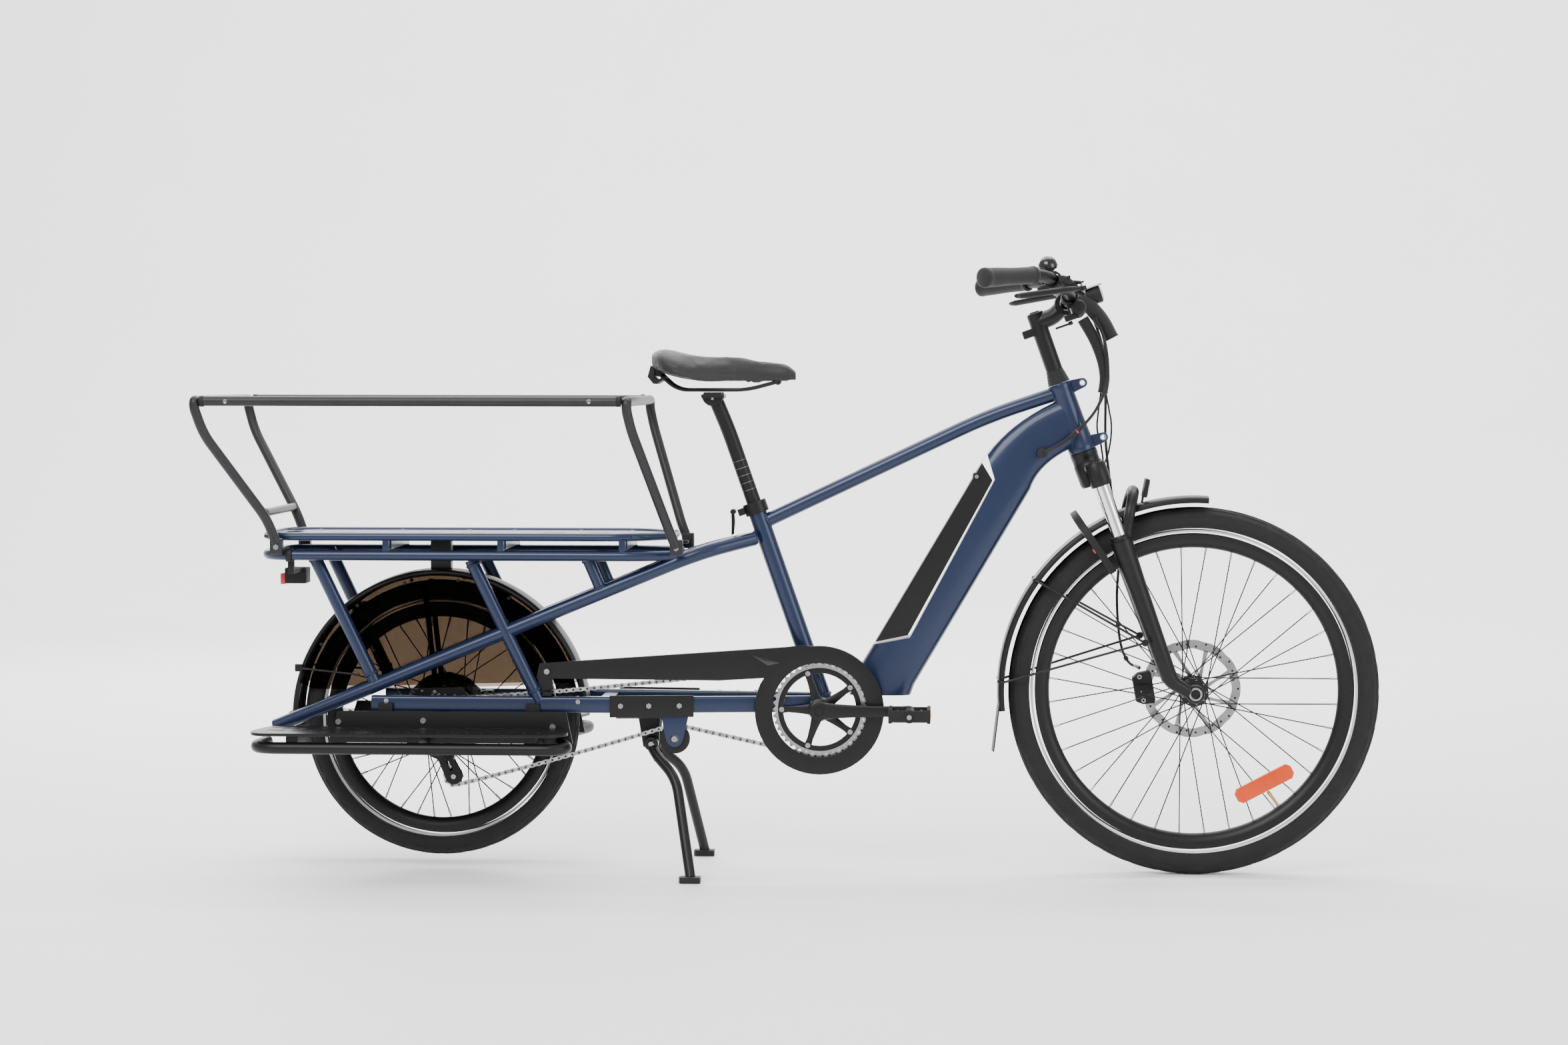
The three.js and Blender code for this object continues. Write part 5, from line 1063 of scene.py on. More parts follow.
def front_fender():
    b = Build()
    fender_skin(b, FRONT_AXLE, 356.8, 35.6, 86, 186, SATIN)
    # Flexible flap at the tail
    bm = bmesh.new()
    rows = []
    for k in range(9):
        t = k / 8
        x = WHEELBASE - 356 - 10.5 * t
        z = FRONT_R - 22 - 89 * t
        half = 34.5 - 3.5 * t * t
        row = []
        for y, inset in ((-half, 3), (-half * 0.5, 1), (0, 0), (half * 0.5, 1), (half, 3)):
            row.append(bm.verts.new((x + inset, y, z)))
        for y, inset in ((half, 3), (half * 0.5, 1), (0, 0), (-half * 0.5, 1), (-half, 3)):
            row.append(bm.verts.new((x + inset + 2.2, y, z)))
        rows.append(row)
    bridge(bm, rows)
    b.take(bm, RUBBER)
    for s in (-1, 1):
        for angle in (145, 177):
            t = math.radians(angle)
            near = V(WHEELBASE + math.cos(t) * 353, s * 35, FRONT_R + math.sin(t) * 353)
            b.tube([near, near + V(6, s * 4, -2), V(1288, s * 80.5, 430)], 2.2, SATIN, bend=14, sides=10)
            b.lathe([(0, 2.4), (3.6, 2.2), (4.4, 0), (0, 0)], near + V(0, s * 0.8, 0), V(0, s, 0), SATIN,
                    16)
        b.lathe([(0, -3), (6, -3), (6.4, -2), (6.4, 2.4), (3.4, 3), (3.4, 5), (0, 5)], V(1288, s * 80, 430),
                V(0, s, 0), SATIN, 24)
    b.make("front_fender_skin", "fork_lowers", "satin_black", ("front_fender",))


# ---- footboards, guard, stand ----

def footboards():
    for s, tag in ((-1, "right"), (1, "left")):
        b = Build()
        out, r, z = 205, 10.8, BOARD_Z - 25
        y = s * (out - 11)
        b.tube([V(232, s * 91, z), V(262, y, z), V(-314, y, z), V(-308, s * 91, z)], r, SATIN, bend=55,
               sides=22, steps=10)
        edge = [(-300, 88), (-318, 150)]
        quarter = [math.pi / 2 * i / 8 for i in range(9)]
        edge += [(-318 + 32 * (1 - math.cos(t)), 173 + 32 * math.sin(t)) for t in quarter]
        edge += [(210 + 44 * math.sin(t), 161 + 44 * math.cos(t)) for t in quarter]
        edge += [(232, 88)]
        edge = [(x, s * w) for x, w in edge]
        slots = []
        for row, w in enumerate((110, 132, 154)):
            for x in range(-276 + (row % 2) * 22, 196, 44):
                slot = [(x + 13 + 4 * math.cos(t), s * (w + 4 * math.sin(t))) for t in
                        [-math.pi / 2 + math.pi * i / 6 for i in range(7)]]
                slot += [(x - 13 + 4 * math.cos(t), s * (w + 4 * math.sin(t))) for t in
                         [math.pi / 2 + math.pi * i / 6 for i in range(7)]]
                slots.append(slot)
        b.slab(edge, BOARD_Z - 2.9, BOARD_Z + 2.6, SATIN, 0.7, axis="z", holes=slots)
        y0, y1 = span(s, 87, 91)
        b.slab([(-178, BEAM_Z - 12), (242, BEAM_Z - 12), (254, z - 2), (-196, z - 2)], y0, y1, SATIN, 1.2)
        for x in (-240, -20, 190):
            a0, a1 = span(s, 91, out - 12)
            b.block(x - 11, x + 11, a0, a1, z - 3, BOARD_Z - 3, SATIN, 2)
        for x in (-90, 180):
            a0, a1 = span(s, 79.5, 90)
            b.block(x - 13, x + 13, a0, a1, BEAM_Z - 13, BEAM_Z + 2, SATIN, 1.5)
        for x, bz in ((-176, 279), (217, 272), (-20, 282)):
            b.lathe([(0, 1.2), (2.2, 1.2), (2.5, 2.6), (5.2, 2.6), (5.8, 1.4), (6.4, 0), (0, 0)],
                    V(x, s * 91, bz), V(0, s, 0), STEEL, 20)
        for x in range(-290, 230, 26):
            b.lathe([(0, 0.55), (1.6, 0.4), (2.4, 0)], V(x, s * 178, BOARD_Z + 2.6), UP, RUBBER, 10)
        b.make("footboard_skin_" + tag, "frame", "satin_black", ("footboard_" + tag,))


def chain_guard():
    b = Build()
    # One pressed outline: the slim bar, then most of a ring round the teeth
    outline = [(184, 358), (190, 386), (640, 418), (668, 421)]
    outline += [(BB.x + 117.5 * math.cos(math.radians(a)), BB.z + 117.5 * math.sin(math.radians(a)))
                for a in range(96, -206, -6)]
    outline += [(600, 361), (520, 356)]
    hole = [(BB.x + 86 * math.cos(math.radians(a)), BB.z + 86 * math.sin(math.radians(a)))
            for a in range(0, 360, 6)]
    b.slab(outline, -67.8, -62.2, SATIN, 1.1, holes=(hole,))
    b.slab([(578, 403), (600, 399), (630, 389), (608, 384)], -68.2, -67.6, GLOSS, 0.2)
    b.block(187, 213, -67.6, -62.4, 331, 372, SATIN, 1)
    b.block(197, 213, -78.6, -66, BEAM_Z + 15.8, BEAM_Z + 23.6, SATIN, 1.2)
    b.lathe([(0, 3), (2.2, 3), (2.5, 4.4), (5, 4.4), (5.6, 3.2), (6.2, 0), (0, 0)], V(204, -67.8, 371),
            V(0, -1, 0), STEEL, 22)
    b.make("chain_guard_skin", "frame", "satin_black", ("chain_guard",))


def kickstand():
    kick = V(391, 0, 236)

    def slope(x):
        return 79 - (x - 320) * 34 / 321

    b = Build()
    for s in (-1, 1):
        outline = [(320, s * (slope(320) + 4)), (472, s * (slope(472) + 4)), (472, s * (slope(472) + 0.8)),
                   (320, s * (slope(320) + 0.8))]
        b.slab(outline, 289, 329, SATIN, 1.2, axis="z")
        for x in (340, 391, 446):
            b.lathe([(0, 1.2), (2.4, 1.2), (2.6, 3), (5, 3), (5.6, 0), (0, 0)],
                    V(x, s * (slope(x) + 4), 310), V(0.1, s, 0), STEEL, 6)
        y0, y1 = span(s, 14, 20)
        ear = [(365, 290), (375, 228)] + arc(391, 236, 14, 215, 325, 8) + [(403, 222), (407, 290)]
        b.slab(ear, y0, y1, SATIN, 1)
    b.slab([(330, -69), (420, -61), (420, 61), (330, 69)], 285.4, 295, SATIN, 2, axis="z")
    b.lathe([(0, -39), (4, -39), (6, -37), (6, 37), (4, 39), (0, 39)], kick, ACROSS, STEEL, 24)
    b.make("kickstand_mount_skin", "frame", "satin_black", ("kickstand_mount",))
    b = Build()
    tab = [(412, 297), (420, 252)] + arc(437, 249, 15, 200, 340, 10) + [(454, 252), (464, 297)]
    b.slab(tab, -66.6, -62.6, BLUE, 0.9)
    b.block(412, 464, -66.6, -58, 292, 297, BLUE, 0.9)
    b.lathe([(0, 3.2), (2.2, 3.2), (2.5, 4.4), (5.2, 4.4), (5.8, 3.2), (8, 0), (0, 0)], V(437, -66.6, 249),
            V(0, -1, 0), STEEL, 24)
    b.make("idler_tab", "frame", "frame_blue")

    b = Build()
    for s in (-1, 1):
        path = [V(394, s * 32, 226), V(403, s * 44, 214), V(441, s * 78, 178), V(474, s * 155, 9)]
        b.tube(path, 9.4, SATIN, bend=40, sides=24, steps=8)
        b.lathe([(6.6, 21), (12.4, 21), (13, 22), (13, 36), (12, 37), (6.6, 37), (6.6, 21)], kick,
                V(0, s, 0), SATIN, 28)
        sole = Build()
        shape = [(496 - 474 - 4, -12), (18, 12), (-18, 12), (-21, 6), (-21, -6), (-18, -12)]
        sole.slab([(474 + x, s * 155 + y) for x, y in shape], 0, 11.5, RUBBER, 2.2, axis="z")
        for k in range(5):
            x = 460 + k * 7
            sole.block(x, x + 2.4, s * 155 - 12.4, s * 155 + 12.4, 2.2, 8.6, RUBBER, 0.4)
        copy_in(b, sole)
    b.rod(V(401, -36, 208), V(401, 36, 208), 6, SATIN, sides=20)
    b.make("kickstand_skin", "kickstand", "satin_black", ("kickstand",))


# ---- drive ----

RING = (BB.x, BB.z, 85.0)
COG = (0.0, REAR_Z, 36.4)
IDLER = (437.0, 249.0, 24.3)
TENSION = (30.0, 176.0, 17.0)
GUIDE = (12.0, 214.0, 17.0)


def tangent(a, b, side, crossed):
    """Where a straight run leaves circle a and meets circle b."""
    d = math.hypot(b[0] - a[0], b[1] - a[1])
    t = math.atan2(b[1] - a[1], b[0] - a[0]) + side * math.acos((a[2] + (b[2] if crossed else -b[2])) / d)
    sign = -1 if crossed else 1
    return (Vector((a[0] + a[2] * math.cos(t), a[1] + a[2] * math.sin(t))),
            Vector((b[0] + sign * b[2] * math.cos(t), b[1] + sign * b[2] * math.sin(t))))


def chain_path():
    """The chain's loop as closely spaced points in its plane."""
    top = tangent(COG, RING, 1, False)
    down = tangent(RING, IDLER, 1, True)
    low = tangent(IDLER, TENSION, -1, True)
    up = tangent(TENSION, GUIDE, 1, True)
    back = tangent(GUIDE, COG, -1, True)

    def wrap(c, p, q, direction):
        a0 = math.atan2(p.y - c[1], p.x - c[0])
        a1 = math.atan2(q.y - c[1], q.x - c[0])
        while direction < 0 and a1 > a0:
            a1 -= math.tau
        while direction > 0 and a1 < a0:
            a1 += math.tau
        turns = [a0 + (a1 - a0) * k / 40 for k in range(41)]
        return [Vector((c[0] + c[2] * math.cos(a), c[1] + c[2] * math.sin(a))) for a in turns]

    def run(p, q, sag):
        mid = (p + q) / 2 + Vector((0, -sag))
        return [p * (1 - t) ** 2 + mid * (2 * t * (1 - t)) + q * t * t for t in [k / 60 for k in range(61)]]

    points = run(top[0], top[1], 12) + wrap(RING, top[1], down[0], -1) + run(down[0], down[1], 0)
    points += wrap(IDLER, down[1], low[0], 1) + run(low[0], low[1], 6) + wrap(TENSION, low[1], up[0], -1)
    points += run(up[0], up[1], 0) + wrap(GUIDE, up[1], back[0], 1) + run(back[0], back[1], 0)
    points += wrap(COG, back[1], top[0], -1)
    return points


def chain():
    pts = chain_path()
    lengths = [0.0]
    for p, q in zip(pts, pts[1:] + pts[:1]):
        lengths.append(lengths[-1] + (q - p).length)
    total = lengths[-1]
    count = int(round(total / 12.7 / 2)) * 2
    pitch = total / count

    def at(s):
        s %= total
        for i in range(len(pts)):
            if lengths[i + 1] >= s:
                t = (s - lengths[i]) / max(1e-6, lengths[i + 1] - lengths[i])
                return pts[i].lerp(pts[(i + 1) % len(pts)], t)
        return pts[0]

    b = Build()
    for k in range(count):
        p, q = at(k * pitch), at((k + 1) * pitch)
        d = (q - p).normalized()
        n = Vector((-d.y, d.x))
        outer = k % 2 == 0
        thick = 0.95
        for s in (-1, 1):
            y0 = s * (2.05 if outer else 1.05)
            outline = []
            for end, c in ((p, -1), (q, 1)):
                base = math.atan2(d.y * c, d.x * c)
                for j in range(7):
                    a = base - math.pi / 2 * 1.05 + math.pi * 1.05 * j / 6
                    outline.append((end.x + math.cos(a) * 4.1, end.y + math.sin(a) * 4.1))
            mid = (p + q) / 2
            outline += [(mid.x + n.x * 2.9, mid.y + n.y * 2.9), (mid.x - n.x * 2.9, mid.y - n.y * 2.9)]
            lo, hi = sorted((y0, y0 + s * thick))
            b.slab(order_round(outline, mid), CHAIN_Y + lo, CHAIN_Y + hi, STEEL if outer else ALLOY, 0)
        b.rod(V(p.x, CHAIN_Y - 3.0, p.y), V(p.x, CHAIN_Y + 3.0, p.y), 1.8, STEEL, sides=8)
        b.rod(V(p.x, CHAIN_Y - 1.1, p.y), V(p.x, CHAIN_Y + 1.1, p.y), 3.6, ALLOY, sides=10)
    b.make("chain_links", "frame", "steel", ("chain",))


def order_round(points, centre):
    """Points of a star-shaped outline in order round its middle."""
    return sorted(points, key=lambda p: math.atan2(p[1] - centre.y, p[0] - centre.x))


def toothed(b, x, z, pitch_r, teeth, y0, y1, mat, bore):
    """Sprocket with rounded teeth: a flat ring between its two faces."""
    outline = []
    per = 8
    for i in range(teeth * per):
        a = math.tau * i / (teeth * per)
        swing = math.cos(a * teeth)
        r = pitch_r + swing * (2.9 if swing > 0 else 2.4) - 0.6
        outline.append((x + r * math.cos(a), z + r * math.sin(a)))
    hole = [(x + bore * math.cos(math.tau * k / 40), z - bore * math.sin(math.tau * k / 40))
            for k in range(40)]
    b.slab(outline, y0, y1, mat, 0, holes=(hole,))


def crankset():
    b = Build()
    toothed(b, BB.x, BB.z, 83.6, 42, CHAIN_Y - 1.0, CHAIN_Y + 1.0, STEEL, 66.5)
    b.lathe([(66.6, -2.4), (75, -2.4), (76, -1.4), (76, 1.4), (75, 2.4), (66.6, 2.4), (66.6, -2.4)],
            V(BB.x, CHAIN_Y, BB.z), ACROSS, SATIN, 72)
    for k in range(5):
        a = math.radians(36 + 72 * k)
        d = V(math.cos(a), 0, math.sin(a))
        n = V(-d.z, 0, d.x)
        bm = bmesh.new()
        rings = []
        for r, wide, thick in ((14, 10.5, 3.2), (34, 7.4, 2.9), (56, 5.4, 2.6), (69, 6.6, 2.5),
                               (73, 4.5, 2.2)):
            c = BB + d * r + V(0, CHAIN_Y - 0.2, 0)
            rings.append([bm.verts.new(c + n * (wide * u) + V(0, thick * w, 0)) for u, w in
                          ((1, -0.5), (0.7, -1), (-0.7, -1), (-1, -0.5), (-1, 0.5), (-0.7, 1), (0.7, 1),
                           (1, 0.5))])
        bridge(bm, rings)
        b.take(bm, SATIN)
        b.lathe([(0, 3.2), (2.1, 3.2), (2.3, 4.2), (4.6, 4.2), (5, 3.4), (5, 1), (0, 1)],
                BB + d * 69 + V(0, CHAIN_Y - 1, 0), V(0, -1, 0), STEEL, 18)
    b.lathe([(0, 0), (9, 0), (9, 38), (22, 39), (22.4, 47), (20, 57), (14, 60), (14, 76), (16.6, 76.6),
             (16.6, 83.4),
             (15.6, 84), (8.6, 84), (8, 82.4), (0, 82.4)], BB + V(0, -0.6, 0), V(0, -1, 0), SATIN, 48)
    crank_arm(b, -1)
    b.make("crankset_skin", "cranks", "satin_black", ("crankset_right",))

    b = Build()
    b.lathe([(0, 0), (9, 0), (9, 40), (14, 41), (14, 76), (16.6, 76.6), (16.6, 83.4), (15.6, 84), (8.6, 84),
             (8, 82.4), (0, 82.4)], BB + V(0, 0.6, 0), ACROSS, SATIN, 48)
    crank_arm(b, 1)
    b.make("crank_left_skin", "cranks", "satin_black", ("crank_left",))


def crank_arm(b, side):
    """Forged arm: thick and wide at the axle, waisted, then round again at the pedal."""
    reach = -side
    bm = bmesh.new()
    rings = []
    for x, half, thick in ((-13, 9, 2.6), (-6, 15, 3.7), (8, 15.4, 4), (30, 13, 3.9), (70, 11, 3.7),
                           (120, 9.8, 3.6), (150, 10, 3.8), (163, 11, 3.9), (171, 9, 3.5), (175, 5, 2.4)):
        ring = []
        for k in range(16):
            a = math.tau * k / 16
            c, s = math.cos(a), math.sin(a)
            ring.append(bm.verts.new((BB.x + reach * x, side * (80 + squarish(c, 0.5) * thick),
                                      BB.z + squarish(s, 0.6) * half)))
        rings.append(ring)
    bridge(bm, rings)
    b.take(bm, SATIN)
    eye = V(BB.x + reach * CRANK, side * 84, BB.z)
    b.lathe([(0, 0.7), (3, 0.7), (3.4, 0), (0, 0)], eye, V(0, side, 0), STEEL, 6)
    b.rod(V(eye.x, side * 80, BB.z), V(eye.x, side * 175, BB.z), 4.4, STEEL, sides=16)


def pedals():
    for side, tag in ((-1, "right"), (1, "left")):
        c = V(BB.x - side * CRANK, side * 128, BB.z)
        b = Build()
        for s in (-1, 1):
            # Side plates with a row of grip teeth and a reflector on their outer face
            x0, x1 = span(s, 37.6, 31)
            b.block(c.x + x0, c.x + x1, c.y - 35.6, c.y + 35.6, c.z - 12.6, c.z + 12.6, MATTE, 1.8)
            for k in range(7):
                y = -30 + k * 10
                for up in (-1, 1):
                    b.lathe([(2.1, 0), (1.5, 2.2), (0, 2.4)], c + V(s * 34.3, y, up * 10.6), V(0, 0, up),
                            MATTE, 8)
            lo, hi = span(s, 36.2, 37.9)
            b.block(c.x + lo, c.x + hi, c.y - 18, c.y + 18, c.z - 6.5, c.z + 6.5, AMBER, 0.5)
            for k in range(8):
                y = c.y - 15 + k * 4.2
                b.block(c.x + s * 37.7 - 0.4, c.x + s * 37.7 + 0.4, y, y + 1.2, c.z - 5.4, c.z + 5.4, AMBER,
                        0)
        for y in (-35.4, 28.6):
            b.block(c.x - 36, c.x + 36, c.y + y, c.y + y + 6.8, c.z - 10.5, c.z + 10.5, MATTE, 1.6)
        b.lathe([(5.3, -35), (11.4, -35), (12.2, -33), (11, -20), (9.6, 0), (11, 20), (12.2, 33),
                 (11.4, 35), (5.3, 35), (5.3, -35)],
                c, ACROSS, MATTE, 28)
        for x in (-21, 21):
            b.block(c.x + x - 2.2, c.x + x + 2.2, c.y - 30, c.y + 30, c.z - 7, c.z + 7, MATTE, 0.8)
        b.make("pedal_skin_" + tag, "pedal_" + tag, "matte_black", ("pedal_" + tag,))


def rear_drive():
    b = Build()
    # Cassette: sprockets from large to small, outwards along the freehub
    for r, teeth, y in ((48, 24, -41), (44.6, 22, -43.6), (41, 20, -46.4), (COG[2], 18, CHAIN_Y),
                        (32.6, 16, -54.9), (28.6, 14, -57.6)):
        toothed(b, 0, REAR_Z, r - 1.6, teeth, y - 0.9, y + 0.9, STEEL, min(r - 9, 26))
    b.lathe([(8, -59.2), (17, -59.2), (22, -58), (26, -57), (28, -46), (28, -40.4), (20, -39.6),
             (19.8, -27.8), (8, -27.8), (8, -59.2)], REAR_AXLE, ACROSS, SATIN, 40)
    b.make("cassette_skin", "cassette", "steel", ("cassette",))

    b = Build()
    c = V(IDLER[0], 0, IDLER[1])
    toothed(b, c.x, c.z, 22.6, 12, CHAIN_Y - 1, CHAIN_Y + 1, SATIN, 6)
    b.lathe([(0, -60), (9, -60), (10, -59.6), (26, -59.6), (27.8, -59), (27.8, -57.2), (12, -57), (12, -46),
             (0, -46)], c,
            ACROSS, MATTE, 48)
    b.lathe([(0, -61.4), (3, -61.4), (3.2, -60.4), (6, -60.4), (6.4, -59.6), (0, -59.6)], c, ACROSS, STEEL,
            20)
    b.make("idler_skin", "idler", "matte_black", ("idler_pulley",))

    b = Build()
    for y0, y1 in ((-60.8, -58.7), (-45.8, -44.2)):
        outline = arc(TENSION[0], TENSION[1], 15, 200, 385, 14) + arc(GUIDE[0], GUIDE[1], 13, 20, 190, 14)
        window = [(29, 188), (20, 205), (16, 204), (24, 186)]
        b.slab(outline, y0, y1, MATTE, 0.5, holes=(window,))
    for j in (TENSION, GUIDE):
        toothed(b, j[0], j[1], 15.2, 10, -53.2, -50.8, RUBBER, 4)
        b.lathe([(0, -59), (4, -59), (6, -57.4), (6, -46.2), (4, -45), (0, -45)], V(j[0], 0, j[1]), ACROSS,
                STEEL, 20)
        b.lathe([(0, 1.2), (2, 1.2), (2.2, 2.4), (4.4, 2.4), (4.8, 0), (0, 0)], V(j[0], -60.8, j[1]),
                V(0, -1, 0), STEEL, 18)
    b.rod(V(12, -58, 214), V(12, -69.6, 214), 8, MATTE, sides=28, chamfer=1.2)
    b.tube([V(12, -66, 214), V(-4, -76, 219), V(-18, -81, 226)], lambda t: 8 - 3 * t, MATTE, bend=12,
           sides=20)
    b.tube([V(-18, -81, 226), V(2, -82, 246), V(16, -81, 263)], 5, MATTE, bend=12, sides=18)
    b.lathe([(0, -10), (7.4, -10), (8, -9), (8, -1), (6.6, 0), (0, 0)], V(16, -75.4, 263), ACROSS, MATTE,
            24)
    b.lathe([(0, 1), (2.4, 1), (2.8, 0), (4.4, 0), (0, -0.5)], V(16, -85.4, 263), V(0, -1, 0), STEEL, 18)
    b.make("derailleur_skin", "frame", "matte_black", ("derailleur",))

    b = Build()
    turn = Matrix.Translation(V(66, 0, REAR_Z + 14)) @ Matrix.Rotation(math.radians(62), 4, "Y")
    calliper(b, turn, 44, 26, 34)
    b.block(85, 109, 36, 59.3, REAR_Z + 6.4, REAR_Z + 15.8, SATIN, 1.5)
    b.make("rear_caliper_skin", "frame", "matte_black", ("rear_caliper",))


def calliper(b, turn, y, half, tall):
    """Two bolted caliper halves over a rotor slot, with a bridge and a pad pin."""
    c = Build()
    for s in (-1, 1):
        lo, hi = sorted((y + s * 3.1, y + s * 11.8))
        shape = [(-half, 3), (-half + 5, 0), (half - 5, 0), (half, 3), (half - 1, tall - 12),
                 (half - 8, tall - 0.5), (-half + 8, tall - 0.5), (-half + 1, tall - 12)]
        c.slab(shape, lo, hi, MATTE, 1.6)
        c.lathe([(0, 0.6), (8.6, 0.6), (9.4, -0.4), (9.4, -2), (0, -2)], V(0, y + s * 11.8, 15), V(0, s, 0),
                SATIN, 32)
        for x in (-half + 8, half - 8):
            c.lathe([(0, 0.4), (2, 0.4), (2.2, 1.4), (4.2, 1.4), (4.6, -1), (0, -1)], V(x, y + s * 11, 22),
                    V(0, s, 0), STEEL, 18)
    c.block(-half + 9, half - 9, y - 3.2, y + 3.2, tall - 9.6, tall - 1.6, MATTE, 0.8)
    c.rod(V(-5, y - 12, tall - 13), V(-5, y + 12, tall - 13), 1.4, STEEL, sides=10)
    copy_in(b, c.moved(turn))


# ---- fork and what rides on it ----

STANCHION_X = 10
STANCHION_Y = 62
CROWN_Z = -30
LOWERS_TOP = -164
AXLE_LOCAL = V((WHEELBASE - HEAD.x) * math.cos(LEAN) + (FRONT_R - HEAD.z) * math.sin(LEAN), 0,
               -(WHEELBASE - HEAD.x) * math.sin(LEAN) + (FRONT_R - HEAD.z) * math.cos(LEAN))
STEER_FRAME = Matrix.Translation(HEAD) @ Matrix.Rotation(-LEAN, 4, "Y")


def local(x, y, z):
    """A design point in the steering axis's own frame."""
    c, s = math.cos(LEAN), math.sin(LEAN)
    return V((x - HEAD.x) * c + (z - HEAD.z) * s, y, -(x - HEAD.x) * s + (z - HEAD.z) * c)


def steered(b, name, body, slot, replaces=(), sharp=35):
    """Finish a Build made in the steering frame."""
    return b.moved(STEER_FRAME).make(name, body, slot, replaces, sharp)


def fork():
    b = Build()
    # Forged crown: a waisted bridge between two sleeves
    bm = bmesh.new()
    rings = []
    for k in range(17):
        y = -STANCHION_Y + 2 * STANCHION_Y * k / 16
        t = abs(y) / STANCHION_Y
        half_x, half_z = 24 - 7 * math.sin(math.pi * min(1, t)) ** 2, 14.5 + 1.5 * t
        ring = []
        for j in range(24):
            a = math.tau * j / 24
            c, s = math.cos(a), math.sin(a)
            ring.append(bm.verts.new((5 + squarish(c, 0.6) * half_x, y,
                                      CROWN_Z - 19 + 2 * t + squarish(s, 0.6) * half_z)))
        rings.append(ring)
    bridge(bm, rings)
    b.take(bm, SATIN)
    b.lathe([(0, CROWN_Z - 36), (22, CROWN_Z - 35), (25, CROWN_Z - 30), (25.6, -24), (24.6, -22.5),
             (24.6, -12), (25.2, -11),
             (25.2, -1.6), (24, -0.4), (14, -0.4), (14, 128), (0, 128)], V(0, 0, 0), UP, SATIN, 56)
    for s in (-1, 1):
        at = V(STANCHION_X, s * STANCHION_Y, 0)
        b.lathe([(0, CROWN_Z + 4), (9, CROWN_Z + 5.6), (14, CROWN_Z + 5.8), (17.6, CROWN_Z + 5),
                 (19.6, CROWN_Z + 2),
                 (19.8, CROWN_Z - 34), (18.6, CROWN_Z - 37.6), (13, CROWN_Z - 37.8), (0, CROWN_Z - 37.8)],
                at, UP, SATIN, 44)
        b.lathe([(0, 1.2), (4, 1.2), (4.4, 0), (10, 0), (10.4, -1)], at + V(0, 0, CROWN_Z + 5.4), UP, GLOSS,
                28)
        b.rod(V(at.x, at.y, -300), V(at.x, at.y, CROWN_Z - 36), 12.95, CHROME, sides=48)
    steered(b, "fork_crown_skin", "steering", "satin_black", ("fork_crown",))

    b = Build()
    for s in (-1, 1):
        y = s * STANCHION_Y
        at = V(STANCHION_X, y, 0)
        # Slider: dust seal, stepped collar and a slow taper to the foot
        b.lathe([(13.4, LOWERS_TOP + 0.4), (16.4, LOWERS_TOP + 0.2), (17.6, LOWERS_TOP - 2),
                 (17.8, LOWERS_TOP - 8),
                 (19.8, LOWERS_TOP - 9), (20, LOWERS_TOP - 30), (18.8, LOWERS_TOP - 44),
                 (17.4, LOWERS_TOP - 90),
                 (15.6, -380), (15, -436), (13, -441), (0, -442), (0, -431), (13.4, -430),
                 (13.4, LOWERS_TOP + 0.4)], at,
                UP, SATIN, 44)
        b.lathe([(13.3, 0), (15.8, 0), (15.8, 3.6), (14.2, 4.6), (13.3, 3)], at + V(0, 0, LOWERS_TOP - 3.4),
                UP, RUBBER, 40)
        foot = V(AXLE_LOCAL.x - 9, s * 59.5, AXLE_LOCAL.z + 6)
        b.tube([V(STANCHION_X, y, -428), V(STANCHION_X + 3, y, -446), foot], lambda t: 15 - 3.2 * t, SATIN,
               bend=16, sides=28)
        eye = V(AXLE_LOCAL.x, s * 52, AXLE_LOCAL.z)
        b.lathe([(8.6, 0.2), (15.4, 0.2), (16.8, 1.6), (16.8, 12), (15.6, 13.8), (8.6, 13.8), (8.6, 0.2)],
                eye, V(0, s, 0), SATIN, 36)
        nut = V(AXLE_LOCAL.x, s * 66.2, AXLE_LOCAL.z)
        b.lathe([(8.6, 0), (12, 0), (12, 1.2), (8.6, 1.2), (8.6, 0)], nut, V(0, s, 0), STEEL, 30)
    arch = [V(STANCHION_X + 6, -62, LOWERS_TOP - 12), V(46, -60, LOWERS_TOP + 42),
            V(62, -34, LOWERS_TOP + 66),
            V(62, 34, LOWERS_TOP + 66), V(46, 60, LOWERS_TOP + 42), V(STANCHION_X + 6, 62, LOWERS_TOP - 12)]
    b.tube(arch, 9.8, SATIN, bend=30, sides=26, steps=10)
    b.block(56, 68, -9, 9, LOWERS_TOP + 62, LOWERS_TOP + 74, SATIN, 2.5)
    steered(b, "fork_lowers_skin", "fork_lowers", "satin_black", ("fork_lowers",))

    # White reflector on its bracket ahead of the arch
    b = Build()
    b.slab([(1283, 676), (1301, 676), (1301, 680), (1287, 680)], -9, 9, SATIN, 0.6)
    b.slab([(1283, 676), (1286.4, 676), (1290.4, 700), (1287, 700)], -9, 9, SATIN, 0.6)
    b.slab([(1285, 690), (1293, 688.6), (1299, 722), (1291, 723.4)], -25, 25, MATTE, 2.2)
    b.slab([(1292.6, 692), (1294.6, 691.6), (1299.6, 719), (1297.6, 719.4)], -22, 22, REFLECT, 0.6)
    b.make("front_reflector", "fork_lowers", "clear")

    # Front caliper, on its post mounts behind the left leg
    b = Build()
    turn = Matrix.Translation(V(WHEELBASE - 70, 38, FRONT_R + 4)) @ Matrix.Rotation(math.radians(-100), 4,
                                                                                    "Y")
    calliper(b, turn, 0, 30, 36)
    b.make("front_caliper_skin", "fork_lowers", "matte_black", ("front_caliper",))


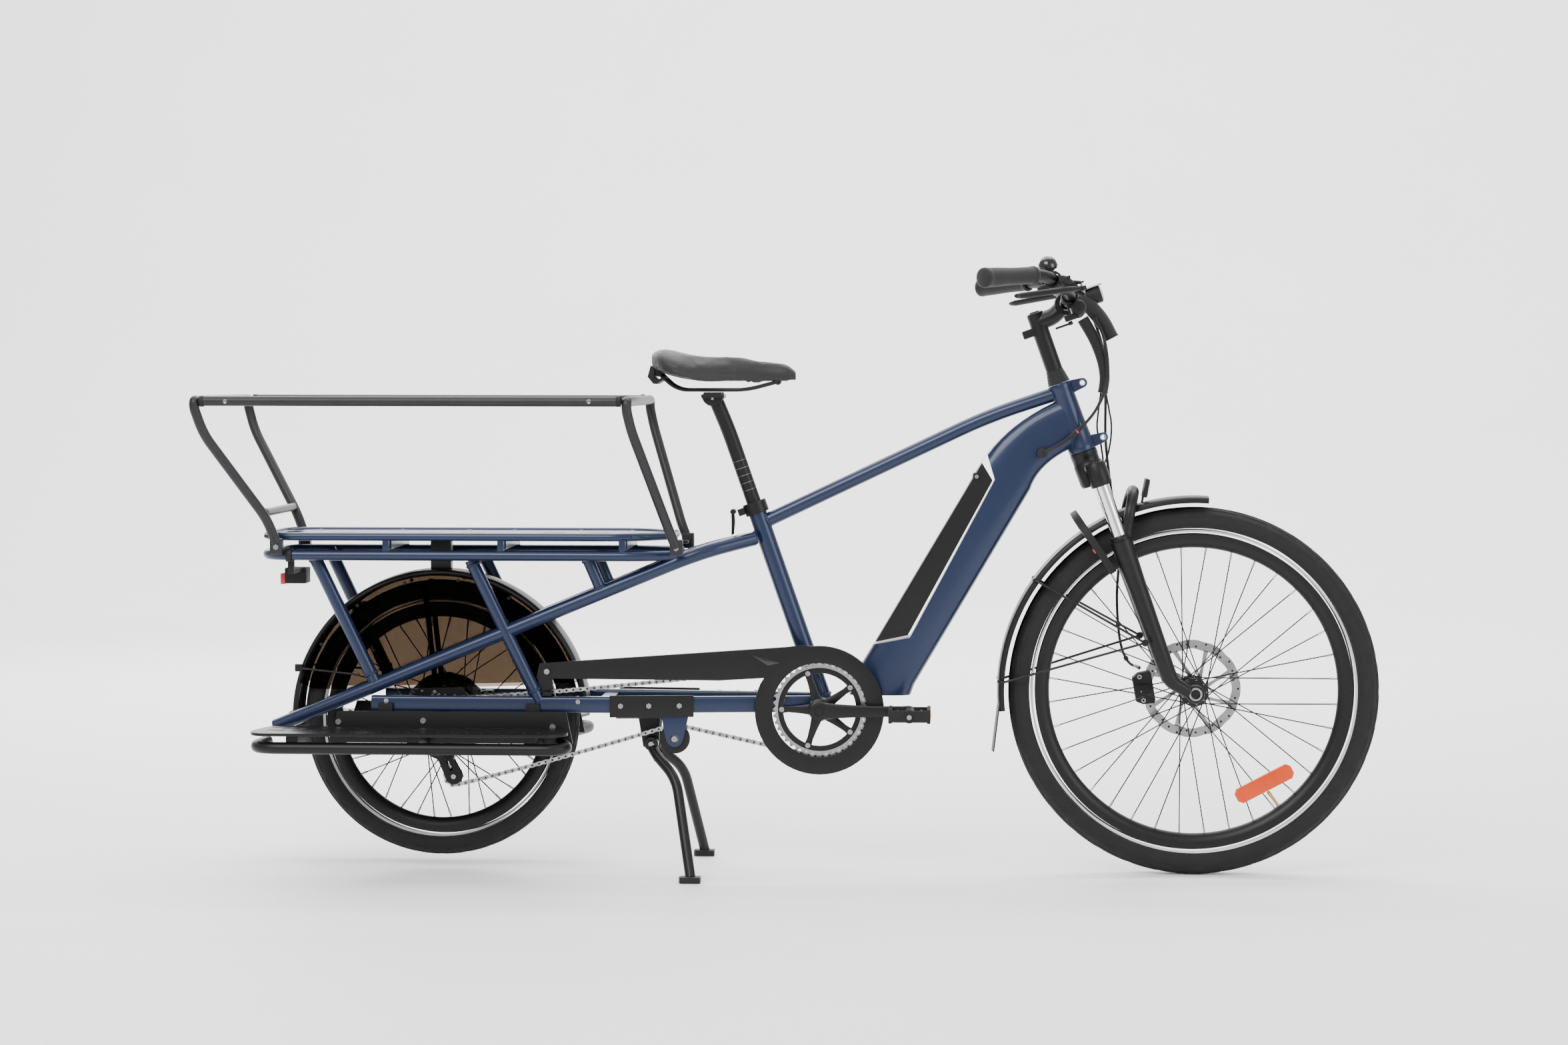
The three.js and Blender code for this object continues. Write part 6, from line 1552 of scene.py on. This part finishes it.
def ring_lock():
    """Horseshoe lock over the front wheel, square to its tyre."""
    angle, reach = math.radians(124), 330
    outer, inner, leg = 63.8, 50.7, 66
    b = Build()
    half_turn = [math.pi * k / 28 for k in range(29)]
    outline = [(outer * math.cos(t), outer * math.sin(t)) for t in half_turn]
    outline += [(-outer, -leg + 6), (-outer + 3, -leg), (-inner - 3, -leg), (-inner, -leg + 5)]
    outline += [(-inner * math.cos(t), inner * math.sin(t)) for t in half_turn]
    outline += [(inner, -leg + 5), (inner + 3, -leg), (outer - 3, -leg), (outer, -leg + 6)]
    b.slab(outline, -6.8, 6.8, MATTE, 2.2)
    # Raised cover along the arc, the key barrel on one leg and the bolt's knob on the other
    turns = [math.pi * k / 28 for k in range(2, 27)]
    band = [((inner + 3) * math.cos(t), (inner + 3) * math.sin(t)) for t in turns]
    band += [((outer - 3) * math.cos(t), (outer - 3) * math.sin(t)) for t in reversed(turns)]
    b.slab(band, -7.9, -6.2, GLOSS, 0.6)
    b.lathe([(0, 0.6), (3, 0.6), (3.2, -0.4), (5.6, -0.4), (6, -2), (0, -2)], V(57, -8, -24), V(0, -1, 0),
            CHROME, 24)
    b.lathe([(0, 0.8), (4, 0.6), (5, -1), (5, -3), (0, -3)], V(-57, -8.6, -14), V(0, -1, 0), RED, 22)
    radial = V(math.cos(angle), 0, math.sin(angle))
    across = ACROSS
    third = across.cross(radial)
    basis = Matrix.Identity(4)
    for col, axis in enumerate((across, third, radial)):
        for row in range(3):
            basis[row][col] = axis[row]
    basis.translation = radial * reach + FRONT_AXLE
    b.moved(basis).make("ring_lock_skin", "fork_lowers", "matte_black", ("ring_lock",))


# ---- cockpit ----

BAR_START = V(1146, 40, 1040)
BAR_RISE = V(1152, 104, 1058)
BAR_BEND = V(1104, 193, 1087)
BAR_END = V(994, 300, 1078.5)


def side_local(p, side):
    """A design point on one side of the bicycle, in the steering frame."""
    return local(p.x, side * p.y, p.z)


def handlebar():
    b = Build()
    right = [side_local(p, -1) for p in (BAR_END, BAR_BEND, BAR_RISE, BAR_START)]
    left = [side_local(p, 1) for p in (BAR_START, BAR_RISE, BAR_BEND, BAR_END)]
    b.tube(right + left, 10.95, SATIN, bend=34, sides=30, steps=12)
    b.lathe([(11, -46), (12.9, -38), (12.9, 38), (11, 46)], local(1146, 0, 1040), ACROSS, SATIN, 36)
    steered(b, "handlebar_skin", "steering", "satin_black", ("handlebar",))

    for side, tag in ((-1, "right"), (1, "left")):
        b = Build()
        bend, end = side_local(BAR_BEND, side), side_local(BAR_END, side)
        inner, outer = bend.lerp(end, 0.19), bend.lerp(end, 1.015)
        d = outer - inner
        length = d.length
        d.normalize()
        profile = [(12.3, 0), (15.6, 0), (16.3, 1), (16.3, 5), (15.3, 6)]
        steps = 46
        for k in range(steps + 1):
            t = k / steps
            swell = 15.1 + 1.6 * t - 0.9 * math.sin(math.pi * min(1, t * 1.3))
            profile.append((swell + 0.35 * math.cos(k * math.pi), 8 + (length - 20) * t))
        profile += [(17.4, length - 10), (17.7, length - 6), (17, length - 2), (14, length),
                    (0, length + 0.3)]
        b.lathe(profile, inner, d, RUBBER, 48)
        steered(b, "grip_skin_" + tag, "steering", "rubber", ("grip_" + tag,), sharp=60)


def lever_frame(side):
    """Place, bar direction and lever pin of a brake master, in the steering frame."""
    rise, bend = side_local(BAR_RISE, side), side_local(BAR_BEND, side)
    at = rise.lerp(bend, 0.7)
    d = (bend - rise).normalized()
    ahead = V(0.86, 0, -0.5)
    return at, d, ahead, at + ahead * 43 - d * 22


def brakes():
    for side, tag in ((-1, "right"), (1, "left")):
        at, d, ahead, pin = lever_frame(side)
        front = at + ahead * 25
        b = Build()
        b.lathe([(12.2, -4.4), (15.4, -4.4), (16, -3.6), (16, 4.4), (15.4, 5), (12.2, 5), (12.2, -4.4)], at,
                d, MATTE, 36)
        b.tube([at + ahead * 12, front], 7.8, MATTE, sides=20)
        b.lathe([(0, -30), (6, -30), (8, -28), (8, -12), (9.2, -10), (9.2, 12), (8, 14), (7.6, 20), (5, 24),
                 (0, 24)], front, d,
                MATTE, 32)
        # Reservoir cap and its screws
        b.block(front.x - 9, front.x + 8, front.y - 17, front.y + 17, front.z + 6, front.z + 11, MATTE, 2.2)
        for y in (-12, 12):
            b.lathe([(0, 0.7), (1.8, 0.7), (2.2, 0)], V(front.x, front.y + y, front.z + 11), UP, STEEL, 14)
        for z in (11, -11):
            start = front - d * 24 + V(0, 0, z * 0.8)
            b.tube([start, V(pin.x, pin.y, pin.z + z)], lambda t: 3.6 - 0.6 * t, MATTE, sides=14)
            b.lathe([(0, -1.5), (6.2, -1.5), (6.2, 1.5), (0, 1.5)], V(pin.x, pin.y, pin.z + z), UP, MATTE,
                    24)
        b.rod(V(pin.x, pin.y, pin.z - 12.8), V(pin.x, pin.y, pin.z + 12.8), 2.3, STEEL, sides=14)
        steered(b, "brake_master_skin_" + tag, "steering", "matte_black", ("brake_master_" + tag,))

        b = Build()
        tip = local(1046, side * 289, 1046)
        elbow = pin.lerp(tip, 0.22) + V(6, 0, 0)
        line = rounded([pin, elbow, tip - (tip - elbow).normalized() * 14, tip + V(4, 0, 0)], 30, 10)
        bm = bmesh.new()
        rings = []
        n = len(line)
        for i, (p, t) in enumerate(line):
            out = t.normalized().cross(UP).normalized()
            wide = 4.6 + 1.2 * math.sin(math.pi * min(1, i / n * 1.4))
            if i == n - 1:
                wide = 3
            ring = []
            for k in range(14):
                a = math.tau * k / 14
                ring.append(bm.verts.new(p + out * (math.cos(a) * 3.1) + UP * (math.sin(a) * wide)))
            rings.append(ring)
        bridge(bm, rings)
        b.take(bm, SATIN)
        b.lathe([(3.9, -3.9), (6.8, -3.9), (7.1, -3), (7.1, 3), (6.8, 3.9), (3.9, 3.9), (3.9, -3.9)], pin,
                UP, SATIN, 28)
        steered(b, "brake_lever_skin_" + tag, "brake_lever_" + tag, "satin_black", ("brake_lever_" + tag,))


def cockpit():
    # Stem: rubber boot, quill, angled neck and a two-bolt face plate
    b = Build()
    clamp = local(1146, 0, 1040)
    h = HEAD_LENGTH
    b.lathe([(14.6, h + 0.6), (20, h + 0.6), (20.6, h + 3), (19.6, h + 5), (20, h + 7), (18.6, h + 10),
             (19, h + 12),
             (17.6, h + 15), (18, h + 17), (16.4, h + 21), (16, h + 26), (14.6, h + 26)], V(0, 0, 0), UP,
            RUBBER, 44)
    b.rod(V(0, 0, h + 24), V(0, 0, h + 137), 15.4, SATIN, sides=40, chamfer=2)
    b.tube([V(0, 0, h + 118), V(clamp.x * 0.5, 0, h + 119), clamp], lambda t: 15.8 - 0.8 * t, SATIN, bend=8,
           sides=32)
    b.lathe([(13.4, -23.6), (19.6, -23.6), (20.8, -22), (20.8, 22), (19.6, 23.6), (13.4, 23.6),
             (13.4, -23.6)], clamp, ACROSS,
            SATIN, 44)
    for y in (-15, 15):
        for z in (-15.5, 15.5):
            b.lathe([(0, 1), (2.2, 1), (2.4, 2.4), (4, 2.4), (4.2, 0), (0, 0)], clamp + V(18, y, z * 0.8),
                    AHEAD, STEEL, 16)
    b.block(-33.6, -8, -13.6, 13.6, h + 96.4, h + 111.6, SATIN, 3)
    b.lathe([(0, 1), (8, 1), (9, 0), (9, -3), (0, -3)], V(0, 0, h + 138), UP, MATTE, 32)
    steered(b, "stem_skin", "steering", "satin_black", ("stem",))

    # Shifter with a gear window, and its thumb trigger
    start, rise = side_local(BAR_START, -1), side_local(BAR_RISE, -1)
    at = start.lerp(rise, 0.58)
    d = (rise - start).normalized()
    low = at + V(8, 0, -24)
    b = Build()
    b.lathe([(12.2, -7), (14.6, -7), (15, -6), (15, 6), (14.6, 7), (12.2, 7), (12.2, -7)], at, d, MATTE, 32)
    b.lathe([(0, -16), (12, -16), (14.6, -13.6), (15, -10), (14, 8), (13, 12), (10, 15.8), (0, 16)], low, d,
            MATTE, 36)
    b.block(low.x - 14.9, low.x - 12.4, low.y - 9, low.y + 9, low.z - 5.5, low.z + 5.5, CLEAR, 1.2)
    for k in range(8):
        y = low.y + k * 2.2
        b.block(low.x - 12.9, low.x - 12.2, y - 8, y - 7.4, low.z - 4, low.z + (1 if k % 2 else 3), REFLECT,
                0)
    b.block(at.x - 21, at.x + 4, at.y - 7, at.y + 7, at.z - 40.4, at.z - 29, MATTE, 3)
    b.block(at.x - 10, at.x + 6, at.y - 6, at.y + 6, at.z - 32, at.z - 12, MATTE, 2)
    steered(b, "shifter_skin", "steering", "matte_black", ("shifter",))
    t = at + V(-16, 0, -26)
    b = Build()
    b.lathe([(0, -22), (3.6, -22), (4, -21), (4, -16), (3.6, -15), (0, -15)], V(t.x + 3, t.y, t.z), UP,
            MATTE, 20)
    paddle = [(t.x + 4, t.y - 3), (t.x + 4, t.y + 3), (t.x - 14, t.y + 6), (t.x - 24, t.y + 5),
              (t.x - 26, t.y), (t.x - 24, t.y - 5), (t.x - 14, t.y - 6)]
    b.slab(paddle, t.z - 21, t.z - 17, MATTE, 1.2, axis="z")
    steered(b, "shift_lever_skin", "shift_lever", "matte_black", ("shift_lever",))

    # Bell: a domed cup on a strap, and its spring striker
    rise, bend = side_local(BAR_RISE, -1), side_local(BAR_BEND, -1)
    at = rise.lerp(bend, 0.3)
    d = (bend - rise).normalized()
    b = Build()
    b.lathe([(12.2, -4), (13.6, -4), (13.8, -3), (13.8, 3), (13.6, 4), (12.2, 4), (12.2, -4)], at, d, MATTE,
            30)
    c = V(at.x - 14, at.y, at.z + 18)
    b.lathe([(0, 21.2), (16.6, 21.2), (17.4, 21.6), (17.4, 27), (16.6, 33), (14, 38), (9.6, 42), (4, 44.4),
             (0, 44.9)], c,
            UP, GLOSS, 48)
    b.lathe([(0, -10), (6.6, -10), (6.8, 16), (15, 19), (15, 21.4), (0, 21.4)], c, UP, MATTE, 32)
    steered(b, "bell_skin", "steering", "gloss_black", ("bell",))
    k = V(c.x, c.y + 22, c.z + 24)
    b = Build()
    b.lathe([(0, -5), (2.8, -5), (3, -4), (3, 7), (2.6, 8), (0, 8)], k, UP, GLOSS, 20)
    b.tube([k + V(-1, 0, 5), k + V(-12, 0, 5), k + V(-20, 0, 5)], lambda u: 1.8 + 0.8 * u, GLOSS, bend=4,
           sides=12)
    steered(b, "bell_striker_skin", "bell_striker", "gloss_black", ("bell_striker",))

    # Display
    c = local(1128, 78, 1056)
    b = Build()
    b.slab([(c.x - 25.6, c.y - 21.6), (c.x + 13.6, c.y - 21.6), (c.x + 13.6, c.y + 25.6),
            (c.x - 25.6, c.y + 25.6)],
           c.z + 15.3, c.z + 25.6, MATTE, 3, axis="z")
    b.slab([(c.x - 22, c.y - 18), (c.x + 10, c.y - 18), (c.x + 10, c.y + 22), (c.x - 22, c.y + 22)],
           c.z + 25.2, c.z + 26.8, GLOSS, 0.7, axis="z")
    for y in (-12, 0, 12):
        b.lathe([(0, 0.5), (2.4, 0.4), (2.8, 0)], V(c.x - 16, c.y + 2 + y, c.z + 26.7), UP, RUBBER, 16)
    steered(b, "display_skin", "steering", "gloss_black", ("display",))

    # Headlight: finned body, lens and the bright visor over it
    c = local(1186, 0, 1052)
    b = Build()
    b.lathe([(0, -18), (9, -18), (12, -15), (13, -10), (12.2, -9), (13.4, -8), (12.6, -7), (14, -6),
             (13.2, -5), (15, -2), (16.4, 10), (16.8, 22), (16.2, 24), (0, 24)], c, AHEAD, MATTE, 44)
    b.lathe([(15.8, 23.6), (15.2, 25), (11, 27), (5, 27.9), (0, 28)], c, AHEAD, CLEAR, 40)
    top = [(-9, 13.6), (-9, 17), (28, 17.4), (31, 15.6), (31, 13.8), (12, 14.6)]
    b.slab([(c.x + x, c.z + z) for x, z in top], -15.5, 15.5, ALLOY, 1.4)
    steered(b, "headlight_skin", "steering", "matte_black", ("headlight",))


# ---- saddle ----

SADDLE_REAR = 388.0
SADDLE_NOSE = 658.0
PAD_VOXEL = 0.0048
CLOTH_FRAMES = 20


def saddle_half(x):
    """Half width of the saddle at x: broad at the back, waisted, then a long nose."""
    t = (x - SADDLE_REAR) / (SADDLE_NOSE - SADDLE_REAR)
    rear = 88 * math.sin(min(1, (t + 0.12) / 0.34) * math.pi * 0.5) ** 0.8
    waist = 1 if t < 0.22 else 0.24 + 0.76 * (1 - min(1, (t - 0.22) / 0.62)) ** 1.6
    return rear * waist


def seam_height(t):
    """Height of the side seam at t, which runs from 0 at the rear to 1 at the nose."""
    return saddle_line(t) - 13 + 4 * t


def saddle_line(t):
    """Height of the saddle's top line: high at the rear, level, then falling at the nose."""
    return 925 + 26 * (1 - min(1, t / 0.45)) ** 2 - 12 * max(0, t - 0.6) / 0.4


def pad_ring(x, line, half, full):
    """Section of the pad: a flat underside in a lip, full flanks and a shallow channel on top."""
    t = (x - SADDLE_REAR) / (SADDLE_NOSE - SADDLE_REAR)
    lip = 903.5 - 8.5 * math.sin(math.pi * min(1, max(0, (t - 0.1) / 0.9))) ** 0.6
    lip = max(lip, line - 26)
    floor_z = max(906, line - 20)
    top = line + 16.5 * full
    inner = half - 9
    ring = [(0, floor_z), (inner * 0.5, floor_z), (inner, floor_z), (half - 6.5, lip + 1.5),
            (half - 3.6, lip), (half - 1.4, lip + 2)]
    for k in range(1, 9):
        a = math.pi / 2 * k / 9
        ring.append((half * math.cos(a) ** 0.62, lip + 6 + (top - lip - 6) * math.sin(a) ** 0.9))
    dip = 2.6 * (1 if t < 0.75 else max(0, (0.92 - t) / 0.17))
    ring.append((half * 0.12, top - dip * 0.7))
    left = [(-y, z) for y, z in reversed(ring[1:])]
    return ring + [(0, top - dip)] + left


def pad_shape():
    """The pad before it is inflated, slightly inside its final size."""
    bm = bmesh.new()
    rings = []
    n = 34
    for i in range(n + 1):
        t = i / n
        x = SADDLE_REAR + 3 + t * (SADDLE_NOSE - SADDLE_REAR - 6)
        full = pad_end(t)
        half = (saddle_half(x) - 2.5) * (0.5 + 0.5 * full)
        line = saddle_line(t) - 4 * (1 - full)
        rings.append([bm.verts.new((x, y, z)) for y, z in pad_ring(x, line, half, full)])
    bridge(bm, rings)
    return bm


def pad_end(t):
    """Falls from 1 to about a third at each end of the saddle."""
    rear, nose = min(1, (t + 0.025) / 0.12), min(1, (1.03 - t) / 0.12)
    return math.sin(rear * math.pi / 2) * math.sin(nose * math.pi / 2)


def saddle():
    o = new_object("saddle_pad", placed_mesh(pad_shape(), "saddle_pad"))
    remesh = o.modifiers.new("remesh", "REMESH")
    remesh.mode = "VOXEL"
    remesh.voxel_size = PAD_VOXEL
    bake_modifiers(o)
    start = [v.co.copy() for v in o.data.vertices]
    cloth = o.modifiers.new("cloth", "CLOTH")
    cloth.settings.use_pressure = True
    cloth.settings.uniform_pressure_force = 4.0
    cloth.settings.quality = 6
    cloth.settings.mass = 0.3
    cloth.settings.tension_stiffness = 40
    cloth.settings.compression_stiffness = 40
    cloth.settings.shear_stiffness = 20
    cloth.settings.bending_stiffness = 4
    cloth.settings.effector_weights.gravity = 0
    pins = o.vertex_groups.new(name="seat")
    low = min(v.z for v in start)
    pins.add([i for i, v in enumerate(start) if v.z < low + 0.003], 1.0, "REPLACE")
    cloth.settings.vertex_group_mass = "seat"
    scene = bpy.context.scene
    scene.frame_start, scene.frame_end = 1, CLOTH_FRAMES
    for frame_number in range(1, CLOTH_FRAMES + 1):
        scene.frame_set(frame_number)
    bake_modifiers(o)
    scene.frame_set(1)
    # The finished cover stays close to the pad's own shape
    cap = 0.0035
    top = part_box("saddle")[1]
    for v, s in zip(o.data.vertices, start):
        move = v.co - s
        if move.length > cap:
            v.co = s + move * (cap / move.length)
        v.co.z = min(v.co.z, top[2])
    # A seam runs round the flanks, pressed a little into the cover
    for v in o.data.vertices:
        x = v.co.x * 1000 + MID_X
        y, z = v.co.y * 1000, v.co.z * 1000
        t = (x - SADDLE_REAR) / (SADDLE_NOSE - SADDLE_REAR)
        dip = 1.1 * math.exp(-((z - seam_height(t)) / 2.4) ** 2)
        if abs(y) > 8:
            v.co.y -= math.copysign(dip, y) / 1000
    sub = o.modifiers.new("smooth", "SUBSURF")
    sub.levels = 1
    sub.render_levels = 1
    bake_modifiers(o)
    smooth_faces(o.data)
    o.data.materials.append(VINYL)
    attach(o, "seat")
    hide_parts("saddle")

    # Stitches along the seam
    b = Build()
    for side in (-1, 1):
        for k in range(64):
            t = 0.06 + 0.86 * k / 63
            spots = []
            for u in (t, t + 0.008):
                x = SADDLE_REAR + u * (SADDLE_NOSE - SADDLE_REAR)
                start_at = V(x, side * 140, seam_height(u) + 1.6)
                where = o.ray_cast(place(start_at), (0, -side, 0))[1]
                spots.append(V(where.x * 1000 + MID_X, where.y * 1000 + side * 0.15, where.z * 1000))
            b.rod(spots[0], spots[1], 0.5, VINYL, sides=6)
    b.make("saddle_stitches", "seat", "vinyl")


def bake_modifiers(o):
    """Give the object the mesh that its modifiers make, and drop them."""
    bpy.context.view_layer.update()
    done = bpy.data.meshes.new_from_object(o.evaluated_get(bpy.context.evaluated_depsgraph_get()))
    o.modifiers.clear()
    o.data = done


def seat():
    # Post: a straight tube with a bent-back head, and a cradle for the rails
    b = Build()
    low, straight = SEAT_TOP - SEAT_DIR * 170, SEAT_TOP + SEAT_DIR * 158
    b.tube([low, straight, V(507, 0, 868)], 13.5, SATIN, bend=26, sides=40, steps=12)
    for k in range(5):
        at = SEAT_TOP + SEAT_DIR * (42 + 14 * k)
        b.lathe([(13.55, -0.25), (13.62, 0), (13.55, 0.25)], at, SEAT_DIR, STEEL, 40)
    b.slab([(482, 876), (484, 868), (488, 861), (495, 855.6), (503, 854), (511, 856), (519, 862),
            (524, 870), (525, 876)],
           -17, 17, SATIN, 2)
    b.block(483, 525, -27.6, 27.6, 869, 876, SATIN, 2)
    for s in (-1, 1):
        b.block(487, 521, s * 22 - 5.4, s * 22 + 5.4, 874, 879.6, SATIN, 1.5)
    b.lathe([(0, -30), (2.4, -30), (2.8, -28), (2.8, 28), (2.4, 30), (0, 30)], V(504, 0, 868), ACROSS,
            STEEL, 20)
    b.make("seatpost_skin", "seat", "satin_black", ("seatpost",))

    b = Build()
    bm = bmesh.new()
    rings = []
    for k in range(25):
        x = 397 + (640 - 397) * k / 24
        t = (x - SADDLE_REAR) / (SADDLE_NOSE - SADDLE_REAR)
        half = max(9, (saddle_half(x) - 13) * (0.8 if k in (0, 24) else 1))
        top = max(906, saddle_line(t) - 20) + 1.5
        rings.append([bm.verts.new((x, y * half, top + z)) for y, z in
                      ((-1, 0), (-0.97, -4), (-0.8, -7.4), (0.8, -7.4), (0.97, -4), (1, 0), (0.6, 0.6),
                       (-0.6, 0.6))])
    bridge(bm, rings)
    b.take(bm, MATTE)
    for s in (-1, 1):
        b.tube([V(404, s * 26, 916), V(438, s * 22, 884), V(566, s * 22, 884), V(622, s * 12, 899)], 3.5,
               SATIN, bend=22, sides=18, steps=10)
        b.lathe([(3.6, 0), (6, 0), (6.4, 4), (5, 10), (3.6, 10)], V(402, s * 26, 918),
                V(0.73, s * -0.08, -0.68), MATTE, 20)
    b.lathe([(0, -13), (5, -13), (6, -12), (6, 12), (5, 13), (0, 13)], V(622, 0, 899), ACROSS, MATTE, 20)
    bracket = [(391, 928), (385.5, 908), (396, 895), (402, 894.6), (419, 905), (417, 909), (403, 902),
               (397, 907), (401, 928)]
    b.slab(bracket, -33, 33, MATTE, 1.2)
    b.make("saddle_base_skin", "seat", "matte_black", ("saddle_base",))

    # Clamp collar with its slot, ears and lever
    b = Build()
    low = SEAT_TOP - SEAT_DIR * 4
    b.lathe([(18.2, 0), (21.4, 0), (22, 0.8), (22, 21), (21.2, 22), (15, 22), (14.8, 5.4), (18.2, 5),
             (18.2, 0)], low, SEAT_DIR, SATIN, 48)
    lean = math.atan2(-SEAT_DIR.x, SEAT_DIR.z)
    turn = Matrix.Translation(low) @ Matrix.Rotation(-lean, 4, "Y")
    ears = Build()
    for s in (-1, 1):
        lo, hi = span(s, 1.4, 7.8)
        ears.block(-33.6, -19, lo, hi, 5.4, 18.6, SATIN, 2)
    copy_in(b, ears.moved(turn))
    b.make("seat_clamp_skin", "frame", "satin_black", ("seat_clamp",))

    pin = SEAT_TOP - SEAT_DIR * 4 + V(-30, 0, 3)
    b = Build()
    b.lathe([(0, -14), (4.4, -14), (5, -13), (5, 13), (4.4, 14), (0, 14)], pin + V(-15, 0, 0), ACROSS,
            SATIN, 24)
    blade = [(pin.x - 20, pin.z + 4), (pin.x - 14, pin.z + 4), (pin.x - 12.6, pin.z - 20),
             (pin.x - 14.4, pin.z - 42), (pin.x - 19.6, pin.z - 44), (pin.x - 19.4, pin.z - 20)]
    b.slab(blade, 9.2, 14.8, SATIN, 1.6)
    b.make("clamp_lever_skin", "clamp_lever", "satin_black", ("clamp_lever",))


# ---- lights, axle, cables ----

def lights_and_cables():
    b = Build()
    b.block(-290, -249, -19.6, 19.6, 526.4, 555.6, MATTE, 4)
    lens = [(-297.6, 525), (-288, 525), (-288.6, 546), (-297.6, 545.6)]
    b.slab(lens, -17.6, 17.6, RED, 1.6)
    for k in range(7):
        y = -15 + 5 * k
        b.block(-298, -297.2, y - 0.5, y + 0.5, 527.5, 543, RED, 0)
    b.block(-267.6, -256.4, -86, -19, 549, 555.6, MATTE, 1.5)
    b.block(-267.6, -256.4, -91, -81, 549, 578, MATTE, 1.5)
    b.lathe([(9.7, -5.6), (12, -5.6), (12.4, -5), (12.4, 5), (12, 5.6), (9.7, 5.6), (9.7, -5.6)],
            V(-262, -100, LOOP_Z), AHEAD, MATTE, 32)
    b.make("tail_light_skin", "frame", "matte_black", ("tail_light",))

    b = Build()
    b.lathe([(0, -77.6), (4.6, -77.6), (5.7, -76.6), (5.7, 76.6), (4.6, 77.6), (0, 77.6)], REAR_AXLE,
            ACROSS, STEEL, 28)
    b.make("rear_axle_skin", "frame", "steel", ("rear_axle",))

    # Three bundled cables, from the stem down into the port of the down tube
    bundle = [V(1196, -22, 1016), V(1214, -24, 975), V(1220, -28, 900), V(1196, -36, 842),
              V(1150, -40, 796), V(1108, -37, 772)]
    b = Build()
    smooth = curve_points(bundle, 60)
    b.tube(smooth, 2.3, RUBBER, sides=12)
    for k, (dy, dx) in enumerate(((3.4, 2), (-3.2, 2.4))):
        offset = [p + V(dx * math.sin(i * 0.11 + k * 2), dy * math.cos(i * 0.09), 0) for i,
                  p in enumerate(smooth)]
        b.tube(offset, 2.0, RUBBER, sides=10)
    at = V(1104, -34.5, 770)
    b.lathe([(0, 2.6), (4, 2.6), (7, 1.8), (9, 0), (8, -4), (0, -4)], at, V(0.3, -1, 0), RUBBER, 28)
    # Joining plug on one cable, with its coloured ring
    d = (smooth[46] - smooth[43]).normalized()
    b.lathe([(2.4, -17), (3.9, -16), (4, -2), (4, 15), (3, 17), (2.4, 17)], smooth[44], d, RUBBER, 20)
    b.lathe([(4.05, -1.6), (4.4, -1.4), (4.4, 1.4), (4.05, 1.6)], smooth[44], d, RED, 24)
    o = b.make("frame_cable_bundle", None, "rubber", ("frame_cables",))
    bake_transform(o)

    # Woven sleeves that gather the cables ahead of the stem
    b = Build()
    upper = curve_points([V(1166, -8, 1046), V(1182, -8, 1041), V(1203, -8, 1020), V(1218, -8, 999),
                          V(1229, -8, 979)], 40)
    b.tube(upper, lambda t: 12.5 + 1.6 * math.sin(math.pi * min(1, t * 1.2)) + 0.16 * math.cos(t * 260),
           RUBBER, sides=28)
    lower = curve_points([V(1176, -12, 1013), V(1197, -12, 976), V(1211, -13, 939), V(1216, -14, 907),
                          V(1213, -14, 880)], 60)
    b.tube(lower, lambda t: 10.6 - 1.6 * t + 0.14 * math.cos(t * 380), RUBBER, sides=24)
    for line, r in ((upper, 13), (lower, 9.4)):
        d = (line[-1] - line[-3]).normalized()
        b.lathe([(r - 3, -1), (r + 0.3, -1), (r + 0.5, 0.4), (r - 0.6, 1.4), (r - 3, 1.2)], line[-1], d,
                RUBBER, 32)
    b.make("cable_sleeves", "steering", "rubber")

    # Thin cables that leave the lower sleeve for the lamp and the lock
    for k, line in enumerate(([V(1210, -8, 882), V(1205, -4, 840), V(1204, 2, 812), V(1211, 10, 786),
                               V(1216, 20, 752)],
                              [V(1217, -16, 884), V(1224, -16, 850), V(1229, -14, 816), V(1225, -10, 776),
                               V(1216, 12, 744)])):
        b = Build()
        b.tube(curve_points(line, 50), 1.7, RUBBER, sides=12)
        b.make("fork_cable_%d" % k, "steering", "rubber")

    hose = [V(1196, 22, 1016), V(1214, 26, 960), V(1220, 34, 880), V(1222, 56, 790), V(1234, 88, 700),
            V(1250, 93, 600), V(1246, 94, 500), V(1252, 92, 420), V(1266, 76, 382), V(1286, 52, 372)]
    b = Build()
    smooth = curve_points(hose, 90)
    b.tube(smooth, 2.55, RUBBER, sides=14)
    for i in (52, 66, 78):
        d = (smooth[i + 1] - smooth[i]).normalized()
        b.lathe([(2.7, -3.5), (4, -3.5), (4.3, -2.5), (4.3, 2.5), (4, 3.5), (2.7, 3.5)], smooth[i], d,
                MATTE, 18)
    b.lathe([(0, 0), (3.6, 0), (4, 3), (3.2, 12), (2.6, 14)], smooth[-1], (smooth[-2] - smooth[-1]), STEEL,
            20)
    o = b.make("front_brake_hose_skin", None, "rubber", ("front_brake_hose",))
    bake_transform(o)


def curve_points(points, count):
    """Evenly spaced points of a smooth curve through points."""
    out = []
    n = len(points) - 1
    for i in range(count + 1):
        u = i / count * n
        k = min(n - 1, int(u))
        t = u - k
        p0, p1, p2, p3 = points[max(0, k - 1)], points[k], points[k + 1], points[min(n, k + 2)]
        out.append(0.5 * ((2 * p1) + (p2 - p0) * t + (2 * p0 - 5 * p1 + 4 * p2 - p3) * t * t
                          + (3 * p1 - p0 - 3 * p2 + p3) * t ** 3))
    return out


# ---- making everything ----

wheels()
frame_tubes()
down_tube()
battery()
chainstays()
stays()
rack()
rails()
rear_fender()
front_fender()
footboards()
chain_guard()
kickstand()
chain()
crankset()
pedals()
rear_drive()
fork()
ring_lock()
handlebar()
brakes()
cockpit()
saddle()
seat()
lights_and_cables()
